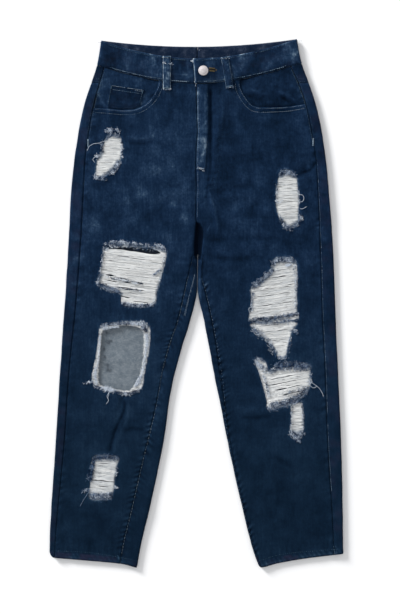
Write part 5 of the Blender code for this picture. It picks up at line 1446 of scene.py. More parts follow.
def strip(x0, y0, x1, y1, width, parts):
    length = hypot(x1 - x0, y1 - y0)
    nx, ny = -(y1 - y0) / length * width / 2, (x1 - x0) / length * width / 2
    left = [(x0 + (x1 - x0) * i / parts + nx, y0 + (y1 - y0) * i / parts + ny) for i in range(parts + 1)]
    right = [(a - 2 * nx, b - 2 * ny) for a, b in left]
    foot = [(left[-1][0] - 2 * nx * t, left[-1][1] - 2 * ny * t) for t in (0.25, 0.5, 0.75)]
    head = [(left[0][0] - 2 * nx * t, left[0][1] - 2 * ny * t) for t in (0.75, 0.5, 0.25)]
    return left + foot + list(reversed(right)) + head


def loop_place(x0, y0, x1, y1, x, y):
    """Across (-1 to 1) and along (0 to 1) a belt loop."""
    lx, ly = x1 - x0, y1 - y0
    size = lx * lx + ly * ly
    return (lx * (y - y0) - ly * (x - x0)) / size ** 0.5, ((x - x0) * lx + (y - y0) * ly) / size


def loop_top(row, x, y):
    """Height of a front belt loop's face: raised in the middle, sewn down at both ends."""
    name, x0, y0, x1, y1, width, face = row
    a, t = loop_place(x0, y0, x1, y1, x, y)
    arch = 0.7 * np.sin(pi * np.clip(t, 0, 1)) - 0.5
    a = a / (width / 2)
    return (band_face(x, y) + LOOP_REST + LOOP_WALL + arch - 0.35 * np.exp(-((np.abs(a) - 0.72) / 0.12) ** 2)
            - 0.3 * np.exp(-((1 - np.abs(a)) / 0.1) ** 2) + 0.15 * noise(t * 9.0, a * 1.3, 491, 2))


def belt_loop(row):
    name, x0, y0, x1, y1, width, face = row
    outline = strip(x0, y0, x1, y1, width, 30)

    def tone(x, y):
        a, t = loop_place(x0, y0, x1, y1, x, y)
        a = np.abs(a) / (width / 2)
        ends = np.exp(-(t / 0.06) ** 2) + np.exp(-((1 - t) / 0.06) ** 2)
        wide = 0.13 if x0 < 0 else 0.03
        return (0.44 + wide + 0.22 * noise(x / 3.6, y / 4.6, 493, 3) + 0.30 * np.exp(-((1 - a) / 0.13) ** 2) + 0.14 * ends
                - 0.13 * np.exp(-((a - 0.70) / 0.1) ** 2))
    if face == "front":
        obj = plan_piece("loop_" + name[10:], outline, lambda x, y: loop_top(row, x, y), LOOP_WALL,
                         (DENIM_BAND, WRONG), (), 1.3, tone)
    else:
        height = lambda x, y: BACK_LOOP_WALL - 0.1 * np.abs(noise(x / 5.0, y / 5.0, 495, 2))
        obj = under_piece("loop_" + name[10:], outline, height, BACK_LOOP_WALL - 0.1, (DENIM_BAND, WRONG), 1.3, tone)
    return kept(obj, [name])


def under_piece(name, outline, height, wall, materials, grid, tone):
    """A piece on the back: its outer face looks down, its inner face is at height(x, y)."""
    v, f = plan_faces(outline, (), grid)
    x, y = v[:, 0], v[:, 1]
    points = np.stack([x, y, height(x, y) - wall], 1)
    chart = np.stack([-x, y], 1)
    return shell(name, points, [f[:, ::-1]], wall, materials, tone(x, y), chart, None, 0.3)


def back_pocket_line(side):
    cx, cy = POCKET_CENTRE[0 if side < 0 else 1]
    shape = ((-POCKET_TOP, 0.0), (-POCKET_LOW, -POCKET_TALL), (0.0, -POCKET_TALL - POCKET_POINT),
             (POCKET_LOW, -POCKET_TALL), (POCKET_TOP, 0.0))
    tilt = -side * POCKET_TILT
    return [(cx + a * cos(tilt) - b * sin(tilt), cy + a * sin(tilt) + b * cos(tilt)) for a, b in shape]


def back_pocket(side):
    end = "l" if side < 0 else "r"
    line = back_pocket_line(side)
    hem_line = [line[0], line[-1]]
    fine = divided(line, 2.5)

    def tone(x, y):
        d = edge_distance(line, x, y)
        t = 0.46 + 0.10 * noise(x / 34.0, y / 34.0, 497 + side, 2) + 0.07 * noise(x / 9.0, y / 12.0, 499, 2)
        t += 0.16 * np.exp(-(d / 1.6) ** 2) - 0.09 * np.exp(-((d - 3.0) / 1.0) ** 2)
        h = np.abs(along(hem_line, x, y)[0])
        return t + 0.12 * np.exp(-(h / 1.8) ** 2) - 0.08 * np.exp(-((h - 13.0) / 1.2) ** 2)
    height = lambda x, y: BACK_POCKET_WALL + 0.0 * x

    def low(x, y):
        d = edge_distance(line, x, y)
        return BACK_POCKET_WALL + 0.22 * smooth(d / 8.0) * (0.5 + 0.5 * noise(x / 22.0, y / 18.0, 501 + side, 2))
    obj = under_piece("pocket_back_" + end, fine, low, BACK_POCKET_WALL - 0.05, (DENIM, WRONG), 3.0, tone)
    return kept(obj, ["back_pocket_" + end])


for SIDE, END in ((-1, "l"), (1, "r")):
    front_panel(SIDE)
    back_panel(SIDE)
    side_band(SIDE, "denim_yoke_" + END, lambda x, f: yoke_seam(x, f) + SEAM / 2,
              lambda x, f: waist_seam(x, f) - SEAM / 2, 12, WALL, (DENIM_DARK, WRONG),
              end=lambda y, s=SIDE: side_of("seam", s, y) + s * SEAM / 2, tone=yoke_tone,
              node="yoke_" + END, seed=20 + SIDE)
    pocket_facing(SIDE)
    back_pocket(SIDE)
side_band(-1, "band_l", lambda x, f: waist_seam(x, f) + SEAM / 2, waist_top, 18, BAND_WALL,
          (DENIM_BAND, BAND_INSIDE), BAND_STEP, lambda y: 22.0 + 0.0 * y, None, band_tone(-1),
          "waistband_l", 2.4, 3)
side_band(1, "band_r", lambda x, f: waist_seam(x, f) + SEAM / 2, waist_top, 18, BAND_WALL,
          (DENIM_BAND, BAND_INSIDE), BAND_STEP, lambda y: -5.6 + (y - 421.0) * -0.085, lap_height, band_tone(1),
          "waistband_r", 2.4, 5)
coin_pocket()
fly()
for ROW in LOOPS:
    belt_loop(ROW)


# ------------------------------------------------- threads, rips and fray
class Bundle:
    """Round threads gathered into one mesh. A path is a row of points; all paths of a call have equally many."""

    def __init__(self):
        self.verts, self.quads, self.caps, self.dye, self.count = [], [], {}, [], 0

    def rings(self, paths, radius, sides):
        """The corners of a thread's cross-section at each of its points."""
        run = np.gradient(paths, axis=1)
        run /= np.maximum(1e-9, np.linalg.norm(run, axis=2))[:, :, None]
        across_ = np.cross(run, np.array([0.013, 0.021, 1.0]))
        across_ /= np.maximum(1e-9, np.linalg.norm(across_, axis=2))[:, :, None]
        up = np.cross(across_, run)
        turns = [2.0 * pi * (k + 0.5) / sides for k in range(sides)]
        return np.stack([paths + (across_ * cos(a) + up * sin(a)) * radius[:, :, None] for a in turns], 2)

    def fibres(self, paths, radius, sides, dye):
        """Fine threads that end in points, which takes fewer faces."""
        m, n, _ = paths.shape
        radius = np.broadcast_to(np.asarray(radius, float), (m, n))
        inner = self.rings(paths, radius, sides)[:, 1:-1].reshape(m, -1, 3)
        self.verts.append(np.concatenate([paths[:, :1], inner, paths[:, -1:]], 1).reshape(-1, 3))
        size = (n - 2) * sides + 2
        first = self.count + np.arange(m) * size
        base = first[:, None] + 1 + (np.arange(n - 3) * sides)[None, :]
        for k in range(sides):
            j = (k + 1) % sides
            self.quads.append(np.stack([base + k, base + j, base + sides + j, base + sides + k], 2).reshape(-1, 4))
            end = first + size - 1 - sides
            self.caps.setdefault(3, []).append(np.stack([first, first + 1 + j, first + 1 + k], 1))
            self.caps[3].append(np.stack([end + k, end + j, first + size - 1], 1))
        self.dye.append(np.repeat(np.asarray(dye, float), size))
        self.count += m * size

    def add(self, paths, radius, sides=4, dye=0.1, taper=0.35):
        paths = np.asarray(paths, float)
        if not len(paths):
            return
        m, n, _ = paths.shape
        radius = np.broadcast_to(np.asarray(radius, float), (m, n)).copy()
        radius[:, 0] *= taper
        radius[:, -1] *= taper
        self.verts.append(self.rings(paths, radius, sides).reshape(-1, 3))
        base = self.count + (np.arange(m) * n * sides)[:, None] + (np.arange(n - 1) * sides)[None, :]
        for k in range(sides):
            j = (k + 1) % sides
            self.quads.append(np.stack([base + k, base + j, base + sides + j, base + sides + k], 2).reshape(-1, 4))
        first = self.count + np.arange(m) * n * sides
        last = first + (n - 1) * sides
        ring = np.arange(sides)
        self.caps.setdefault(sides, []).append(first[:, None] + ring[None, ::-1])
        self.caps[sides].append(last[:, None] + ring[None, :])
        dye = np.asarray(dye, float)
        dye = dye[:, None] if dye.ndim == 1 else dye
        self.dye.append(np.repeat(np.broadcast_to(dye, (m, n)).reshape(-1), sides))
        self.count += m * n * sides

    def made(self, name, materials):
        polys = [np.concatenate(self.quads)] + [np.concatenate(c) for c in self.caps.values()]
        return mesh_piece(name, np.concatenate(self.verts), polys, materials, data={"dye": np.concatenate(self.dye)})


def crossings(poly, grain, v):
    """Where the lines at v, in a frame turned by grain, enter and leave an outline: first and last."""
    p = np.array(list(poly) + [poly[0]], float)
    u0, v0 = p[:, 0] * cos(grain) + p[:, 1] * sin(grain), -p[:, 0] * sin(grain) + p[:, 1] * cos(grain)
    low, high = np.full(len(v), 1e9), np.full(len(v), -1e9)
    for i in range(len(p) - 1):
        a, b = v0[i], v0[i + 1]
        hit = (a > v) != (b > v)
        u = u0[i] + (u0[i + 1] - u0[i]) * (v - a) / (b - a if b != a else 1.0)
        low, high = np.where(hit, np.minimum(low, u), low), np.where(hit, np.maximum(high, u), high)
    return low, high


def wefts(bundle, outline, grain, seed, slits=(), pitch=0.80, radius=0.41, gap=None, dashes=10, sag=0.7,
          cover=(2.0, 2.0), under=False, shade=0.0):
    """The bare weft that still crosses a rip, spread and bunched, with slits between its threads."""
    rng = np.random.RandomState(seed)
    p = np.array(outline, float)
    points = 8 if gap is not None else int(np.clip(np.ptp(p[:, 0]) / 4.8, 9, 21))
    vs = -p[:, 0] * sin(grain) + p[:, 1] * cos(grain)
    v = np.arange(vs.min() + 0.4, vs.max() - 0.3, pitch)
    v = v + rng.uniform(-0.12, 0.12, len(v))
    low, high = crossings(outline, grain, v)
    slits = list(slits)
    for _ in range(dashes):
        k = rng.randint(len(v))
        size = rng.uniform(4.0, 11.0)
        start = low[k] + (high[k] - low[k] - size) * rng.uniform(0.05, 0.9)
        c, s = cos(grain), sin(grain)
        slits.append(([(start * c - v[k] * s, start * s + v[k] * c),
                       ((start + size) * c - v[k] * s, (start + size) * s + v[k] * c)], rng.uniform(0.7, 1.3)))
    spans = []
    if gap is not None:
        g0, g1 = crossings(gap, grain, v)
        for k in range(len(v)):
            if g0[k] < 1e8:
                spans.append((v[k], low[k] - 2.0, g0[k] + rng.uniform(-1.6, 1.4)))
                spans.append((v[k], g1[k] + rng.uniform(-1.4, 1.6), high[k] + 2.0))
            else:
                spans.append((v[k], low[k] - 2.0, high[k] + 2.0))
    else:
        spans = [(v[k], low[k] - 2.0, high[k] + 2.0) for k in range(len(v))]
    spans = [q for q in spans if q[2] - q[1] > 3.0]
    if not spans:
        return
    spans = np.array(spans)
    t = np.linspace(0.0, 1.0, points)[None, :]
    u = spans[:, 1:2] + (spans[:, 2:3] - spans[:, 1:2]) * t
    w = np.repeat(spans[:, 0:1], points, 1)
    base = w.copy()
    hold = smooth((u - spans[:, 1:2]) / 7.0) * smooth((spans[:, 2:3] - u) / 7.0)
    if gap is not None:
        hold = 0.35 + 0.65 * hold
    w = w + hold * (0.95 * noise(u / 17.0, base / 3.6, seed + 1, 2) + 0.30 * noise(u / 5.0, base / 0.9, seed + 2))
    c, s = cos(grain), sin(grain)
    for line, width in slits:
        q = np.array(line, float)
        lu, lv = q[:, 0] * c + q[:, 1] * s, -q[:, 0] * s + q[:, 1] * c
        order = np.argsort(lu)
        mid = np.interp(u, lu[order], lv[order]) + 0.5 * noise(u / 4.0, seed, seed + 7)
        size = width[0] + (width[1] - width[0]) * (u - lu.min()) / max(1.0, np.ptp(lu)) if hasattr(width, "__len__") \
            else width * np.ones(u.shape)
        size = size * (0.95 + 0.45 * noise(u / 6.5, seed + width[0] if hasattr(width, "__len__") else seed, seed + 8))
        here = smooth((u - lu.min() + 2.5) / 5.0) * smooth((lu.max() + 2.5 - u) / 5.0)
        # a thread keeps to one side of a slit, pressed against its neighbours
        side = np.where(base > float(np.mean(lv)), 1.0, -1.0)
        half = 0.5 * np.maximum(0.0, size) * here
        reach = 2.4 * half + 1.5
        d = (w - mid) * side
        close = half + np.maximum(0.0, d) * (1.0 - half / reach)
        w = w + side * here * np.where(d < reach, close - d, 0.0)
    x, y = u * c - w * s, u * s + w * c
    lay = rng.uniform(-0.22, 0.22, len(spans))[:, None]
    z = top(x, y) - 0.62 + lay - sag * hold * (0.6 + 0.5 * noise(u / 20.0, w / 14.0, seed + 3)) + 0.15 * noise(
        u / 3.0, base * 2.0, seed + 4)
    if gap is not None:
        z = z + 0.4 * (1 - hold)
    dye = np.clip(0.05 + shade + 0.10 * rng.uniform(-1, 1, len(spans))[:, None] + 0.16 * noise(u / 7.0, w / 3.0, seed + 5, 2)
                  + 0.30 * (1.0 - smooth((u - spans[:, 1:2] - 1.5) / 2.0))
                  + 0.30 * (1.0 - smooth((spans[:, 2:3] - u - 1.5) / 2.0)), 0.0, 1.0)
    if gap is not None:
        dye = np.clip(dye - 0.25, 0.0, 0.4)
    if max(cover) > 0.5:
        # where the fringe of the warp covers them, the weft is still dyed
        p = np.array(divided(list(outline), 2.0))
        run = np.roll(p, -1, 0) - p
        run /= np.maximum(1e-9, np.hypot(*run.T))[:, None]
        for sign, deep in ((1.0, cover[0]), (-1.0, cover[1])):
            area = float(np.sum(p[:, 0] * np.roll(p[:, 1], -1) - np.roll(p[:, 0], -1) * p[:, 1]))
            up = -run[:, 0] * (1.0 if area > 0 else -1.0)
            edge = p[up * sign > 0.45]
            if len(edge) and deep > 0.5:
                d = np.hypot(x[..., None] - edge[:, 0], y[..., None] - edge[:, 1]).min(-1)
                d = d + 0.9 * noise(x / 2.4, y / 2.4, seed + 11, 2)
                dye = np.maximum(dye, (0.85 + 0.2 * noise(x / 2.0, y / 2.0, seed + 12)) * (1.0 - smooth((d - deep * 0.62) / (deep * 0.45))))
        dye = np.clip(dye, 0.0, 1.0)
    thick = radius * (1.0 + 0.16 * noise(u / 2.2, base * 3.0, seed + 6))
    bundle.add(np.stack([x, y, z], 2), thick, 4, dye)
    if under:
        # a second layer shows in the narrow gaps between the first one's threads
        shift = 0.5 * pitch
        x2, y2 = x - s * shift, y + c * shift
        few = np.arange(0, points, 2) if points % 2 else np.append(np.arange(0, points - 1, 2), points - 1)
        bundle.add(np.stack([x2, y2, z - 0.42], 2)[:, few], thick[:, few] * 0.95, 3,
                   np.clip(dye + 0.10, 0.0, 1.0)[:, few])


def curls(bundle, where, toward, size, seed, dye, radius=0.21, turn=0.9, lift_=0.35, steps=5, sides=3, height=top):
    """Short curly fibres: where they start, the way they set off, how long they are."""
    rng = np.random.RandomState(seed)
    m = len(where)
    size = np.broadcast_to(size, (m,)) * rng.uniform(0.6, 1.3, m)
    head = toward + rng.normal(0.0, 0.75, m)
    bend = rng.normal(0.0, turn, m)
    x, y = where[:, 0].copy(), where[:, 1].copy()
    xs, ys = [x.copy()], [y.copy()]
    for k in range(steps - 1):
        head = head + bend * 0.69 + rng.normal(0.0, 0.33, m)
        x = x + np.cos(head) * size / (steps - 1)
        y = y + np.sin(head) * size / (steps - 1)
        xs.append(x.copy())
        ys.append(y.copy())
    x, y = np.stack(xs, 1), np.stack(ys, 1)
    t = np.linspace(0.0, 1.0, steps)[None, :]
    rise = lift_ * rng.uniform(0.2, 1.6, m)[:, None] * np.sin(pi * np.clip(t * 0.8 + 0.08, 0, 1)) + 0.10
    z = height(x, y) + rise - 0.5 * np.exp(-(t / 0.12) ** 2)
    bundle.fibres(np.stack([x, y, z], 2), radius * rng.uniform(0.7, 1.35, m)[:, None], sides, dye)


def clumped(x, y, seed, middle, spread):
    """Fibres lie in clumps: pale ones and dyed ones side by side."""
    clump = noise(x / 2.6, y / 2.6, seed, 2) + 0.25 * noise(x / 9.0, y / 9.0, seed + 1)
    return np.clip(middle + spread * (2.0 * smooth((clump + 0.22) / 0.44) - 1.0), 0.0, 1.0)


def fringe(bundle, outline, seed, ends=(2.6, 9.0), sides_=(0.9, 1.2), closed=True, dye=(0.5, 0.30), inward=(2.0, 2.0)):
    """Fray round a rip: deep where warp ends stand (top and bottom), short along its sides."""
    rng = np.random.RandomState(seed)
    p = np.array(list(outline) + ([outline[0]] if closed else []), float)
    step = np.hypot(*np.diff(p, axis=0).T)
    s = np.concatenate([[0.0], np.cumsum(step)])
    area = float(np.sum(p[:-1, 0] * p[1:, 1] - p[1:, 0] * p[:-1, 1]))
    n = int(s[-1] * ends[0])
    at = rng.uniform(0.0, s[-1], n)
    i = np.clip(np.searchsorted(s, at) - 1, 0, len(step) - 1)
    f = (at - s[i]) / np.maximum(1e-9, step[i])
    base = p[i] * (1 - f)[:, None] + p[i + 1] * f[:, None]
    run = (p[i + 1] - p[i]) / np.maximum(1e-9, step[i])[:, None]
    out = np.stack([run[:, 1], -run[:, 0]], 1) * (1.0 if area > 0 else -1.0)
    vertical = np.clip((np.abs(out[:, 1]) - 0.35) / 0.45, 0.0, 1.0)
    keep = rng.uniform(0, 1, n) < (sides_[0] / ends[0]) * (1 - vertical) + vertical
    patch = 0.75 + 0.5 * noise(at / 8.0, seed, seed + 3, 2)
    keep &= rng.uniform(0, 1, n) < patch + 0.25
    base, out, vertical, at = base[keep], out[keep], vertical[keep], at[keep]
    n = len(base)
    deep = (sides_[1] + (ends[1] - sides_[1]) * vertical) * (0.75 + 0.45 * noise(at / 10.0, seed, seed + 4, 2))
    cover = np.where(out[:, 1] > 0, inward[0], inward[1])
    within = rng.uniform(0.0, 1.0, n) < cover / (cover + deep) * (0.4 + 0.6 * vertical)
    off = np.where(within, -cover * rng.uniform(0.0, 1.0, n) * vertical - 0.8 * rng.uniform(0.0, 1.0, n),
                   deep * rng.uniform(0.0, 1.0, n) ** 1.4)
    where = base + out * off[:, None]
    back = rng.uniform(0, 1, n) < np.where(vertical > 0.4, 0.55, 0.8)
    toward = np.arctan2(out[:, 1], out[:, 0]) + np.where(back, pi, 0.0)
    size = 2.0 + 1.8 * vertical
    shade = clumped(where[:, 0], where[:, 1], seed + 7, dye[0], dye[1])
    shade = np.clip(shade + 0.10 * rng.normal(0.0, 1.0, n) + 0.10 * (off / np.maximum(1.0, deep)), 0.0, 1.0)
    curls(bundle, where, toward, size, seed + 1, shade)


def tuft(bundle, line, width, count, size, seed, dye=(0.15, 0.12), radius=0.26, toward=None, height=top):
    """A tuft of fibres scattered along a line."""
    rng = np.random.RandomState(seed)
    p = np.array(line, float)
    step = np.hypot(*np.diff(p, axis=0).T)
    s = np.concatenate([[0.0], np.cumsum(step)])
    at = rng.uniform(0.0, s[-1], count)
    x, y = np.interp(at, s, p[:, 0]), np.interp(at, s, p[:, 1])
    where = np.stack([x, y], 1) + rng.normal(0.0, width / 3.0, (count, 2))
    way = rng.uniform(-pi, pi, count) if toward is None else toward + rng.normal(0.0, 0.5, count)
    shade = clumped(where[:, 0], where[:, 1], seed + 5, dye[0], dye[1] * 1.5)
    curls(bundle, where, way, size * 0.72, seed + 1, np.clip(shade + 0.08 * rng.normal(0, 1, count), 0, 1), radius,
          lift_=0.6, height=height)


def loose(bundle, line, radius=0.33, dye=0.05, high=0.8, seed=0):
    """One loose thread lying over the cloth."""
    q = np.array(rounded(line, 1.2, False))
    t = np.linspace(0.0, 1.0, len(q))
    inside_ = (q[:, 0] > AT["out_l"](q[:, 1]) + 3) & (q[:, 0] < AT["out_r"](q[:, 1]) - 3)
    z = np.where(inside_, top(q[:, 0], q[:, 1]), 4.0) + high * (0.6 + 0.5 * noise(t * 4.0, seed, 601 + seed))
    q = q + np.stack([noise(t * 6.0, 1.0, 603 + seed, 2), noise(t * 6.0, 2.0, 605 + seed, 2)], 1) * 0.5
    bundle.add(np.stack([q[:, 0], q[:, 1], z], 1)[None], radius, 6, dye)


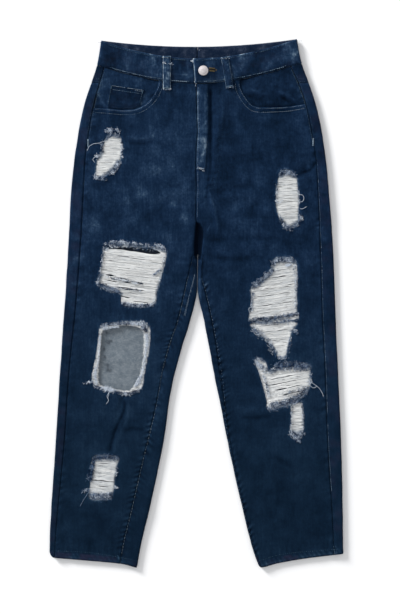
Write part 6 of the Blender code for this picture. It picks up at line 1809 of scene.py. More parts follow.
# How each rip is frayed. grain: slope of its weft, in degrees
# slits: points and width (one number, or one for each end)
RIP_LOOKS = {
    "l1": dict(grain=-3.0, dashes=3, cover=(6.0, 6.0), slits=(
        ([(-152.0, 253.3), (-133.0, 252.2)], 0.6), ([(-165.7, 234.3), (-145.1, 232.6)], 0.6)),
        tufts=(([(-171.9, 255.0), (-169.8, 248.1)], 2.6, 60, 4.4, (0.45, 0.3)), ([(-155.4, 297.0), (-133.0, 297.0)], 5.0, 260, 4.8, (0.64, 0.3)),
               ([(-174.3, 216.5), (-155.4, 212.7)], 4.0, 200, 4.6, (0.62, 0.3)), ([(-162.3, 279.1), (-163.3, 260.1)], 3.2, 120, 4.4, (0.62, 0.3)),
               ([(-128.6, 279.1), (-128.2, 249.8)], 2.0, 90, 4.0, (0.45, 0.3)),
               ([(-131.3, 242.9), (-137.2, 232.6), (-148.5, 220.6)], 4.2, 320, 4.6, (0.60, 0.32))),
        threads=([(-155.4, 279.1), (-160.6, 277.4), (-166.4, 275.6), (-176.4, 274.4), (-183.3, 270.5), (-188.3, 261.9)],
                 [(-169.2, 249.8), (-174.3, 251.5), (-177.8, 246.4), (-174.3, 242.1)], [(-172.6, 225.8), (-176.0, 218.9), (-172.6, 212.0)])),
    "l2": dict(grain=-6.8, dashes=14, cover=(7.0, 4.0), slits=(
        ([(-153.7, 96.8), (-131.3, 95.4), (-96.9, 92.3), (-78.0, 89.5), (-61.5, 85.7)], (8.6, 7.6)),
        ([(-136.5, 82.1), (-114.1, 78.9)], 2.0), ([(-112.4, 76.8), (-86.6, 75.4)], 1.2), ([(-134.8, 61.5), (-112.4, 58.9)], 1.2),
        ([(-114.1, 48.6), (-67.7, 41.7)], 0.9),
        ([(-155.4, 48.9), (-141.6, 46.2)], 3.2), ([(-146.8, 42.1), (-129.6, 39.0)], 2.0), ([(-136.5, 44.1), (-115.8, 39.3)], 2.6),
        ([(-127.9, 37.6), (-109.0, 33.5)], 2.4), ([(-114.1, 38.6), (-93.5, 32.8)], 2.8), ([(-155.4, 41.7), (-138.2, 34.8)], 1.2),
        ([(-138.2, 28.3), (-117.6, 24.5)], 2.6), ([(-121.0, 25.2), (-91.8, 21.1)], 2.8), ([(-117.6, 18.3), (-100.4, 15.9)], 1.2),
        ([(-134.8, 14.2), (-114.1, 7.3)], 1.4), ([(-109.0, 3.5), (-83.2, 1.1)], 1.6), ([(-79.7, 71.0), (-57.4, 67.5)], 1.2)),
        deep=2.2,
        tufts=(([(-158.8, 101.6), (-145.1, 105.3), (-129.6, 105.7), (-98.6, 102.6), (-64.2, 99.2), (-50.5, 90.9)], 3.4, 900, 4.2, (0.48, 0.24)),
               ([(-169.2, 34.1), (-152.0, 27.3), (-133.0, 20.0)], 4.6, 380, 4.8, (0.74, 0.26)),
               ([(-127.9, 0.4), (-102.1, -4.0), (-74.6, -3.0)], 3.6, 420, 4.6, (0.58, 0.3)),
               ([(-155.4, 46.2), (-91.8, 32.4)], 3.4, 190, 3.4, (0.55, 0.4)),
               ([(-138.2, 27.3), (-93.5, 21.1)], 2.4, 110, 3.2, (0.5, 0.4)),
               ([(-73.5, 48.6), (-61.8, 57.9)], 2.6, 110, 3.4, (0.72, 0.26)),
               ([(-159.9, 91.6), (-163.0, 65.8), (-166.8, 46.9), (-170.9, 34.8)], 2.4, 110, 3.6, (0.35, 0.3)),
               ([(-53.9, 83.0), (-60.8, 48.6), (-69.4, 19.4), (-72.8, -1.3)], 2.4, 130, 3.6, (0.35, 0.3))),
        threads=()),
    "l4": dict(grain=-5.0, dashes=5, cover=(9.0, 13.0), dye=(0.78, 0.26), shade=0.09, loose=0.42, fine=0.26, slits=(
        ([(-176.9, -304.9), (-141.6, -308.3)], 2.2), ([(-172.6, -314.3), (-153.7, -316.7)], 1.5), ([(-167.4, -275.5), (-160.6, -276.1)], 2.0),
        ([(-169.8, -292.0), (-163.3, -293.0)], 3.0), ([(-158.8, -297.1), (-153.7, -297.8)], 1.8), ([(-160.6, -275.8), (-152.0, -276.8)], 1.6)),
        tufts=(([(-177.8, -267.2), (-157.1, -265.1), (-136.5, -267.2)], 4.4, 150, 4.6, (0.94, 0.2)),
               ([(-179.5, -331.5), (-145.1, -331.5)], 6.0, 230, 5.0, (0.55, 0.3)), ([(-196.7, -322.9), (-182.9, -321.2)], 3.0, 60, 4.5, (0.45, 0.25)),
               ([(-177.1, -269.6), (-179.1, -286.8), (-182.6, -305.7)], 4.6, 520, 3.4, (0.80, 0.22)),
               ([(-181.9, -279.9), (-187.4, -304.0)], 3.0, 80, 4.0, (0.72, 0.2)), ([(-141.6, -316.1), (-136.5, -317.8)], 2.0, 36, 4.0, (0.12, 0.1)),
               ([(-136.5, -279.9), (-139.9, -307.4)], 2.0, 60, 3.6, (0.5, 0.3))),
        threads=([(-182.9, -324.6), (-186.0, -326.4), (-193.2, -336.7), (-200.1, -349.2)], [(-176.9, -323.8), (-176.0, -331.5), (-174.3, -337.6)],
                 [(-186.4, -319.5), (-193.2, -321.2), (-198.4, -328.1)])),
    "r1": dict(grain=4.0, dashes=5, cover=(9.0, 8.0), dye=(0.72, 0.30), shade=0.04, slits=(
        ([(149.0, 192.2), (176.6, 193.9)], 0.8), ([(150.8, 184.5), (174.8, 186.2)], 0.7), ([(143.9, 165.6), (171.4, 167.3)], 0.5)),
        tufts=(([(143.9, 222.3), (157.6, 226.4), (169.7, 220.6)], 4.6, 240, 4.6, (0.74, 0.28)),
               ([(143.9, 150.1), (150.8, 132.9)], 3.0, 110, 4.4, (0.60, 0.3)), ([(154.2, 129.4), (166.2, 127.7)], 4.0, 110, 4.4, (0.60, 0.3)),
               ([(174.8, 134.6), (181.0, 144.9), (178.3, 153.5)], 3.4, 150, 4.2, (0.50, 0.3)),
               ([(138.4, 208.5), (137.3, 169.0)], 1.8, 80, 3.6, (0.35, 0.3)),
               ([(175.5, 201.7), (177.2, 167.3)], 1.8, 70, 3.6, (0.35, 0.3))),
        threads=([(174.8, 186.2), (180.9, 186.9), (185.2, 181.0), (181.7, 174.8), (174.8, 174.5)],
                 [(178.3, 163.8), (182.1, 162.1), (190.0, 166.4)], [(149.0, 177.6), (142.2, 172.4), (137.0, 175.9)])),
    "r2": dict(grain=8.0, dashes=20, cover=(8.0, 2.0), shade=0.05, slits=(
        ([(106.0, 38.3), (130.1, 42.6), (152.5, 48.6)], 0.9), ([(114.6, 24.5), (166.2, 29.7)], 1.0),
        ([(102.6, 10.8), (161.1, 18.5)], 1.0), ([(112.9, -5.6), (164.5, 3.0)], 0.9), ([(126.7, 53.8), (161.1, 58.9)], 0.7),
        ([(102.6, -18.5), (143.9, -13.3)], 0.7)),
        tufts=(([(128.4, 67.5), (145.6, 74.4), (164.5, 72.7)], 6.0, 360, 5.0, (0.62, 0.3)),
               ([(154.2, 65.8), (162.8, 65.8)], 3.0, 90, 4.0, (0.04, 0.06)),
               ([(133.6, 57.2), (114.6, 43.4), (98.5, 27.9)], 6.0, 380, 5.0, (0.68, 0.28)),
               ([(168.0, 67.5), (171.4, 31.4), (169.7, -11.6)], 4.0, 150, 4.5, (0.35, 0.22)),
               ([(97.4, 19.4), (95.7, -15.0)], 4.0, 90, 4.5, (0.35, 0.22)),
               ([(97.4, -28.1), (135.3, -24.7), (174.8, -18.5)], 4.6, 640, 4.6, (0.72, 0.24))),
        threads=([(95.7, -4.7), (90.6, -9.9), (92.3, -16.8)],)),
    "r3": dict(grain=6.0, dashes=8, cover=(0.0, 3.0), slits=(
        ([(104.3, -40.9), (143.9, -35.7)], 0.9), ([(116.4, -51.2), (157.6, -44.3)], 0.9), ([(130.1, -64.9), (154.2, -61.5)], 0.7)),
        tufts=(([(97.4, -40.9), (112.9, -51.2), (126.7, -68.4), (137.0, -92.5)], 6.0, 190, 5.5, (0.35, 0.22)),
               ([(97.4, -46.0), (111.2, -58.0)], 5.0, 70, 5.0, (0.3, 0.2)), ([(168.0, -46.0), (173.1, -52.9)], 4.0, 60, 5.0, (0.35, 0.2)),
               ([(162.8, -58.0), (157.6, -87.3)], 3.5, 80, 4.5, (0.35, 0.22)), ([(142.2, -92.5), (155.9, -94.2)], 4.0, 60, 5.0, (0.4, 0.2))),
        threads=()),
    "r4": dict(grain=10.0, dashes=14, cover=(4.0, 6.0), slits=(
        ([(123.2, -133.7), (166.2, -123.4)], 1.0), ([(126.7, -143.2), (173.1, -131.3)], 1.1), ([(137.0, -152.0), (178.3, -139.9)], 1.2),
        ([(149.0, -160.2), (181.7, -149.2)], 1.0), ([(135.3, -124.1), (174.8, -117.2)], 0.7)),
        tufts=(([(102.6, -102.8), (112.9, -111.4)], 4.5, 110, 5.0, (0.08, 0.1)), ([(100.9, -97.6), (112.9, -107.9), (119.8, -120.0)], 5.0, 110, 5.0, (0.4, 0.2)),
               ([(137.0, -107.1), (152.5, -107.1), (174.8, -107.1), (193.8, -109.6)], 8.0, 820, 6.0, (0.74, 0.22)),
               ([(130.1, -113.1), (192.0, -114.8)], 3.5, 120, 5.0, (0.4, 0.25)),
               ([(128.4, -175.0), (150.8, -169.8), (173.1, -160.4), (190.3, -145.8)], 6.0, 600, 4.8, (0.72, 0.28)),
               ([(114.6, -121.7), (121.5, -142.3), (125.0, -163.0)], 2.6, 130, 4.2, (0.5, 0.3)),
               ([(197.2, -120.0), (195.5, -138.9)], 3.5, 70, 5.0, (0.25, 0.2)), ([(154.2, -156.1), (185.2, -144.1)], 3.0, 60, 4.0, (0.7, 0.2))),
        threads=([(188.6, -133.7), (198.9, -137.2), (209.2, -144.1), (214.4, -150.9), (219.6, -161.2)], [(192.0, -138.9), (202.4, -145.8), (207.5, -142.3)])),
    "r5": dict(grain=4.0, dashes=6, cover=(2.0, 16.0), shade=0.06, slits=(([(164.5, -187.0), (180.0, -185.3)], 0.7), ([(166.2, -207.7), (181.7, -206.0)], 0.8)),
               tufts=(([(163.8, -173.3), (163.5, -197.4), (162.1, -221.4)], 2.4, 100, 3.8, (0.45, 0.3)),
                      ([(182.8, -173.3), (183.4, -200.8), (183.4, -221.4)], 2.4, 100, 3.8, (0.45, 0.3)),
                      ([(162.8, -223.2), (173.1, -231.8), (183.4, -224.9)], 6.0, 240, 4.8, (0.62, 0.3)),
                      ([(169.7, -235.2), (178.3, -238.7)], 2.6, 60, 4.0, (0.62, 0.25))),
               threads=()),
    "l3": dict(grain=-5.0, dashes=3, cover=(4.6, 0.0), slits=(),
               tufts=(([(-164.0, -39.1), (-141.6, -35.0), (-96.9, -35.0), (-84.9, -40.9)], 2.8, 520, 4.6, (0.52, 0.3)),
                      ([(-93.5, -40.9), (-84.9, -47.7)], 4.0, 160, 4.6, (0.62, 0.25)),
                      ([(-160.6, -44.3), (-148.5, -41.9), (-134.8, -40.9)], 1.4, 120, 4.0, (0.04, 0.06)),
                      ([(-84.9, -52.9), (-84.4, -73.5)], 3.4, 220, 4.4, (0.02, 0.06)),
                      ([(-85.9, -77.0), (-90.4, -107.9), (-98.0, -138.9)], 2.6, 300, 4.0, (0.04, 0.08)),
                      ([(-165.4, -56.3), (-166.8, -70.1)], 1.3, 80, 3.4, (0.03, 0.08)),
                      ([(-166.9, -80.4), (-168.5, -101.0), (-171.2, -107.9)], 1.2, 90, 3.2, (0.05, 0.10)),
                      ([(-172.6, -109.6), (-174.3, -128.6), (-170.9, -138.9)], 2.6, 200, 4.0, (0.04, 0.08)),
                      ([(-191.5, -137.2), (-177.8, -135.4)], 3.0, 70, 5.0, (0.45, 0.25)),
                      ([(-158.8, -145.8), (-141.6, -149.9)], 4.4, 200, 4.6, (0.04, 0.08)),
                      ([(-172.6, -143.0), (-160.6, -147.5)], 2.4, 110, 4.2, (0.5, 0.25)),
                      ([(-141.6, -152.0), (-117.6, -156.1), (-100.4, -150.9)], 3.0, 320, 4.8, (0.50, 0.3)),
                      ([(-103.8, -142.3), (-95.2, -125.1)], 3.6, 150, 4.4, (0.08, 0.12))),
               threads=([(-148.5, -150.9), (-153.7, -159.5), (-151.1, -166.4), (-155.4, -173.3)], [(-160.6, -42.6), (-152.0, -38.3), (-139.9, -35.7)],
                        [(-150.2, -149.2), (-150.9, -157.8), (-153.0, -164.7)], [(-170.9, -63.2), (-164.9, -70.1), (-167.4, -80.4)])),
}


# the open knee hole, a little wider than the ring of the solid model at its lower right
KNEE_OPEN = ((-160.4, -46.6), (-139.0, -39.8), (-106.6, -39.4), (-92.0, -50.6), (-91.6, -88.0), (-93.6, -106.0),
             (-97.6, -122.0), (-105.0, -137.0), (-116.0, -149.6), (-139.6, -147.6), (-157.0, -143.4), (-167.0, -137.0),
             (-167.8, -111.0), (-164.0, -68.0))


def make_rips():
    for k, (name, side, outline) in enumerate(list(RIPS) + [("knee_fray_l", -1, RIP_L3)]):
        key = "l3" if name == "knee_fray_l" else name[-2:]
        look = RIP_LOOKS[key]
        fine = rounded(list(outline), 2.5)
        gap = rounded(list(KNEE_OPEN), 2.5) if key == "l3" else None
        threads = Bundle()
        wefts(threads, fine, radians(look["grain"]), 700 + 20 * k, look["slits"], gap=gap, dashes=look["dashes"],
              sag=0.25 if gap else 0.7, cover=look.get("cover", (2.0, 2.0)), under=gap is None,
              shade=look.get("shade", 0.0))
        obj = threads.made("weft_" + key, (BARE,))
        kept(obj, [name])
        fray = Bundle()
        for i, line in enumerate(look["threads"]):
            loose(fray, line, seed=30 * k + i, radius=look.get("fine", 0.33), dye=look.get("loose", 0.16))
        cover = look.get("cover", (2.0, 2.0))
        fringe(fray, fine, 900 + 20 * k, dye=look.get("dye", (0.66, 0.32)) if gap is None else (0.30, 0.30), inward=cover,
               ends=(2.25 + 0.21 * max(cover), look.get("deep", 2.6)) if gap is None else (2.0, 1.6))
        for i, (line, width, count, size, dye) in enumerate(look["tufts"]):
            tuft(fray, line, width, count, size, 1100 + 40 * k + 2 * i, dye, 0.245)
        obj = fray.made("fray_" + key, (FRAY,))
        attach(obj, "root")
        PIECES[obj.name] = obj
        panel = "denim_front_" + ("l" if side < 0 else "r")
        WITH["weft_" + key] = WITH["fray_" + key] = panel


WITH = {}
make_rips()


# ------------------------------------------------------------- stitching
def stitches(bundle, line, height=top, pitch=3.3, size=2.5, radius=0.31, dye=0.2, rise=0.10, seed=0, skip=0.0,
             down=False):
    """Stitches along a line: each lies on the cloth and dips into it at both ends."""
    q = np.array(line, float)
    s = np.concatenate([[0.0], np.cumsum(np.hypot(*np.diff(q, axis=0).T))])
    n = int((s[-1] - size) / pitch)
    if n < 1:
        return
    rng = np.random.RandomState(3000 + seed)
    start = (s[-1] - (n - 1) * pitch - size) / 2 + np.arange(n) * pitch + rng.uniform(-0.15, 0.15, n)
    start = start[rng.uniform(0, 1, n) >= skip]
    t = np.linspace(0.0, 1.0, 4)
    at = start[:, None] + size * t[None, :]
    x, y = np.interp(at, s, q[:, 0]), np.interp(at, s, q[:, 1])
    arch = np.sin(pi * t)[None, :] ** 0.6
    z = height(x, y)
    step = (arch * (rise + 0.32) - 0.32) * (-1.0 if down else 1.0)
    shade = np.clip(dye + 0.16 * rng.normal(0, 1, len(start)), 0.0, 1.0)
    bundle.add(np.stack([x, y, z + step], 2), radius, 3, shade, 0.6)


def bartack(bundle, a, b, width, height=top, dye=0.05, seed=0, radius=0.30, pitch=0.62, down=False, high=0.42):
    """Close short stitches across a line from a to b."""
    lx, ly = b[0] - a[0], b[1] - a[1]
    size = hypot(lx, ly)
    n = max(3, int(size / pitch))
    rng = np.random.RandomState(3400 + seed)
    t = (np.arange(n) + 0.5) / n
    nx, ny = -ly / size, lx / size
    u = np.linspace(-0.5, 0.5, 5)[None, :] * width * rng.uniform(0.85, 1.1, n)[:, None]
    x = a[0] + lx * t[:, None] + nx * u
    y = a[1] + ly * t[:, None] + ny * u
    arch = np.sin(pi * np.linspace(0.04, 0.96, 5))[None, :] ** 0.5
    z = height(x, y) + (arch * (high + 0.25) - 0.25) * (-1.0 if down else 1.0)
    bundle.add(np.stack([x, y, z], 2), radius, 3, np.clip(dye + 0.12 * rng.normal(0, 1, n), 0, 1), 0.6)


def lower(f, by):
    return lambda x, y: f(x, y) - by


def waist_row(a, b, off, front, top_edge, step=4.0):
    f = waist_top if top_edge else waist_seam
    return [(float(x), float(f(x, front)) + off) for x in np.arange(a, b, step)]


def between(line, y_high, y_low):
    return [p for p in line if y_low <= p[1] <= y_high]


def make_stitches():
    tan, pale, olive = Bundle(), Bundle(), Bundle()
    band = lower(band_face, 0.15)
    # waistband: both long edges, and the end that carries the buttonhole
    stitches(tan, waist_row(-150.0, -7.0, 3.2, 1.0, False), band, dye=0.15, seed=1)
    stitches(tan, waist_row(-3.0, 160.0, 3.2, 1.0, False), band, dye=0.2, seed=2)
    # where the belt rubs, the lower row is bare
    stitches(pale, waist_row(-50.0, -12.0, 2.4, 1.0, False), band, dye=0.0, seed=7, radius=0.38)
    stitches(pale, waist_row(10.0, 40.0, 2.4, 1.0, False), band, dye=0.22, seed=8, skip=0.15)
    stitches(pale, waist_row(76.0, 158.0, 2.4, 1.0, False), band, dye=0.34, seed=6, skip=0.2)
    stitches(pale, waist_row(-146.0, -72.0, 2.4, 1.0, False), band, dye=0.28, seed=9, skip=0.15)
    stitches(tan, waist_row(-154.0, -7.0, -3.2, 1.0, True), band, dye=0.35, seed=3, skip=0.06)
    stitches(tan, waist_row(-3.0, 164.0, -3.2, 1.0, True), band, dye=0.35, seed=4, skip=0.06)
    end = [(float(-5.6 + (y - 421.0) * -0.085) + 2.0, float(y)) for y in np.arange(381.5, 419.0, 3.0)]
    stitches(pale, end, band, pitch=2.9, size=2.3, dye=0.1, seed=5)
    # pocket openings, two rows
    for k, (first, second) in enumerate(((POCKET_LEFT, POCKET_L2), (POCKET_RIGHT, POCKET_R2))):
        side = -1 if k == 0 else 1
        edge = moved(rounded(list(first), 3.0, False), -1.9 * side)
        edge = [p for p in edge if p[1] < waist_seam(p[0]) - 2.0 and abs(p[0]) < abs(float(side_of("seam", side, p[1]))) - 1.5]
        stitches(pale, edge, top, dye=(0.20, 0.0)[k], seed=10 + k)
        row = [p for p in rounded(second, 3.0, False) if p[1] < waist_seam(p[0]) - 1.5
               and abs(p[0]) < abs(float(side_of("seam", side, p[1]))) - 1.5]
        stitches(pale, row, top, dye=(0.30, 0.10)[k], seed=12 + k)
    # coin pocket: its hem has two rows, the other sides one
    base = facing_height(-1)
    coin = lambda x, y: base(x, y) + 1.5 + 0.05
    corner = list(COIN_POCKET)
    stitches(pale, divided([(-146.0, 374.2), (-91.0, 365.9)], 3.0, False), coin, dye=0.12, seed=20, skip=0.1)
    stitches(pale, divided([(-146.3, 367.6), (-93.3, 359.8)], 3.0, False), coin, dye=0.40, seed=21, skip=0.1)
    stitches(pale, divided([(-108.0, 366.2), (-91.4, 363.8)], 3.0, False), coin, dye=0.05, seed=26, skip=0.15)
    stitches(tan, divided([(-145.9, 373.0), (-152.3, 340.0)], 3.0, False), coin, dye=0.25, seed=22)
    stitches(tan, divided([(-91.8, 365.0), (-98.9, 342.6)], 3.0, False), coin, dye=0.25, seed=23)
    bartack(tan, (-91.5, 366.2), (-93.2, 360.4), 1.8, coin, 0.35, 24, high=0.2)
    bartack(tan, (-145.8, 374.0), (-146.8, 368.6), 1.8, coin, 0.35, 25, high=0.2)
    # outseams: topstitched down to a bartack, a plain seam below
    for side, foot, seed in ((-1, (-337.7, 268.8)[1], 30), (1, (-337.7, 270.5)[1], 33)):
        ys = np.arange(406.0, foot, -3.0)
        face = lambda x, y: top(x, y)
        for off, dye in ((-2.0, 0.2), (2.1, 0.5)):
            row = [(float(side_of("seam", side, y)) + side * off, float(y)) for y in ys
                   if y < waist_seam(float(side_of("seam", side, y))) - 3.0]
            stitches(tan, row, lower(top, 0.1), dye=dye, seed=seed, skip=0.1 if dye > 0.3 else 0.0)
        x = float(side_of("seam", side, foot)) - side * 2.0
        bartack(pale, (x, foot + 13.0), (x - side * 0.3, foot), 2.4, top, 0.12, seed + 1)
    # below it, the right outseam's row of stitches has rubbed pale
    row = [(float(side_of("seam", 1, y)) + 1.3, float(y)) for y in np.arange(foot - 6.0, -330.0, -3.0)]
    stitches(pale, row, lower(top, 0.05), dye=0.36, seed=66, skip=0.2)
    # yoke ends on the front
    for side in (-1, 1):
        for off in (1.8, 7.0):
            row = []
            for t in np.linspace(0.0, 1.0, 14):
                y = 381.0
                for _ in range(6):
                    x = float(side_of("seam", side, y)) * (1 - t) + (float(side_of("out", side, y)) - side * 3.0) * t
                    y = float(yoke_seam(x, 1.0)) + off
                row.append((x, y))
            stitches(tan, row, lower(top, 0.1), dye=0.2, seed=40 + int(off) + side)
    # fly: its edge, the worn inner edge, the curved row and the bartack
    cloth = lower(fly_height, 0.25)
    left = [(float(centre_x(y)) + 2.6, float(y)) for y in np.arange(373.0, 234.0, -3.0)]
    right = [(float(centre_x(y)) + FLY_WIDTH - 1.2 - 2.4 * (1 - float(smooth((y - 260.0) / 70.0))), float(y))
             for y in np.arange(373.0, 236.0, -3.0)]
    stitches(pale, left, cloth, dye=0.22, seed=50)
    stitches(tan, right, cloth, dye=0.75, seed=51, skip=0.25)
    row = [p for p in rounded(LINE_J, 3.0, False) if p[1] < waist_seam(p[0]) - 2.0 and p[0] > centre_x(p[1]) + 22.0]
    stitches(tan, row, lower(top, 0.1), dye=0.82, seed=52, skip=0.08)
    stitches(tan, moved(row, 5.0), lower(top, 0.1), dye=0.86, seed=53, skip=0.12)
    low = [(float(centre_x(y)) + 2.4, float(y)) for y in np.arange(229.0, 142.0, -3.0)]
    stitches(pale, low, lower(top, 0.1), dye=0.25, seed=54)
    low = [(float(centre_x(y)) - 2.6, float(y)) for y in np.arange(372.0, 142.0, -3.0)]
    stitches(tan, low, lower(top, 0.1), dye=0.85, seed=55, skip=0.03)
    bartack(pale, (0.8, 231.3), (13.5, 231.3), 1.9, cloth, 0.22, 56)
    # inseams: one greyish row each, and the chain stitch that shows below the crotch on the left
    stitches(pale, rounded(LINE_INSEAM_L, 3.0, False), lower(top, 0.1), pitch=5.2, size=2.8, dye=0.20, seed=60)
    stitches(pale, rounded(LINE_INSEAM_R, 3.0, False), lower(top, 0.1), pitch=5.2, size=2.8, dye=0.34, seed=61)
    chain = rounded([(-2.0, 52.0), (-8.2, 26.2), (-13.7, 5.6), (-20.4, -21.9)], 1.9, False)
    zig = [(x + (1.3 if i % 2 else -1.3), y) for i, (x, y) in enumerate(chain)]
    stitches(pale, divided(zig, 0.9, False), lower(top, 0.0), pitch=2.5, size=2.1, dye=0.0, seed=62, radius=0.33,
             skip=0.12)
    # hems
    for side, line, seed in ((-1, [(-250.0, -425.1), (-241.7, -426.1), (-185.5, -429.1), (-131.3, -437.3), (-100.4, -444.2)], 65),
                             (1, [(106.0, -444.2), (114.6, -441.6), (152.1, -431.3), (235.6, -423.7), (252.2, -422.0)], 66)):
        stitches(tan, rounded(line, 3.0, False), lower(top, 0.1), dye=0.42, seed=seed, skip=0.05)
    bartack(pale, (-135.4, -433.9), (-132.0, -441.6), 1.8, top, 0.85, 68, high=0.2)
    for line in ([(235.7, -416.5), (238.5, -432.3)], [(239.5, -416.2), (242.3, -431.6)]):
        stitches(pale, divided(line, 3.0, False), lower(top, 0.1), pitch=2.7, size=2.1, dye=0.5, seed=69)
    # belt loops on the front
    for row in LOOPS[:2]:
        name, x0, y0, x1, y1, width, face = row
        f = lambda x, y, row=row: loop_top(row, x, y)
        size = hypot(x1 - x0, y1 - y0)
        ux, uy = (x1 - x0) / size, (y1 - y0) / size
        for a in (-0.36, 0.36):
            p = (x0 - uy * a * width + ux * 3.0, y0 + ux * a * width + uy * 3.0)
            q = (x1 - uy * a * width - ux * 3.0, y1 + ux * a * width - uy * 3.0)
            stitches(tan, divided([p, q], 3.0, False), lower(f, 0.05), pitch=2.9, size=2.2, radius=0.27, dye=0.35, seed=70)
        for t, dye in ((0.035, 0.55), (0.955, 0.12)):
            cx, cy = x0 + (x1 - x0) * t, y0 + (y1 - y0) * t
            bartack(tan, (cx + uy * width * 0.42, cy - ux * width * 0.42),
                    (cx - uy * width * 0.42, cy + ux * width * 0.42), 1.9, f, dye, 71, high=0.25)
    # buttonhole: satin stitches round a slot, olive and brown
    a, b = (21.6, 401.7), (31.9, 400.8)
    slot = divided([(a[0], a[1] + 1.4), (b[0], b[1] + 1.4)], 0.55, False) + divided(
        [(b[0] + 1.4, b[1] + 0.9), (b[0] + 1.4, b[1] - 0.9)], 0.55, False) + divided(
        [(b[0], b[1] - 1.4), (a[0], a[1] - 1.4)], 0.55, False)
    q = np.array(slot)
    mid = np.array([(a[0] + b[0]) / 2, (a[1] + b[1]) / 2])
    way = np.where(np.abs(q[:, 0:1] - mid[0]) < 5.4, np.array([0.0, 1.0]) * np.sign(q[:, 1:2] - mid[1]), q - mid)
    way = way / np.maximum(1e-9, np.linalg.norm(way, axis=1))[:, None]
    t = np.linspace(0.0, 1.0, 5)
    rng = np.random.RandomState(77)
    x = q[:, 0:1] + way[:, 0:1] * 1.9 * t
    y = q[:, 1:2] + way[:, 1:2] * 1.9 * t
    z = band_face(x, y) + np.sin(pi * t) ** 0.6 * 0.55 - 0.15
    olive.add(np.stack([x, y, z], 2), 0.30, 4, np.clip(0.3 + 0.25 * rng.normal(0, 1, len(q)), 0, 1), 0.6)
    # between them the slot itself, with dark thread ends in it
    t = np.linspace(0.0, 1.0, 7)[None, :]
    v = np.linspace(-1.25, 1.25, 5)[:, None]
    x, y = a[0] + (b[0] + 1.2 - a[0]) * t + 0.0 * v, a[1] + (b[1] - a[1]) * t + v * (1.0 - 0.55 * t ** 3)
    olive.add(np.stack([x, y, band_face(x, y) - 0.12 + 0.05 * np.sin(5.0 * x)], 2), 0.34, 4, 1.0, 0.6)
    # the back: yoke, centre seam, pockets, loops, waistband, hems, all down on the underside
    def under(x, y):
        return lift(y) + underside(x, y) * 0.0 - 0.02
    for side in (-1, 1):
        xs = np.arange(CENTRE_BACK + side * 3.0, side_of("out", side, 380.0) - side * 6.0, side * 4.0)
        for off in (-2.2, -7.6):
            stitches(tan, [(float(x), float(yoke_seam(x, 0.0)) + off) for x in xs], under, dye=0.15,
                     seed=80 + side, down=True)
        for off in (2.4, -2.4):
            f = waist_seam if off > 0 else waist_top
            stitches(tan, [(float(x), float(f(x, 0.0)) + off * 1.3) for x in xs],
                     lambda x, y: lift(y) - 0.02, dye=0.15, seed=84 + side, down=True)
        line = back_pocket_line(side)
        pocket_low = lambda x, y: 0.0 * x + 0.03
        for size in (-2.0, -8.0):
            ring = grown(divided(line, 3.0), size)
            stitches(tan, ring[:-1], pocket_low, dye=0.15, seed=88 + side, down=True)
        for p in (line[0], line[-1]):
            c = np.array(p) + (np.array(line[2]) - np.array(p)) * 0.03
            bartack(pale, (c[0] - 3.0, c[1]), (c[0] + 3.0, c[1]), 2.4, pocket_low, 0.1, 92, down=True, high=0.2)
        xs = np.arange(side_of("in", side, -440.0) + side * 6.0, side_of("out", side, -440.0) - side * 6.0, side * 4.0)
        stitches(tan, [(float(x), float(hem(side, x)) + HEM_DEPTH) for x in xs], lambda x, y: 0.0 * x,
                 dye=0.4, seed=94 + side, down=True)
    for off in (2.2, 7.4):
        ys = np.arange(340.0, 98.0, -3.0)
        stitches(tan, [(CENTRE_BACK + off, float(y)) for y in ys], under, dye=0.15, seed=96, down=True)
    # a cord closes the seam from inside the cloth, and a bar tack the crotch
    ys = np.linspace(340.0, CROTCH + 0.6, 40)
    tan.add(np.stack([0.0 * ys + CENTRE_BACK, ys, lift(ys) + 0.5], 1)[None], 0.36, 4, 0.95)
    bartack(tan, (CENTRE_BACK - 13.4, CROTCH - 0.4), (CENTRE_BACK + 13.4, CROTCH - 0.4), 2.4,
            lambda x, y: lift(y) + 0.2, 0.55, 97, down=True, high=0.2)
    for row in LOOPS[2:]:
        name, x0, y0, x1, y1, width, face = row
        for a in (-0.34, 0.34):
            stitches(tan, divided([(x0 + a * width, y0 - 3), (x1 + a * width, y1 + 3)], 3.0, False),
                     lambda x, y: 0.0 * x + 0.05, pitch=2.9, size=2.2, radius=0.26, dye=0.3, seed=98, down=True)
        for y in (y0 - 2.0, y1 + 2.0):
            x = x0 if y > 410 else x1
            bartack(tan, (x - width * 0.4, y), (x + width * 0.4, y), 2.2, lambda x, y: 0.0 * x + 0.05, 0.1, 99,
                    down=True, high=0.2)
    fuzz = Bundle()
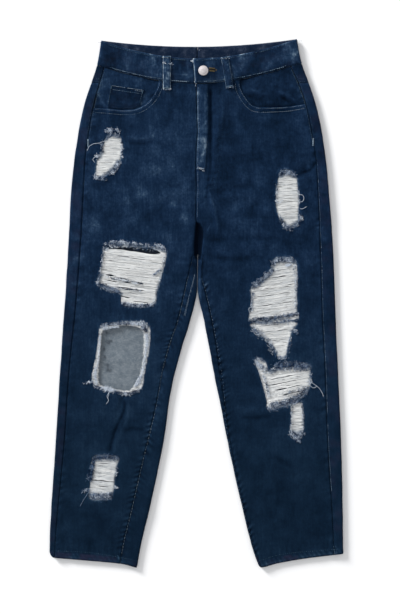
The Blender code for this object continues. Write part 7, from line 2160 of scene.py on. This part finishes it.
    # small frays: the band's end, the tops of the belt loops, under the buttonhole
    f0 = lambda x, y: loop_top(LOOPS[0], x, y)
    f1 = lambda x, y: loop_top(LOOPS[1], x, y)
    tuft(fuzz, [(-8.2, 417.4), (-5.1, 414.9)], 2.0, 34, 3.2, 4001, (0.02, 0.05), 0.24, height=band_face)
    tuft(fuzz, [(-58.0, 413.9), (-52.2, 412.2)], 1.8, 26, 3.2, 4003, (0.05, 0.08), 0.22, height=f0)
    tuft(fuzz, [(-46.4, 411.5), (-41.5, 410.5)], 1.8, 18, 3.0, 4005, (0.10, 0.10), 0.22, height=f0)
    tuft(fuzz, [(-57.0, 422.5), (-44.6, 421.8)], 0.9, 20, 2.2, 4007, (0.5, 0.2), 0.18, height=f0)
    tuft(fuzz, [(40.0, 421.1), (58.6, 420.5)], 1.0, 24, 2.4, 4009, (0.50, 0.25), 0.18, height=f1)
    tuft(fuzz, [(52.0, 370.2), (63.7, 370.9)], 1.4, 26, 2.6, 4011, (0.2, 0.14), 0.20, height=f1)
    tuft(fuzz, [(-57.0, 367.5), (-44.3, 367.1)], 1.4, 26, 2.6, 4013, (0.2, 0.14), 0.20, height=f0)
    tuft(fuzz, [(24.3, 396.0), (29.7, 395.3)], 1.4, 10, 2.4, 4015, (0.55, 0.2), 0.18, height=band_face)
    tuft(fuzz, [(4.6, 436.6), (11.4, 436.3)], 0.8, 8, 2.0, 4017, (0.4, 0.1), 0.17, height=lambda x, y: 0 * x + 3.6)
    tuft(fuzz, [(-3.0, 382.3), (-1.3, 373.7)], 1.4, 16, 2.6, 4019, (0.15, 0.1), 0.2, height=band_face)
    tuft(fuzz, [(2.1, 234.3), (13.2, 227.5)], 2.0, 26, 2.6, 4021, (0.06, 0.08), 0.2, height=fly_height)
    for name, bundle, mats in (("stitching_tan", tan, SEWING), ("stitching_pale", pale, SEWING_PALE),
                               ("buttonhole_stitches", olive, OLIVE), ("small_frays", fuzz, FRAY)):
        obj = bundle.made(name, (mats,))
        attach(obj, "root")
        PIECES[name] = obj
    WITH.update({"stitching_tan": "denim_front_l", "stitching_pale": "denim_front_l",
                 "buttonhole_stitches": "band_r", "small_frays": "band_r"})


def make_button():
    """A shank button: a domed cap with a rolled rim, on a short post."""
    x, y = BUTTON_AT
    base = float(crown(x, y)) + BAND_STEP + LAP_STEP + REST
    profile = ((0.0, 4.55), (1.6, 4.50), (3.2, 4.38), (4.8, 4.14), (5.9, 3.86), (6.25, 3.62), (6.6, 3.62),
               (6.95, 3.72), (7.5, 3.62), (8.0, 3.25), (8.35, 2.75), (8.5, 2.25), (8.38, 1.80), (8.0, 1.52),
               (7.3, 1.42), (3.6, 1.45), (3.2, 1.2), (3.05, 0.6), (3.2, 0.1), (0.0, 0.1))
    turns = 64
    a = 2.0 * pi * np.arange(turns) / turns
    rings = [np.stack([x + r * np.cos(a), y + r * np.sin(a), np.full(turns, base + z)], 1) for r, z in profile[1:-1]]
    verts = np.concatenate([[(x, y, base + profile[0][1])]] + rings + [[(x, y, base + profile[-1][1])]])
    i, j = np.arange(turns), (np.arange(turns) + 1) % turns
    quads = []
    for k in range(len(rings) - 1):
        p, q = 1 + k * turns, 1 + (k + 1) * turns
        quads.append(np.stack([p + j, p + i, q + i, q + j], 1))
    last = 1 + (len(rings) - 1) * turns
    tris = [np.stack([0 * i, 1 + i, 1 + j], 1), np.stack([last + i, 0 * i + len(verts) - 1, last + j], 1)]
    obj = mesh_piece("shank_button", verts, [np.concatenate(quads), np.concatenate(tris)], (METAL,))
    kept(obj, ["button"])


make_stitches()
make_button()


# ------------------------------------------------------- floor and light
def floor():
    n = Nodes("studio_floor")
    speck = n.noise(3.0, 2.0, 0.5)
    n.put(n.shader.inputs["Base Color"], n.ramp(speck, ((0.0, (0.94, 0.94, 0.94)), (1.0, (0.96, 0.96, 0.96)))))
    n.rough(speck, 0.90, 0.95)
    n.cloth(0.0, 0.0)
    half = 6000.0
    verts = np.array([(-half, -half, -0.4), (half, -half, -0.4), (half, half, -0.4), (-half, half, -0.4)])
    obj = mesh_piece("floor", verts, [np.array([[0, 1, 2, 3]])], (n.material,), smooth_faces=False)
    return obj


floor()
scene = bpy.context.scene
scene.view_settings.view_transform = "Standard"
world = bpy.data.worlds.new("studio")
scene.world = world
world.use_nodes = True
world.node_tree.nodes["Background"].inputs["Color"].default_value = (0.97, 0.98, 1.0, 1.0)
world.node_tree.nodes["Background"].inputs["Strength"].default_value = 0.66


def lamp(name, place, aim, size, watts, color=(1.0, 1.0, 1.0)):
    data = bpy.data.lights.new(name, "AREA")
    data.shape = "DISK"
    data.size = size
    data.energy = watts
    data.color = color
    obj = bpy.data.objects.new(name, data)
    obj.location = place
    obj.rotation_euler = (Vector(aim) - Vector(place)).to_track_quat("-Z", "Y").to_euler()
    scene.collection.objects.link(obj)
    return obj


lamp("key", (-6.1, 5.9, 2.75), (0.0, 0.0, 0.0), 2.6, 1315.0)

camera = bpy.data.cameras.new("camera")
camera.sensor_width = 36.0
camera.lens = 36.0 * 2500.0 / 1056.1
eye = bpy.data.objects.new("camera", camera)
eye.location = (0.0063, -0.00645, 2.5065)
scene.collection.objects.link(eye)
scene.camera = eye

# ---------------------------------------------------------- pieces grouped by the panel each goes with
GOES_WITH = {}
for key, value in WITH.items():
    GOES_WITH.setdefault(value, []).append(PIECES[key])
